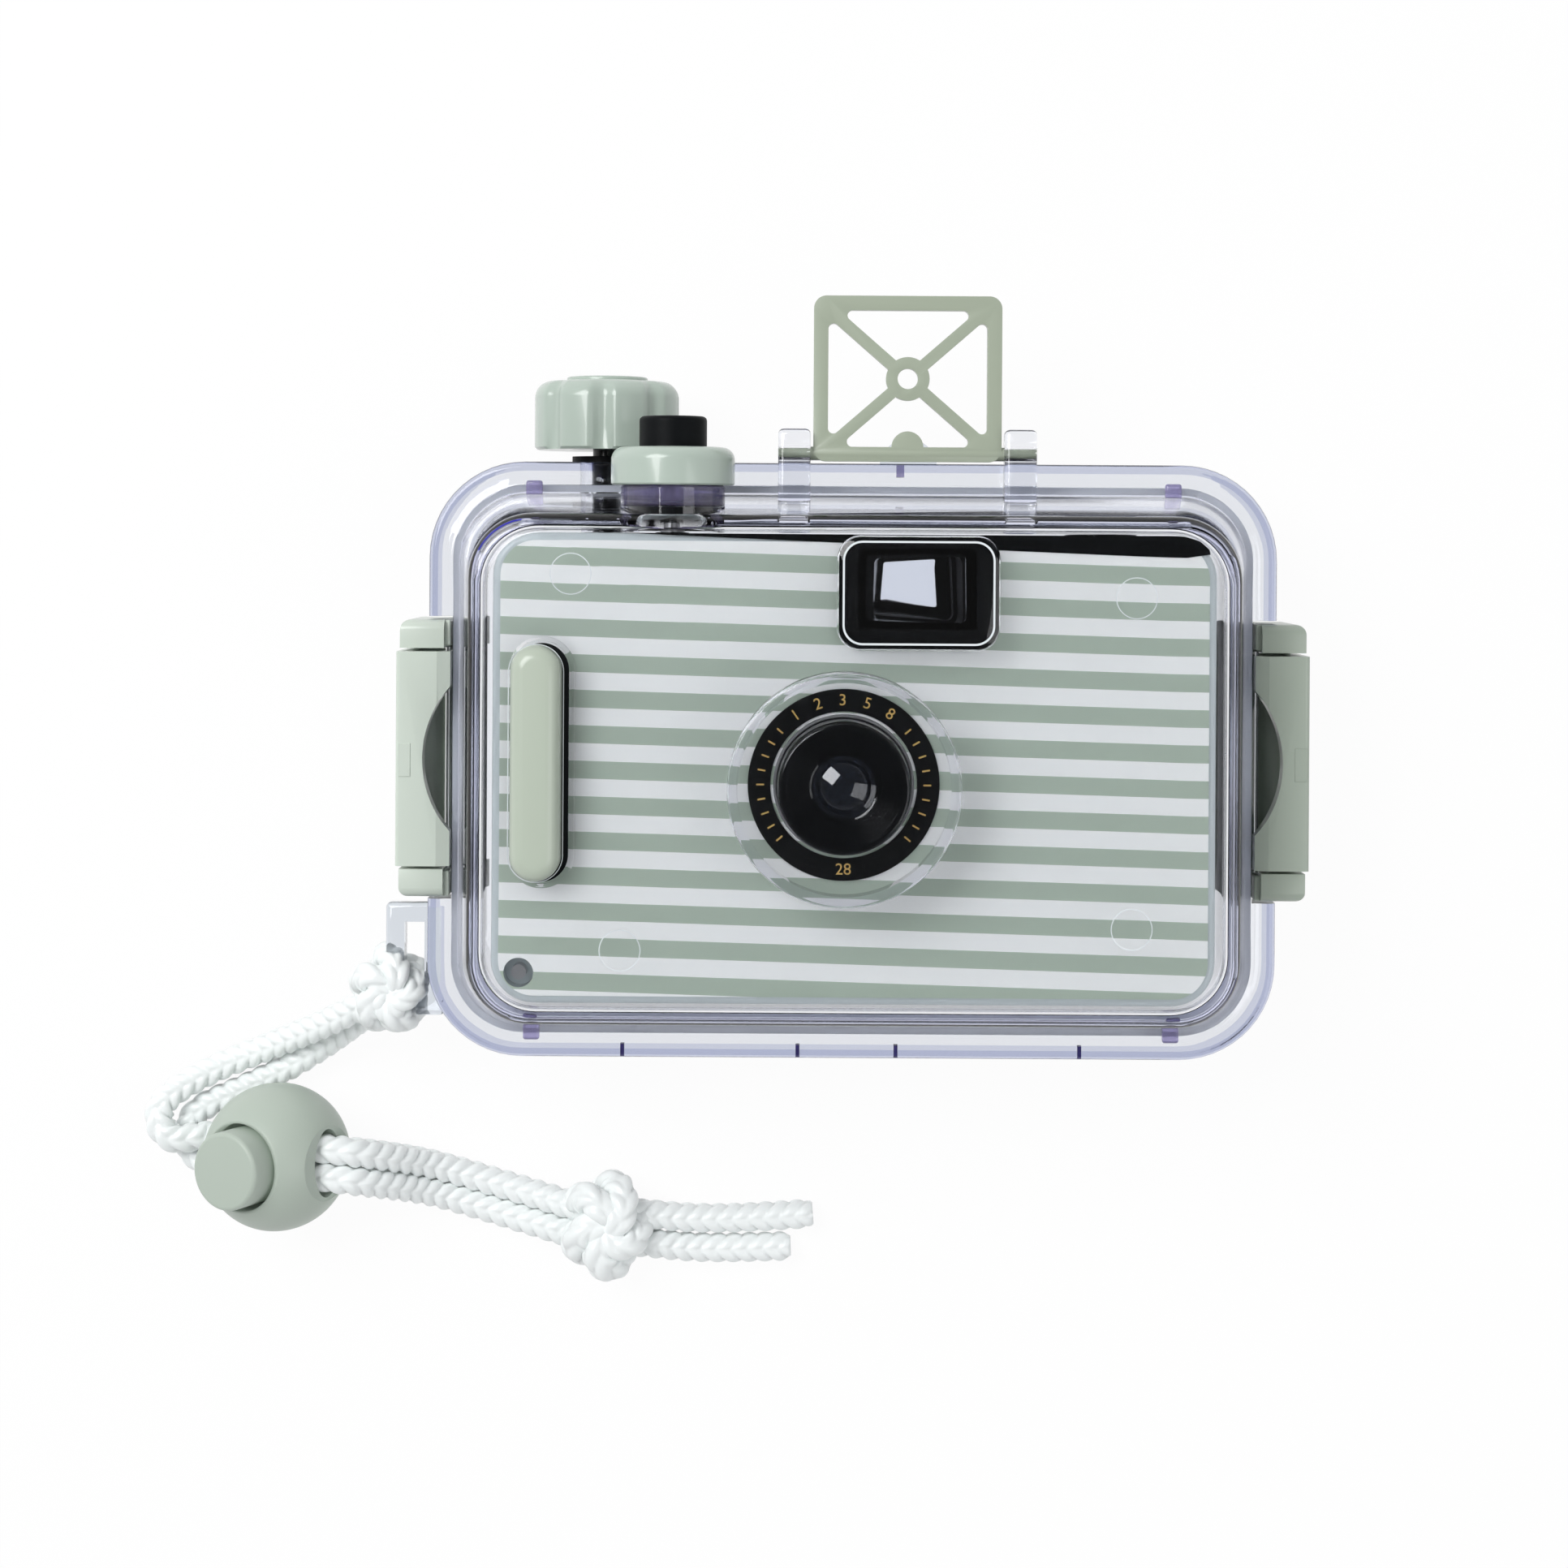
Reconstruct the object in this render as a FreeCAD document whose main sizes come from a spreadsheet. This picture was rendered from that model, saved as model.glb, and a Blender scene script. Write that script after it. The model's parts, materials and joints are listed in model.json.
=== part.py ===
import FreeCAD, Part
import Sketcher
import math
import os
import re

# Underwater film camera: a clear two-part waterproof case round a simple 35 mm camera.
# Millimetres. The camera lies on its back: +Z is the way the lens looks, +Y is the
# camera's top with its knobs, +X is to the right as seen from the front.
# The origin is the middle of the case's flat rear face.

V = FreeCAD.Vector
doc = FreeCAD.newDocument("UnderwaterCamera")
sheet = doc.addObject("Spreadsheet::Sheet", "Sizes")

# Driving dimensions
DRIVING = [
    # case: flanges, drafted shells, seal
    ("case_room_x", 11.35, "from the camera's side to the flange's edge"),
    ("case_room_y", 10.7, "from the camera's top to the flange's edge"),
    ("case_corner", 14.6, "corner radius of the flange"),
    ("flange_rim", 4.1, "flange width outside the shell"),
    ("flange_thick", 3.0, "thickness of each flange"),
    ("parting_level", 19.0, "height of the plane where the halves meet"),
    ("front_level", 41.0, "height of the flat front face"),
    ("wall", 2.0, "wall of both shells"),
    ("front_draft", 4.2, "how far the front shell narrows on each side"),
    ("rear_draft", 3.2, "how far the rear shell narrows on each side"),
    ("shell_corner", 10.5, "corner radius of the shells at the flange"),
    ("shell_round", 1.8, "rounding of the front face's edge"),
    ("seal_width", 1.6, "width of the gasket"),
    ("seal_depth", 1.4, "depth of the gasket"),
    ("seal_inset", 4.6, "flange edge to the gasket's middle"),
    ("seal_play", 0.05, "clearance of the gasket in its groove"),
    ("rim_step", 0.6, "depth of the step in the front flange's face"),
    ("rim_step_width", 1.2, "width of the raised outer rim of the front flange"),
    ("rim_groove", 1.2, "width of the shallow groove beside that rim"),
    ("over", 1.0, "how far a cutting tool runs past a face"),
    ("corner_rib_inset", 16.25, "corner ribs, from the flange's edge"),
    ("corner_rib_width", 2.4, "corner ribs, width"),
    ("corner_rib_depth", 2.6, "corner ribs, depth and height above the flange"),
    ("mark_radius", 3.0, "round marks moulded on the face"),
    ("mark_rise", 0.12, "rise of those marks"),
    # lens port in the front shell
    ("lens_x", -1.5, "lens axis, across"),
    ("lens_y", -2.25, "lens axis, up"),
    ("port_radius", 17.0, "lens port, outside"),
    ("port_wall", 1.6, "lens port, wall"),
    ("port_rise", 7.0, "lens port, rise above the front face"),
    ("port_round", 0.5, "lens port, rounding of its edge"),
    # finder window box in the front shell
    ("finder_x", 9.2, "finder window, across"),
    ("finder_drop", 8.6, "finder window, middle below the camera's top"),
    ("finder_width", 23.8, "finder window box, width"),
    ("finder_height", 16.8, "finder window box, height"),
    ("finder_corner", 3.5, "finder window box, corner radius"),
    ("finder_rise", 3.0, "finder window box, rise above the front face"),
    ("finder_wall", 1.5, "finder window box, wall"),
    ("finder_round", 0.7, "finder window box, rounding of its edge"),
    # grip bar
    ("grip_inset", 7.0, "grip bar, middle from the camera's side"),
    ("grip_y", 1.1, "grip bar, up"),
    ("grip_width", 7.4, "grip bar, width"),
    ("grip_length", 34.4, "grip bar, length"),
    ("grip_rise", 4.0, "grip bar, rise above its backing"),
    ("backing_thick", 0.6, "black backing under the grip bar"),
    ("backing_margin", 0.25, "backing, margin round the grip bar"),
    ("backing_shift", 0.75, "backing and its pocket, across from the grip bar"),
    ("pocket_margin", 1.2, "raised seat, margin round the grip bar"),
    ("pocket_rise", 0.5, "raised seat, rise above the front face"),
    ("grip_round", 2.4, "rounding of the grip bar"),
    # wind knob on the rear shell
    ("wind_inset", 15.1, "wind shaft from the camera's side"),
    ("wind_level", 12.0, "wind shaft, height"),
    ("knob_radius", 11.3, "wind knob, outside"),
    ("knob_gap", 2.0, "wind knob, lower face above the flange's edge"),
    ("knob_height", 10.7, "wind knob, height without the disc"),
    ("knob_lobes", 8.0, "number of flutes"),
    ("flute_radius", 3.4, "radius of each flute"),
    ("flute_depth", 0.9, "depth of each flute"),
    ("knob_round", 2.6, "rounding of the knob's top edge"),
    ("disc_radius", 6.3, "raised disc on the knob"),
    ("disc_rise", 0.7, "rise of that disc"),
    ("shaft_radius", 2.2, "wind shaft"),
    ("shaft_play", 0.05, "running clearance of shafts in plastic"),
    ("wind_boss_radius", 4.03, "boss round the wind shaft"),
    ("ring_gap", 0.1, "gap between the retaining ring and the wall"),
    ("wind_seal_gap", 1.0, "gap between the seal and the knob"),
    ("wind_seal_radius", 5.4, "rubber seal under the knob"),
    ("wind_seal_thick", 0.9, "thickness of that seal"),
    ("clip_ring_radius", 3.4, "retaining ring on the wind shaft"),
    ("clip_ring_thick", 0.6, "thickness of that ring"),
    ("clip_ring_mouth", 2.2, "mouth of that ring"),
    ("clip_groove_depth", 0.5, "groove for that ring"),
    ("fork_radius", 3.3, "fork at the shaft's inner end"),
    ("tongue_thick", 1.6, "tongue on the thumbwheel's hub"),
    ("fork_play", 0.3, "clearance between fork and tongue"),
    ("fork_rise", 0.5, "fork, top above the camera"),
    ("fork_sink", 1.8, "fork, end below the camera's top"),
    ("fork_web", 0.6, "fork, web over its gap"),
    ("press_play", 0.01, "play of a pressed fit"),
    # shutter release on the front shell
    ("shutter_gap", 11.2, "shutter release from the wind shaft, across"),
    ("shutter_level", 31.9, "shutter release, height"),
    ("collar_radius", 9.25, "shutter collar, outside"),
    ("collar_sink", 3.65, "shutter collar, lower face below the flange's edge"),
    ("collar_height", 5.7, "shutter collar, height"),
    ("collar_round", 1.9, "rounding of the collar's top edge"),
    ("collar_floor", 0.9, "shutter collar, floor"),
    ("cap_sink", 1.2, "rubber cap, end below the collar's top"),
    ("cap_roof", 2.6, "rubber cap, thickness of its top"),
    ("cap_radius", 5.05, "rubber cap on the release"),
    ("cap_rise", 4.65, "rubber cap, top above the collar"),
    ("cap_round", 0.7, "rounding of the cap's top edge"),
    ("cap_play", 0.35, "gap between the cap and its collar"),
    ("release_travel", 2.2, "travel of the shutter release"),
    ("release_boss_radius", 7.8, "clear boss under the collar"),
    ("release_rod_radius", 1.8, "rod of the release"),
    ("release_seal_radius", 6.8, "rubber seal inside the boss"),
    ("release_seal_thick", 1.6, "thickness of that seal"),
    ("release_seal_rise", 1.4, "that seal, top beyond the face's edge"),
    ("spring_wire", 0.45, "wire of the release spring"),
    ("spring_radius", 3.3, "coil radius of the release spring"),
    ("spring_turns", 4.0, "turns of the release spring"),
    # sports finder that folds back over the case
    ("sight_x", 8.0, "sports finder, across"),
    ("sight_level", 25.4, "sports finder, height of its hinge"),
    ("sight_gap", 1.4, "sports finder, hinge axis above the flange's edge"),
    ("sight_width", 28.5, "sports finder frame, width"),
    ("sight_height", 23.9, "sports finder frame, top above the hinge"),
    ("sight_foot", 1.2, "sports finder frame, lower edge below the hinge"),
    ("sight_thick", 2.0, "sports finder frame, thickness"),
    ("sight_bar", 2.2, "sports finder frame, bars"),
    ("sight_cross", 1.8, "sports finder frame, crossed bars"),
    ("sight_ring", 3.3, "sports finder frame, middle ring, outside"),
    ("sight_hole", 1.55, "sports finder frame, middle ring, hole"),
    ("sight_corner", 1.9, "sports finder frame, corner radius"),
    ("sight_soft", 0.8, "sports finder frame, corners of its openings"),
    ("sight_tab", 2.4, "half-round tab on the lower bar"),
    ("pivot_radius", 1.05, "sports finder pivots"),
    ("pivot_length", 5.2, "length of each pivot past the frame"),
    ("ear_width", 4.9, "ears of the sports finder, across"),
    ("ear_gap", 0.4, "gap between an ear and the frame"),
    ("ear_rise", 3.7, "ears, top above the hinge"),
    ("ear_round", 1.4, "ears, rounding of their top"),
    ("ear_depth", 5.4, "ears, front to back"),
    ("sight_lug", 4.4, "half-round rear sight on the flange"),
    ("lug_shift", 0.3, "rear sight, across from the finder's middle"),
    ("lug_inset", 0.6, "rear sight, middle inside the flange's edge"),
    ("lug_thick", 1.4, "rear sight, thickness"),
    ("lug_sink", 0.4, "rear sight, below the flange's face"),
    # latches at both sides
    ("latch_y", 0.2, "middle of the latches, up"),
    ("latch_length", 32.6, "clip, along the case's side"),
    ("latch_cap", 4.3, "bracket ends, along the side"),
    ("latch_slit", 0.5, "slit between clip and bracket"),
    ("latch_stand", 4.55, "clips, outer face outside the flange's edge"),
    ("latch_bite", 3.65, "clips, tip of the hook inside the flange's edge"),
    ("notch_depth", 2.75, "flange notch, depth"),
    ("pivot_stand", 1.55, "latch pins, outside the flange's edge"),
    ("latch_pivot_level", 11.6, "latch pins, height"),
    ("latch_barrel", 3.0, "barrel of the clip round its pin"),
    ("latch_plate", 2.6, "outer plate of the clip"),
    ("latch_hook_thick", 2.9, "hook of the clip"),
    ("latch_pin_radius", 1.0, "latch pins"),
    ("latch_play", 0.3, "gap between the hook and the front flange"),
    ("latch_round", 0.7, "rounding of the clips' outer edge"),
    ("latch_end_radius", 2.19, "round ends of the clip's barrel"),
    ("latch_end_gap", 0.1, "gap between those ends and the bracket"),
    ("bracket_inset", 0.5, "bracket, inside the clip's outer face"),
    ("bracket_drop", 4.2, "bracket, lower end below the pin"),
    ("bracket_short", 0.8, "bracket, top below the clip's"),
    ("bracket_round", 1.5, "rounding of the bracket's ends"),
    ("bracket_play", 0.1, "gap between bracket and notch"),
    ("strip_low", 3.0, "bracket's strip, below the pin"),
    ("strip_high", 2.4, "bracket's strip, above the pin"),
    ("pin_inset", 0.8, "latch pins, ends inside the bracket"),
    ("thumb_chord", 22.0, "thumb recess, length"),
    ("thumb_depth", 4.1, "thumb recess, depth"),
    # strap loop on the rear flange
    ("loop_inset", 14.4, "strap loop, middle above the flange's lower edge"),
    ("loop_length", 17.3, "strap loop, length"),
    ("loop_reach", 6.7, "strap loop, how far it stands out"),
    ("loop_bar", 2.9, "strap loop, width of its bar"),
    ("loop_land", 0.7, "strap loop, land beside the flange"),
    ("loop_round", 1.8, "strap loop, rounding of its corners"),
    # camera inside the case
    ("camera_width", 107.0, "camera body, width"),
    ("camera_height", 69.6, "camera body, height"),
    ("camera_corner", 6.5, "camera body, corner radius"),
    ("camera_back", 3.2, "level of the camera's back"),
    ("pad_radius", 2.5, "pads that the camera rests on"),
    ("pad_inset_x", 10.7, "pads, from the camera's side"),
    ("pad_inset_y", 11.3, "pads, from the camera's top"),
    ("door_thick", 2.0, "camera back door"),
    ("cover_depth", 3.2, "front cover, depth"),
    ("cover_wall", 1.5, "front cover, wall"),
    ("cover_face", 1.3, "front cover, thickness of its face"),
    ("cover_round", 0.9, "front cover, rounding of its edge"),
    ("face_room", 2.2, "gap between the front cover and the case"),
    ("panel_thick", 0.4, "striped panel on the front cover"),
    ("panel_margin", 0.5, "panel, margin to the cover's edge"),
    ("panel_step", 0.7, "panel, further in than the cover's rounding"),
    ("strap_pin_radius", 1.1, "pin for the camera's own strap"),
    ("strap_pin_room", 2.2, "recess round that pin"),
    ("strap_post", 3.2, "post behind that recess"),
    ("strap_pin_long", 2.4, "length of that pin"),
    ("strap_pin_sink", 0.2, "that pin, below the cover's face"),
    ("strap_inset_x", 4.2, "that pin, from the camera's side"),
    ("strap_inset_y", 4.6, "that pin, from the camera's lower edge"),
    ("tunnel_less_x", 5.6, "finder tunnel, narrower than its window box"),
    ("tunnel_less_y", 4.4, "finder tunnel, lower than its window box"),
    ("tunnel_shift_x", 0.1, "finder tunnel, across from the window's middle"),
    ("tunnel_shift_y", 0.4, "finder tunnel, up from the window's middle"),
    ("tunnel_corner", 1.15, "finder tunnel, corner radius"),
    ("tunnel_rim", 0.6, "finder tunnel, rim round the lens"),
    ("tunnel_rise", 0.3, "finder tunnel, rise above the panel"),
    ("bezel_inset", 0.2, "finder bezel, inside the window box's edge"),
    ("bezel_thick", 1.3, "finder bezel, thickness"),
    ("finder_lens_rise", 0.2, "finder's front lens, above the cover's face"),
    ("tunnel_ledge_x", 1.4, "finder tunnel, ledge behind the lens, at the sides"),
    ("tunnel_ledge_y", 1.0, "finder tunnel, ledge behind the lens, above and below"),
    ("seat_play", 0.05, "clearance of pieces set in the cover"),
    ("eye_width", 7.6, "finder's eye in the back door, width"),
    ("eye_height", 5.2, "finder's eye in the back door, height"),
    ("eye_shift_x", 1.4, "that eye, across from the finder window"),
    ("eye_shift_y", 0.3, "that eye, below the finder window"),
    ("eye_lens_thick", 1.2, "lens of that eye"),
    ("eye_lens_margin", 0.7, "lens of that eye, wider than the eye"),
    ("ring_outer", 13.6, "black ring round the lens, outside"),
    ("ring_inner", 10.4, "black ring round the lens, inside"),
    ("ring_thick", 0.5, "black ring round the lens, thickness"),
    ("barrel_radius", 9.5, "lens barrel, outside"),
    ("barrel_room", 1.0, "lens barrel, front behind the port's window"),
    ("barrel_round", 0.5, "lens barrel, rounding of its edge"),
    ("barrel_lip", 0.9, "lens barrel, width of its front edge"),
    ("lens_sink", 5.0, "front lens, seat below the barrel's front"),
    ("lens_seat_depth", 1.2, "front lens, depth of its seat"),
    ("lens_thick", 3.0, "front lens, thickness"),
    ("lens_radius", 4.6, "front lens"),
    ("rear_lens_radius", 3.6, "rear lens"),
    ("rear_lens_thick", 2.0, "rear lens, thickness"),
    ("rear_lens_bow", 0.3, "rear lens, how far its curve stands off the seat"),
    ("stop_radius", 1.4, "hole of the lens stop"),
    ("stop_thick", 0.3, "lens stop, thickness"),
    ("stop_rise", 1.2, "lens stop, above the camera's front"),
    ("stop_less", 0.2, "lens stop, smaller than the rear lens"),
    # film path
    ("film_gap", 2.0, "film above the back door"),
    ("film_thick", 0.15, "film"),
    ("film_width", 35.0, "film, edge to edge"),
    ("gate_width", 36.0, "picture gate, width"),
    ("gate_height", 24.0, "picture gate, height"),
    ("box_narrow_x", 0.42, "light box, share of the gate's width left in front"),
    ("box_narrow_y", 0.52, "light box, share of the gate's height left in front"),
    ("box_short", 2.4, "light box, front end below the cover"),
    ("box_corner", 0.8, "light box, corner radius"),
    ("film_play", 0.3, "clearance beside the film"),
    ("room_play", 0.3, "clearance round the cassette"),
    ("spool_room", 1.2, "room round the take-up spool"),
    ("wheel_room", 0.4, "room round the thumbwheel and the dial"),
    ("tooth_room", 0.8, "room round the sprocket"),
    ("film_reach", 18.0, "half the length of the sprocket's room"),
    ("spool_reach", 22.0, "take-up spool, lower end from the lens axis"),
    ("spool_pin_reach", 24.6, "take-up spool's pin, end from the lens axis"),
    ("axle_reach", 20.3, "sprocket's axle, ends from the lens axis"),
    ("pin_play", 0.4, "play at the ends of pins"),
    ("cassette_inset", 15.5, "film cassette, axis from the camera's side"),
    ("cassette_level", 18.0, "film cassette, height of its axis"),
    ("cassette_radius", 12.4, "film cassette"),
    ("cassette_length", 46.6, "film cassette, length"),
    ("cassette_spool", 5.6, "cassette spool"),
    ("cassette_skin", 0.5, "film cassette, wall"),
    ("spool_play", 0.1, "clearance of the cassette's spool"),
    ("cassette_lip", 0.6, "film cassette, end caps"),
    ("film_start", 6.6, "film, end from the cassette's axis"),
    ("takeup_radius", 6.2, "take-up spool"),
    ("film_tuck", 1.9, "film, how far it reaches into the take-up spool's room"),
    ("film_slit", 0.8, "slit in the take-up spool"),
    ("thumbwheel_radius", 9.2, "thumbwheel"),
    ("thumbwheel_thick", 4.0, "thumbwheel, thickness"),
    ("wheel_sink", 3.9, "thumbwheel, top below the camera's top"),
    ("wheel_grooves", 20.0, "number of grooves in the thumbwheel"),
    ("wheel_groove", 0.6, "radius of those grooves"),
    ("wheel_groove_out", 0.25, "those grooves, middle outside the wheel"),
    ("tongue_width", 5.2, "tongue on the thumbwheel's hub, width"),
    ("tongue_short", 0.9, "that tongue, end below the fork's top"),
    ("hub_less", 0.4, "thumbwheel's hub, smaller than the fork"),
    ("sprocket_gap", 13.5, "sprocket from the wind shaft, across"),
    ("sprocket_level", 13.9, "sprocket, height of its axis"),
    ("sprocket_radius", 6.05, "sprocket wheels"),
    ("tooth_rise", 0.35, "sprocket teeth, height"),
    ("tooth_wide", 1.6, "sprocket teeth, along the axle"),
    ("tooth_thick", 1.2, "sprocket teeth, thickness"),
    ("tooth_reach", 14.1, "toothed wheels from the lens axis"),
    ("tooth_wheel", 2.0, "toothed wheels, thickness"),
    ("rewind_radius", 5.5, "rewind knob"),
    ("rewind_rise", 1.6, "rewind knob, rise above the camera"),
    ("rewind_gap", 0.2, "rewind knob, gap above the camera"),
    ("rewind_stem", 2.2, "rewind knob's stem"),
    ("rewind_slot", 2.4, "slot in the rewind knob, width"),
    ("rewind_slot_deep", 0.6, "slot in the rewind knob, depth"),
    ("stem_sink", 4.0, "rewind knob's stem, depth in the cassette"),
    ("stem_room", 0.2, "socket round that stem"),
    ("plate_width", 40.0, "pressure plate, width"),
    ("plate_height", 30.0, "pressure plate, height"),
    ("plate_thick", 1.2, "pressure plate, thickness"),
    ("plate_gap", 0.1, "gap between pressure plate and film"),
    ("leaf_length", 24.0, "plate spring, length"),
    ("leaf_width", 5.0, "plate spring, width"),
    ("leaf_thick", 0.25, "plate spring, thickness"),
    ("leaf_foot", 1.5, "plate spring, feet"),
    ("leaf_root", 6.0, "plate spring, fixed middle"),
    ("spool_axle", 1.8, "axles of spool and sprocket"),
    ("counter_gap", 26.4, "frame counter from the wind shaft, across"),
    ("counter_level", 20.0, "frame counter, height"),
    ("counter_radius", 4.5, "frame counter dial"),
    ("counter_thick", 1.2, "frame counter dial, thickness"),
    ("counter_axle", 1.0, "frame counter, axle"),
    ("counter_axle_long", 3.5, "frame counter, length of its axle"),
    ("counter_gap_below", 0.6, "frame counter, room under it"),
    ("button_radius", 2.5, "camera's own shutter button"),
    ("button_height", 3.5, "camera's own shutter button, height"),
    ("button_rise", 0.5, "camera's own shutter button, rise above the camera"),
    ("button_room", 0.15, "camera's own shutter button, clearance"),
    ("rod_gap", 0.05, "gap between the release's rod and that button"),
    ("blade_arm_x", -8.0, "shutter blade's pin from the lens axis, across"),
    ("blade_arm_y", 6.0, "shutter blade's pin from the lens axis, up"),
    ("blade_pin_radius", 0.9, "shutter blade's pin"),
    ("blade_thick", 0.5, "shutter blade, thickness"),
    ("blade_gap", 0.3, "shutter blade, above the camera body"),
    ("blade_cover", 0.8, "shutter blade, wider than the rear lens"),
    ("blade_hub", 1.2, "shutter blade, rim round its pin"),
    ("blade_arm", 2.4, "shutter blade, width of its arm"),
    ("rear_lens_ledge", 0.6, "ledge in front of the rear lens"),
    ("blade_pin_over", 0.6, "shutter blade's pin, beyond the blade"),
    ("glass_play", 0.05, "clearance of the glass in its seats"),
    # cord lock and cord
    ("cord_diameter", 4.0, "cord"),
    ("cord_spacing", 4.4, "distance between the two strands in the lock"),
    ("lock_radius", 11.4, "cord lock ball"),
    ("lock_tilt", 28.0, "rise of the cord hole, degrees"),
    ("lock_button", 6.0, "button of the cord lock"),
    ("lock_button_top", 13.0, "button face from the ball's middle"),
    ("lock_button_round", 0.7, "rounding of that button"),
    ("lock_flat", 9.8, "flats at the ball's cord holes, from its middle"),
    ("lock_flat_radius", 5.76, "radius of those flats"),
    ("lock_button_room", 0.15, "clearance round that button"),
    ("lock_travel", 2.0, "travel of that button"),
    ("lock_away_x", 24.55, "cord lock, middle from the flange's side"),
    ("lock_away_y", 32.1, "cord lock, middle below the strap loop"),
    ("lock_hole_play", 0.25, "clearance round each strand in the lock"),
    ("lock_bore", 8.4, "depth of the button's bore below the middle"),
    ("lock_slot_low", 2.4, "button's slot, below the middle"),
    ("lock_slot_high", 5.0, "button's slot, above the middle"),
    ("lock_foot", 5.6, "button's lower end below the middle"),
    ("lock_spring_wire", 0.5, "wire of the lock's spring"),
    ("lock_spring_radius", 4.0, "coil radius of the lock's spring"),
    ("lock_spring_turns", 2.0, "turns of the lock's spring"),
    ("hitch_wide", 6.4, "knot on the strap loop, half its width"),
    ("hitch_high", 7.0, "knot on the strap loop, half its height"),
    ("hitch_deep", 6.6, "knot on the strap loop, half its depth"),
    ("end_wide", 7.5, "knot at the cord's ends, half its width"),
    ("end_high", 8.6, "knot at the cord's ends, half its height"),
    ("end_deep", 5.5, "knot at the cord's ends, half its depth"),
    ("lock_lift", 0.12, "strands, above the middle of the lock's hole"),
]

# Worked out from those, in the sheet too
DERIVED = [
    ("case_width", "camera_width + 2 * case_room_x", "flange, left to right"),
    ("case_height", "camera_height + 2 * case_room_y", "flange, bottom to top"),
    ("port_level", "front_level + port_rise", "lens port, front face"),
    ("camera_front", "front_level - wall - face_room", "level of the front cover's face"),
    ("cover_level", "camera_front - cover_depth", "level where the front cover starts"),
    ("barrel_level", "port_level - wall - barrel_room", "lens barrel, front"),
    ("film_level", "camera_back + door_thick + film_gap", "level of the film"),
    ("finder_y", "camera_height / 2 - finder_drop", "finder window, up"),
    ("grip_x", "grip_inset - camera_width / 2", "grip bar, across"),
    ("wind_x", "wind_inset - camera_width / 2", "wind shaft, across"),
    ("shutter_x", "wind_x + shutter_gap", "shutter release, across"),
    ("sprocket_x", "wind_x + sprocket_gap", "sprocket, across"),
    ("counter_x", "wind_x + counter_gap", "frame counter, across"),
    ("cassette_x", "camera_width / 2 - cassette_inset", "film cassette, across"),
    ("knob_bottom", "case_height / 2 + knob_gap", "wind knob, lower face"),
    ("wind_boss_top", "knob_bottom - wind_seal_thick - wind_seal_gap", "top of the wind shaft's boss"),
    ("collar_bottom", "case_height / 2 - collar_sink", "shutter collar, lower face"),
    ("cap_top", "collar_bottom + collar_height + cap_rise", "top of the rubber cap"),
    ("sight_hinge", "case_height / 2 + sight_gap", "sports finder, hinge axis, up"),
    ("sight_top", "sight_hinge + sight_height", "sports finder frame, top edge"),
    ("ear_top", "sight_hinge + ear_rise", "top of the ears"),
    ("latch_reach", "case_width / 2 + latch_stand", "outer face of the clips"),
    ("latch_hook", "case_width / 2 - latch_bite", "tip of the clips' hook"),
    ("latch_notch", "case_width / 2 - notch_depth", "bottom of the flange notch"),
    ("latch_pivot", "case_width / 2 + pivot_stand", "latch pins"),
    ("loop_y", "loop_inset - case_height / 2", "strap loop, middle, up"),
    ("lock_x", "-case_width / 2 - lock_away_x", "cord lock, middle, across"),
    ("lock_y", "loop_y - lock_away_y", "cord lock, middle, up"),
]


def set_sizes(rows, first, sign=""):
    """Put each dimension in the sheet: its name, its number or formula and what it is."""
    for number, (alias, content, note) in enumerate(rows, start=first):
        sheet.set("A%d" % number, alias)
        sheet.set("B%d" % number, sign + str(content))
        sheet.setAlias("B%d" % number, alias)
        sheet.set("C%d" % number, note)


set_sizes(DRIVING, 1)
set_sizes(DERIVED, len(DRIVING) + 1, "=")
doc.recompute()
ALIASES = [row[0] for row in DRIVING + DERIVED]
WORD = re.compile(r"[A-Za-z_][A-Za-z_0-9]*")


def bound(text):
    """The expression for a formula in the sheet's names."""
    return WORD.sub(lambda m: "Sizes." + m.group(0) if m.group(0) in ALIASES else m.group(0), str(text))


def size(alias):
    """The value of one cell of the sheet."""
    return float(sheet.get(alias))


def value(text):
    """The present value of a formula in the sheet's names."""
    found = sheet.evalExpression(bound(text))
    return float(getattr(found, "Value", found))


def bind(thing, **formulas):
    """Bind properties of an object to formulas in the sheet's names."""
    for prop, text in formulas.items():
        thing.setExpression(prop, bound(text))
    return thing


def place(thing, across, up, level):
    """Bind where an object stands."""
    thing.setExpression("Placement.Base.x", bound(across))
    thing.setExpression("Placement.Base.y", bound(up))
    thing.setExpression("Placement.Base.z", bound(level))
    return thing


def turned(thing, rotation):
    """Turn an object about its own origin before it is placed."""
    thing.Placement = FreeCAD.Placement(V(0, 0, 0), rotation)
    return thing


UP = FreeCAD.Rotation(V(1, 0, 0), -90)  # local Z along +Y
ACROSS = FreeCAD.Rotation(V(0, 1, 0), 90)  # local Z along +X


def block(name, x, y, z):
    """A box between two formulas along each axis."""
    box = doc.addObject("Part::Box", name)
    bind(box, Length="(%s) - (%s)" % (x[1], x[0]), Width="(%s) - (%s)" % (y[1], y[0]),
         Height="(%s) - (%s)" % (z[1], z[0]))
    return place(box, x[0], y[0], z[0])


def round_z(name, radius, x, y, z):
    """A cylinder along Z between two levels."""
    rod = doc.addObject("Part::Cylinder", name)
    bind(rod, Radius=radius, Height="(%s) - (%s)" % (z[1], z[0]))
    return place(rod, x, y, z[0])


def round_y(name, radius, x, z, y):
    """A cylinder along Y between two heights."""
    rod = turned(doc.addObject("Part::Cylinder", name), UP)
    bind(rod, Radius=radius, Height="(%s) - (%s)" % (y[1], y[0]))
    return place(rod, x, y[0], z)


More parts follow.
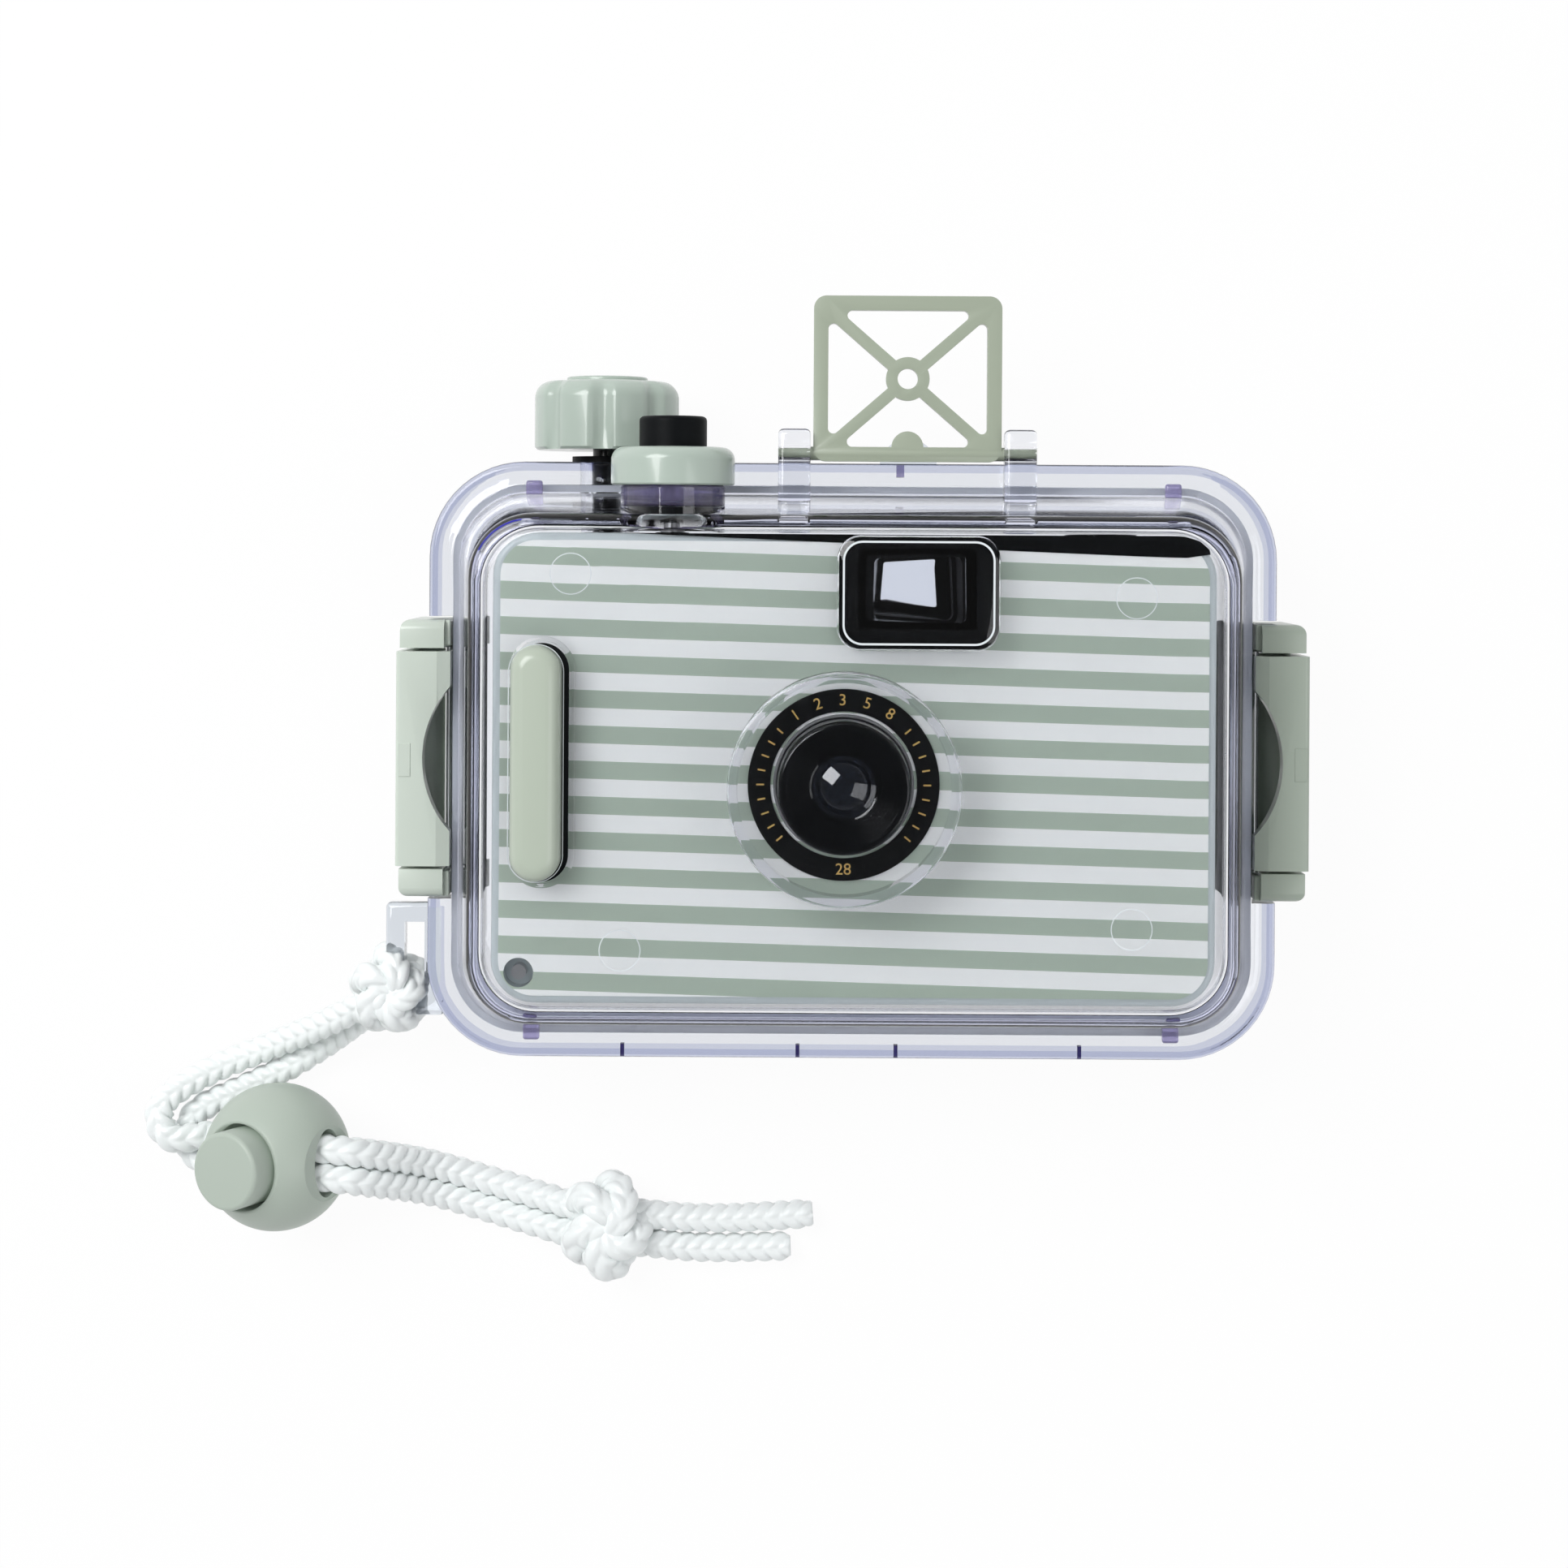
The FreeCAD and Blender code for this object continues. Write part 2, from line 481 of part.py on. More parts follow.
def round_x(name, radius, y, z, x):
    """A cylinder along X between two places."""
    rod = turned(doc.addObject("Part::Cylinder", name), ACROSS)
    bind(rod, Radius=radius, Height="(%s) - (%s)" % (x[1], x[0]))
    return place(rod, x[0], y, z)


def fuse(name, *parts):
    """One solid of several that overlap or touch."""
    joined = doc.addObject("Part::MultiFuse", name)
    joined.Shapes = list(parts)
    joined.Refine = True
    return joined


def cut(name, base, *tools):
    """A solid less one or more others."""
    tool = tools[0] if len(tools) == 1 else fuse(name + "_tools", *tools)
    left = doc.addObject("Part::Cut", name)
    left.Base = base
    left.Tool = tool
    left.Refine = True
    return left


def common(name, first, second):
    """What two solids share."""
    both = doc.addObject("Part::Common", name)
    both.Base = first
    both.Tool = second
    both.Refine = True
    return both


def rounded(name, base, radius, picked):
    """A solid with a radius on the edges that picked() chooses by their shape."""
    doc.recompute()
    edges = [i for i, edge in enumerate(base.Shape.Edges, start=1) if picked(edge)]
    if not edges:
        raise RuntimeError("no edge to round on " + name)
    soft = doc.addObject("Part::Fillet", name)
    soft.Base = base
    soft.Edges = [(i, radius, radius) for i in edges]
    return soft


def near(a, b, within=0.02):
    """Whether two numbers are the same to a hundredth or two."""
    return abs(a - b) < within


def edge_box(edge):
    """The corners of an edge's box."""
    b = edge.BoundBox
    return b.XMin, b.XMax, b.YMin, b.YMax, b.ZMin, b.ZMax


def flat_at(edge, axis, level):
    """Whether a whole edge lies at one level along an axis (0, 1 or 2)."""
    b = edge_box(edge)
    return near(b[2 * axis], level) and near(b[2 * axis + 1], level)


def along(edge, axis):
    """Whether an edge is a straight line along an axis."""
    b = edge_box(edge)
    spans = [b[2 * i + 1] - b[2 * i] for i in range(3)]
    return spans[axis] > 0.05 and all(spans[i] < 0.01 for i in range(3) if i != axis)


# Rounded plates and lofts, each a body with its own sketches


def plane(body, role):
    """An origin plane of a body."""
    return next(f for f in body.Origin.OriginFeatures if f.Role == role)


def rounded_sketch(body, name, width, height, radius, level):
    """A rounded rectangle round the body's Z axis, at one level."""
    sketch = body.newObject("Sketcher::SketchObject", name)
    sketch.AttachmentSupport = [(plane(body, "XY_Plane"), "")]
    sketch.MapMode = "FlatFace"
    a, b, r = value(width) / 2, value(height) / 2, value(radius)
    corners = [(a, -b), (a, b), (-a, b), (-a, -b)]
    sketch.addGeometry(Part.LineSegment(V(-a + r, -b, 0), V(a - r, -b, 0)))
    sketch.addGeometry(Part.LineSegment(V(a, -b + r, 0), V(a, b - r, 0)))
    sketch.addGeometry(Part.LineSegment(V(a - r, b, 0), V(-a + r, b, 0)))
    sketch.addGeometry(Part.LineSegment(V(-a, b - r, 0), V(-a, -b + r, 0)))
    for quarter, (x, y) in enumerate(corners):
        middle = V(x - math.copysign(r, x), y - math.copysign(r, y), 0)
        circle = Part.Circle(middle, V(0, 0, 1), r)
        start = (quarter - 1) * math.pi / 2
        sketch.addGeometry(Part.ArcOfCircle(circle, start, start + math.pi / 2))
    for side in range(4):
        sketch.addConstraint(Sketcher.Constraint("Tangent", side, 2, 4 + side, 1))
        sketch.addConstraint(Sketcher.Constraint("Tangent", 4 + side, 2, (side + 1) % 4, 1))
    sketch.addConstraint(Sketcher.Constraint("Horizontal", 0))
    sketch.addConstraint(Sketcher.Constraint("Vertical", 1))
    for corner in range(5, 8):
        sketch.addConstraint(Sketcher.Constraint("Equal", 4, corner))
    sketch.addConstraint(Sketcher.Constraint("Symmetric", 0, 1, 2, 1, -1, 1))
    for label, constraint, text in (
        ("Width", Sketcher.Constraint("Distance", 1, 1, 3, 2 * a), width),
        ("Height", Sketcher.Constraint("Distance", 0, 1, 2, 2 * b), height),
        ("Corner", Sketcher.Constraint("Radius", 4, r), radius),
    ):
        index = sketch.addConstraint(constraint)
        sketch.renameConstraint(index, label)
        sketch.setExpression("Constraints." + label, bound(text))
    sketch.setExpression(".AttachmentOffset.Base.z", bound(level))
    return sketch


def plate(name, width, height, radius, z, x="0", y="0"):
    """A rounded rectangle with straight sides, between two levels."""
    body = doc.addObject("PartDesign::Body", name)
    sketch = rounded_sketch(body, name + "_outline", width, height, radius, z[0])
    pad = body.newObject("PartDesign::Pad", name + "_pad")
    pad.Profile = sketch
    bind(pad, Length="(%s) - (%s)" % (z[1], z[0]))
    return place(body, x, y, "0")


def drafted(name, wide, narrow, z, x="0", y="0"):
    """A rounded rectangle that changes size from one level to another."""
    body = doc.addObject("PartDesign::Body", name)
    low = rounded_sketch(body, name + "_low", *wide, z[0])
    high = rounded_sketch(body, name + "_high", *narrow, z[1])
    loft = body.newObject("PartDesign::AdditiveLoft", name + "_loft")
    loft.Profile = low
    loft.Sections = [high]
    loft.Ruled = True
    return place(body, x, y, "0")


FINISHED = {}


def finish(node, thing):
    """Name a finished sub-part after its node."""
    thing.Label = node
    FINISHED[node] = thing
    return thing


# Case
SHELL_W = "(case_width - 2 * flange_rim)"
SHELL_H = "(case_height - 2 * flange_rim)"
REAR_FLANGE = "(parting_level - flange_thick)"
FRONT_FLANGE = "(parting_level + flange_thick)"
FACE_W = "(%s - 2 * front_draft)" % SHELL_W
FACE_H = "(%s - 2 * front_draft)" % SHELL_H
BACK_W = "(%s - 2 * rear_draft)" % SHELL_W
BACK_H = "(%s - 2 * rear_draft)" % SHELL_H
FACE_CORNER = "(shell_corner - 0.25 * front_draft)"
BACK_CORNER = "(shell_corner - 0.25 * rear_draft)"
INSIDE = "front_level - wall"
LATCH_SPAN = "(latch_length + 2 * latch_slit + 2 * latch_cap)"
WALL_INSIDE = "(%s / 2 - wall)" % BACK_H
KNOB_TOP = "(knob_bottom + knob_height)"
CAMERA_TOP = "(camera_height / 2)"
FORK_TOP = "(%s + fork_rise)" % CAMERA_TOP
FORK_BOTTOM = "(%s - fork_sink)" % CAMERA_TOP
RING_LEVEL = ("(%s - ring_gap - clip_ring_thick)" % WALL_INSIDE, "(%s - ring_gap)" % WALL_INSIDE)
RELEASE_SEAL_TOP = "(%s / 2 + release_seal_rise)" % FACE_H
RELEASE_FLOOR = "(collar_bottom + collar_floor)"
CAP_LOW = "(collar_bottom + collar_height - cap_sink)"
SIGHT_BOTTOM = "(sight_hinge - sight_foot)"
LATCH_PIN = ("latch_y - %s / 2 + pin_inset" % LATCH_SPAN, "latch_y + %s / 2 - pin_inset" % LATCH_SPAN)
HOOK_LOW = "(%s + latch_play)" % FRONT_FLANGE
HOOK_TOP = "(%s + latch_hook_thick)" % HOOK_LOW
BODY_LOW = "(camera_back + door_thick)"
PANEL_FACE = "(camera_front + panel_thick)"
BUTTON_TOP = "(%s + button_rise)" % CAMERA_TOP
BUTTON_FLOOR = "(%s - button_height - release_travel - pin_play)" % BUTTON_TOP
ROD_LOW = "(%s + rod_gap)" % BUTTON_TOP
WHEEL_TOP = "(%s - wheel_sink)" % CAMERA_TOP
WHEEL_LOW = "(%s - thumbwheel_thick)" % WHEEL_TOP
SPOOL_LOW = "(lens_y - spool_reach)"
CASSETTE_Y = ("(lens_y - cassette_length / 2)", "(lens_y + cassette_length / 2)")
FINDER_EYE_X = "(finder_x + eye_shift_x)"
FINDER_EYE_Y = "(finder_y - eye_shift_y)"
FINDER_OUT = ("(finder_width - tunnel_less_x)", "(finder_height - tunnel_less_y)")
FINDER_AT = ("finder_x + tunnel_shift_x", "finder_y + tunnel_shift_y")
STRAP_PIN = ("(strap_inset_x - camera_width / 2)", "(strap_inset_y - camera_height / 2)")
BARREL_LOW = "(camera_front - cover_face)"
LENS_SEAT = "(barrel_level - lens_sink)"
STOP_LEVEL = ("(camera_front + stop_rise)", "(camera_front + stop_rise + stop_thick)")
BACKING_X = "(grip_x + backing_shift)"
# shares of the camera's half size
FACE_MARKS = ((-0.78, 0.825), (0.77, 0.736), (-0.64, -0.759), (0.76, -0.658))
LOOP_AT = V(-64.85, -31.1, 0)  # the strap loop that the cord's route was laid from


def inner(text):
    """A shell's outside size less its two walls."""
    return "(%s) - 2 * wall" % text


def ring_plate(name, inset, width, z):
    """A rounded band whose middle runs at one inset from the flange's edge."""
    outer = plate(name + "_outer", "case_width - 2 * (%s) + (%s)" % (inset, width),
                  "case_height - 2 * (%s) + (%s)" % (inset, width),
                  "case_corner - (%s) + (%s) / 2" % (inset, width), z)
    hole = plate(name + "_hole", "case_width - 2 * (%s) - (%s)" % (inset, width),
                 "case_height - 2 * (%s) - (%s)" % (inset, width),
                 "case_corner - (%s) - (%s) / 2" % (inset, width),
                 ("(%s) - over" % z[0], "(%s) + over" % z[1]))
    return cut(name, outer, hole)


def notches(name, z):
    """The two notches in a flange that the latches stand in."""
    found = []
    for side, x in (("left", ("-case_width", "-latch_notch")), ("right", ("latch_notch", "case_width"))):
        y = ("latch_y - %s / 2 - latch_slit" % LATCH_SPAN, "latch_y + %s / 2 + latch_slit" % LATCH_SPAN)
        found.append(block("%s_%s" % (name, side), x, y, z))
    return found


def rear_case():
    """Rear half: drafted tray, flange with a gasket groove, knob boss and strap loop."""
    tray = rear_tray("rear_tray")
    flange = plate("rear_flange", "case_width", "case_height", "case_corner",
                   (REAR_FLANGE, "parting_level"))
    boss = round_y("rear_boss", "wind_boss_radius", "wind_x", "wind_level",
                   (BACK_H + " / 2", "wind_boss_top"))
    loop = block("loop_outer", ("-case_width / 2 - loop_reach", "-case_width / 2 + flange_rim / 2"),
                 ("loop_y - loop_length / 2", "loop_y + loop_length / 2"), (REAR_FLANGE, "parting_level"))
    loop = rounded("loop_rounded", loop, size("loop_round"),
                   lambda e: along(e, 2) and e.BoundBox.XMin < -size("case_width") / 2 - 1)
    hollow = drafted("rear_hollow", (inner(BACK_W), inner(BACK_H), BACK_CORNER + " - wall / 2"),
                     (inner(SHELL_W), inner(SHELL_H), "shell_corner - wall / 2"), ("wall", "parting_level"))
    groove = ring_plate("seal_groove", "seal_inset", "seal_width + 2 * seal_play",
                        ("parting_level - seal_depth", "parting_level + over"))
    eye = block("loop_eye", ("-case_width / 2 - loop_reach + loop_bar", "-case_width / 2 - loop_land"),
                ("loop_y - loop_length / 2 + loop_bar", "loop_y + loop_length / 2 - loop_bar"),
                (REAR_FLANGE + " - over", "parting_level + over"))
    shell = cut("rear_shell", fuse("rear_solid", tray, flange, boss, loop), hollow, groove, eye,
                *notches("rear_notch", (REAR_FLANGE + " - over", "parting_level + over")))
    pads = []
    for across in (-1, 1):
        for up in (-1, 1):
            pads.append(round_z("camera_pad_%d_%d" % (across + 1, up + 1), "pad_radius",
                                "%d * (camera_width / 2 - pad_inset_x)" % across,
                                "%d * (camera_height / 2 - pad_inset_y)" % up,
                                ("wall / 2", "camera_back")))
    stub = round_y("wind_stub", "wind_boss_radius", "wind_x", "wind_level",
                   (WALL_INSIDE, BACK_H + " / 2 + over"))
    bore = round_y("wind_bore", "shaft_radius + shaft_play", "wind_x", "wind_level",
                   (WALL_INSIDE + " - over", "wind_boss_top + over"))
    return finish("rear_case", cut("rear_case", fuse("rear_inside", shell, stub, *pads), bore))


def rear_tray(name):
    """The rear shell's outside, which the latch brackets are seated on too."""
    return drafted(name, (BACK_W, BACK_H, BACK_CORNER), (SHELL_W, SHELL_H, "shell_corner"),
                   ("0", "parting_level"))


def front_dome(name):
    """The front shell's outside: a drafted box with a softened edge round its flat face."""
    steps = []
    levels = [("parting_level", "0"), ("front_level - shell_round", "0"),
              ("front_level - 0.3 * shell_round", "0.3 * shell_round"), ("front_level", "shell_round")]
    rise = "(front_level - parting_level)"
    for i, ((low, low_in), (high, high_in)) in enumerate(zip(levels, levels[1:])):
        outlines = []
        for level, inset in ((low, low_in), (high, high_in)):
            less = "2 * (front_draft * (%s - parting_level) / %s + %s)" % (level, rise, inset)
            outlines.append(("%s - %s" % (SHELL_W, less), "%s - %s" % (SHELL_H, less),
                             "shell_corner - 0.125 * (%s)" % less))
        steps.append(drafted("%s_%d" % (name, i), outlines[0], outlines[1], (low, high)))
    return fuse(name, *steps)


def front_case():
    """Front half: drafted shell, stepped flange, lens port, finder box, release boss, sight ears."""
    shell = front_dome("front_shell")
    flange = plate("front_flange", "case_width", "case_height", "case_corner",
                   ("parting_level", FRONT_FLANGE))
    step = ring_plate("flange_step", "rim_step_width + rim_groove / 2", "rim_groove",
                      (FRONT_FLANGE + " - rim_step", FRONT_FLANGE + " + over"))
    port = round_z("port_tube", "port_radius", "lens_x", "lens_y", (INSIDE, "port_level"))
    port = rounded("port_rounded", port, size("port_round"), lambda e: flat_at(e, 2, size("port_level")))
    top = "front_level + finder_rise"
    finder = plate("finder_box", "finder_width", "finder_height", "finder_corner", (INSIDE, top),
                   "finder_x", "finder_y")
    finder = rounded("finder_rounded", finder, size("finder_round"), lambda e: flat_at(e, 2, value(top)))
    boss = round_y("release_boss", "release_boss_radius", "shutter_x", "shutter_level",
                   ("%s / 2 - wall" % FACE_H, "collar_bottom"))
    lug = round_z("sight_lug_disc", "sight_lug", "sight_x + lug_shift", "case_height / 2 - lug_inset",
                  (FRONT_FLANGE + " - lug_sink - lug_thick", FRONT_FLANGE + " - lug_sink"))
    marks = [round_z("face_mark_%d" % i, "mark_radius", "%.3f * camera_width / 2" % across,
                     "%.3f * camera_height / 2" % up, ("front_level - wall / 4", "front_level + mark_rise"))
             for i, (across, up) in enumerate(FACE_MARKS)]
    pocket = grip_outline("grip_pocket", "pocket_margin",
                          ("front_level - wall / 4", "front_level + pocket_rise"), BACKING_X)
    ears = []
    for side, sign in (("left", "-"), ("right", "+")):
        near_x = "sight_x %s (sight_width / 2 + ear_gap)" % sign
        far_x = "sight_x %s (sight_width / 2 + ear_gap + ear_width)" % sign
        x = (far_x, near_x) if sign == "-" else (near_x, far_x)
        ear = block("ear_" + side, x, ("%s / 2 - wall * 0.6" % FACE_H, "ear_top"),
                    ("sight_level - ear_depth / 2", "sight_level + ear_depth / 2"))
        ears.append(rounded("ear_%s_round" % side, ear, size("ear_round"),
                            lambda e: along(e, 0) and flat_at(e, 1, size("ear_top"))))
    ribs = []
    for i, (x, y) in enumerate(((-1, 1), (1, 1), (-1, -1), (1, -1))):
        across = "%d * (case_width / 2 - corner_rib_inset)" % x
        up = "%d * (%s / 2 - wall * 0.3)" % (y, SHELL_H)
        ribs.append(block("corner_rib_%d" % i,
                          (across + " - corner_rib_width / 2", across + " + corner_rib_width / 2"),
                          (up + " - corner_rib_depth / 2", up + " + corner_rib_depth / 2"),
                          (FRONT_FLANGE + " - wall / 4", FRONT_FLANGE + " + corner_rib_depth")))
    solid = fuse("front_solid", shell, flange, port, finder, boss, lug, pocket, *marks, *ears, *ribs)
    hollow = drafted("front_hollow", (inner(SHELL_W), inner(SHELL_H), "shell_corner - wall / 2"),
                     (inner(FACE_W), inner(FACE_H), FACE_CORNER + " - wall / 2"), ("parting_level", INSIDE))
    hollow_low = plate("front_hollow_low", inner(SHELL_W), inner(SHELL_H), "shell_corner - wall / 2",
                       ("parting_level - wall", "parting_level + press_play"))
    port_hollow = round_z("port_hollow", "port_radius - port_wall", "lens_x", "lens_y",
                          (INSIDE + " - over", "port_level - wall"))
    finder_hollow = plate("finder_hollow", "finder_width - 2 * finder_wall",
                          "finder_height - 2 * finder_wall",
                          "finder_corner - finder_wall / 2", (INSIDE + " - over", top + " - finder_wall"),
                          "finder_x", "finder_y")
    rod_bore = round_y("rod_bore", "release_rod_radius + shaft_play", "shutter_x", "shutter_level",
                       ("%s / 2 - 4 * wall" % FACE_H, "collar_bottom + over"))
    seal_seat = round_y("seal_seat", "release_seal_radius + seal_play", "shutter_x", "shutter_level",
                        ("%s / 2 - 4 * wall" % FACE_H, RELEASE_SEAL_TOP))
    grip_seat = grip_outline("grip_seat", "backing_margin + seat_play",
                             ("front_level", "front_level + over"), BACKING_X)
    pivots = round_x("ear_bore", "pivot_radius + shaft_play", "sight_hinge", "sight_level",
                     ("sight_x - sight_width", "sight_x + sight_width"))
    return finish("front_case", cut("front_case", solid, hollow, hollow_low, port_hollow, finder_hollow,
                                    step, rod_bore, seal_seat, grip_seat, pivots,
                                    *notches("front_notch",
                                             ("parting_level - over", FRONT_FLANGE + " + over"))))


def grip_outline(name, margin, z, x="grip_x"):
    """A long slot shape at the grip bar's height, grown by a margin."""
    half = "(grip_length - grip_width) / 2"
    lower = round_z(name + "_low", "grip_width / 2 + " + margin, x, "grip_y - " + half, z)
    upper = round_z(name + "_high", "grip_width / 2 + " + margin, x, "grip_y + " + half, z)
    middle = block(name + "_mid", (x + " - grip_width / 2 - (%s)" % margin,
                                   x + " + grip_width / 2 + " + margin),
                   ("grip_y - " + half, "grip_y + " + half), z)
    return fuse(name, lower, upper, middle)


def grip():
    """Grip bar of coloured plastic on a thin black backing."""
    finish("grip_backing", grip_outline("grip_backing", "backing_margin",
                                        ("front_level", "front_level + backing_thick"), BACKING_X))
    low = "(front_level + backing_thick)"
    bar = grip_outline("grip_solid", "0", (low, low + " + grip_rise"))
    top = value(low + " + grip_rise")
    finish("grip_bar", rounded("grip_bar", bar, size("grip_round"), lambda e: flat_at(e, 2, top)))


def gasket():
    """Flat ring seal in the rear flange's groove."""
    return finish("case_gasket", ring_plate("case_gasket", "seal_inset", "seal_width",
                                            ("parting_level - seal_depth + seal_play", "parting_level")))


# Wind knob and its shaft


def wind_knob():
    """Fluted knob, its shaft with a fork, the seal under it and the ring that keeps it in."""
    body = round_y("knob_body", "knob_radius", "wind_x", "wind_level", ("knob_bottom", KNOB_TOP))
    flutes = []
    for i in range(int(size("knob_lobes"))):
        angle = 360.0 / size("knob_lobes") * (i + 0.5)
        reach = "(knob_radius - flute_depth + flute_radius)"
        flutes.append(round_y("flute_%d" % i, "flute_radius",
                              "wind_x + %s * cos(%.4f deg)" % (reach, angle),
                              "wind_level + %s * sin(%.4f deg)" % (reach, angle),
                              ("knob_bottom - over", KNOB_TOP + " + over")))
    top = value(KNOB_TOP)
    body = rounded("knob_round_top", body, size("knob_round"), lambda e: flat_at(e, 1, top))
    body = cut("knob_fluted", body, *flutes)
    disc = round_y("knob_disc", "disc_radius", "wind_x", "wind_level",
                   (KNOB_TOP + " - over", KNOB_TOP + " + disc_rise"))
    seat = round_y("knob_seat", "shaft_radius + press_play", "wind_x", "wind_level",
                   ("knob_bottom - over", "knob_bottom + knob_height / 2"))
    finish("wind_knob", cut("wind_knob", fuse("knob_solid", body, disc), seat))
    shaft = round_y("shaft_rod", "shaft_radius", "wind_x", "wind_level",
                    (FORK_TOP + " - fork_web", "knob_bottom + knob_height / 2 - seat_play"))
    fork = round_y("fork_disc", "fork_radius", "wind_x", "wind_level", (FORK_BOTTOM, FORK_TOP))
    gap = block("fork_gap", ("wind_x - tongue_thick / 2 - fork_play",
                             "wind_x + tongue_thick / 2 + fork_play"),
                (FORK_BOTTOM + " - over", FORK_TOP + " - fork_web"),
                ("wind_level - fork_radius - over", "wind_level + fork_radius + over"))
    groove = cut("ring_groove", round_y("ring_groove_out", "shaft_radius + over", "wind_x", "wind_level",
                                        RING_LEVEL),
                 round_y("ring_groove_in", "shaft_radius - clip_groove_depth", "wind_x", "wind_level",
                         (RING_LEVEL[0] + " - over", RING_LEVEL[1] + " + over")))
    finish("wind_shaft", cut("wind_shaft", fuse("shaft_solid", shaft, fork), gap, groove))
    ring = round_y("ring_disc", "clip_ring_radius", "wind_x", "wind_level", RING_LEVEL)
    ring_hole = round_y("ring_hole", "shaft_radius - clip_groove_depth + seat_play", "wind_x", "wind_level",
                        (RING_LEVEL[0] + " - over", RING_LEVEL[1] + " + over"))
    mouth = block("ring_mouth", ("wind_x - clip_ring_mouth / 2", "wind_x + clip_ring_mouth / 2"),
                  (RING_LEVEL[0] + " - over", RING_LEVEL[1] + " + over"),
                  ("wind_level", "wind_level + clip_ring_radius + over"))
    finish("retaining_ring", cut("retaining_ring", ring, ring_hole, mouth))
    seal = round_y("wind_seal_disc", "wind_seal_radius", "wind_x", "wind_level",
                   ("wind_boss_top", "wind_boss_top + wind_seal_thick"))
    seal_hole = round_y("wind_seal_hole", "shaft_radius + shaft_play", "wind_x", "wind_level",
                        ("wind_boss_top - over", "wind_boss_top + wind_seal_thick + over"))
    finish("wind_seal", cut("wind_seal", seal, seal_hole))


# Shutter release


def shutter_release():
    """Collar on the clear boss, rubber cap on a rod, its spring and the seal inside."""
    collar = round_y("collar_body", "collar_radius", "shutter_x", "shutter_level",
                     ("collar_bottom", "collar_bottom + collar_height"))
    top = value("collar_bottom + collar_height")
    collar = rounded("collar_round_top", collar, size("collar_round"), lambda e: flat_at(e, 1, top))
    well = round_y("collar_well", "cap_radius + cap_play", "shutter_x", "shutter_level",
                   (RELEASE_FLOOR, "collar_bottom + collar_height + over"))
    hole = round_y("collar_hole", "release_rod_radius + shaft_play", "shutter_x", "shutter_level",
                   ("collar_bottom - over", RELEASE_FLOOR + " + over"))
    finish("shutter_collar", cut("shutter_collar", collar, well, hole))
    cap = round_y("cap_body", "cap_radius", "shutter_x", "shutter_level", (CAP_LOW, "cap_top"))
    cap = rounded("cap_round_top", cap, size("cap_round"), lambda e: flat_at(e, 1, size("cap_top")))
    well = round_y("cap_well", "spring_radius + 3 * spring_wire", "shutter_x", "shutter_level",
                   (CAP_LOW + " - over", "cap_top - cap_roof"))
    seat = round_y("cap_seat", "release_rod_radius", "shutter_x", "shutter_level",
                   (CAP_LOW + " - over", "cap_top - cap_roof / 2"))
    finish("shutter_cap", cut("shutter_cap", cap, well, seat))
    finish("release_rod", round_y("release_rod", "release_rod_radius", "shutter_x", "shutter_level",
                                  (ROD_LOW, "cap_top - cap_roof / 2 - seat_play")))
    seal = round_y("release_seal_disc", "release_seal_radius", "shutter_x", "shutter_level",
                   (RELEASE_SEAL_TOP + " - release_seal_thick", RELEASE_SEAL_TOP))
    hole = round_y("release_seal_hole", "release_rod_radius + shaft_play", "shutter_x", "shutter_level",
                   (RELEASE_SEAL_TOP + " - release_seal_thick - over", RELEASE_SEAL_TOP + " + over"))
    finish("release_seal", cut("release_seal", seal, hole))
    finish("release_spring", coil("release_spring", size("spring_radius"), size("spring_wire") / 2,
                                  value(RELEASE_FLOOR), value("cap_top - cap_roof"), size("spring_turns"),
                                  V(size("shutter_x"), 0, size("shutter_level")), UP))


def bend(start, tip, end):
    """The arc from start to end whose tangents there meet at tip."""
    chord = end - start
    middle = (start + end) * 0.5
    lean = math.acos(min(1.0, chord.Length / 2 / (tip - start).Length))
    radius = chord.Length / 2 / math.sin(lean)
    rise = (tip - middle).normalize() * (radius * (1 - math.cos(lean)))
    return Part.Arc(start, middle + rise, end).toShape()


def biarc(start, heading, end, leaving):
    """Two arcs that join two points and two directions smoothly."""
    across = end - start
    both = heading + leaving
    spread = 2 * (1 - heading.dot(leaving))
    reach = (math.sqrt(across.dot(both) ** 2 + spread * across.dot(across)) - across.dot(both)) / spread
    joint = (start + end + (heading - leaving) * reach) * 0.5
    return [bend(start, start + heading * reach, joint), bend(joint, end - leaving * reach, end)]


def coil(name, radius, wire, low, high, turns, base, rotation):
    """An open spring between two levels along its own Z, turned and then set down at its base."""
    rise = high - low - 2 * wire
    slope = rise / turns / (2 * math.pi * radius)
    steps = int(round(turns * 4))

    def point(step):
        angle = math.pi / 2 * step
        return V(radius * math.cos(angle), radius * math.sin(angle), rise * step / steps)

    def heading(step):
        angle = math.pi / 2 * step
        return V(-math.sin(angle), math.cos(angle), slope).normalize()

    edges = []
    for step in range(steps):
        edges += biarc(point(step), heading(step), point(step + 1), heading(step + 1))
    section = Part.Wire([Part.Circle(point(0), heading(0), wire).toShape()])
    spring = doc.addObject("Part::Feature", name)
    spring.Shape = Part.Wire(edges).makePipeShell([section], True, False)
    spring.Placement = FreeCAD.Placement(base + rotation.multVec(V(0, 0, low + wire)), rotation)
    print("%s: %.0f turns, least gap between turns %.2f mm" % (name, turns, rise / turns - 2 * wire))
    return spring


# Sports finder


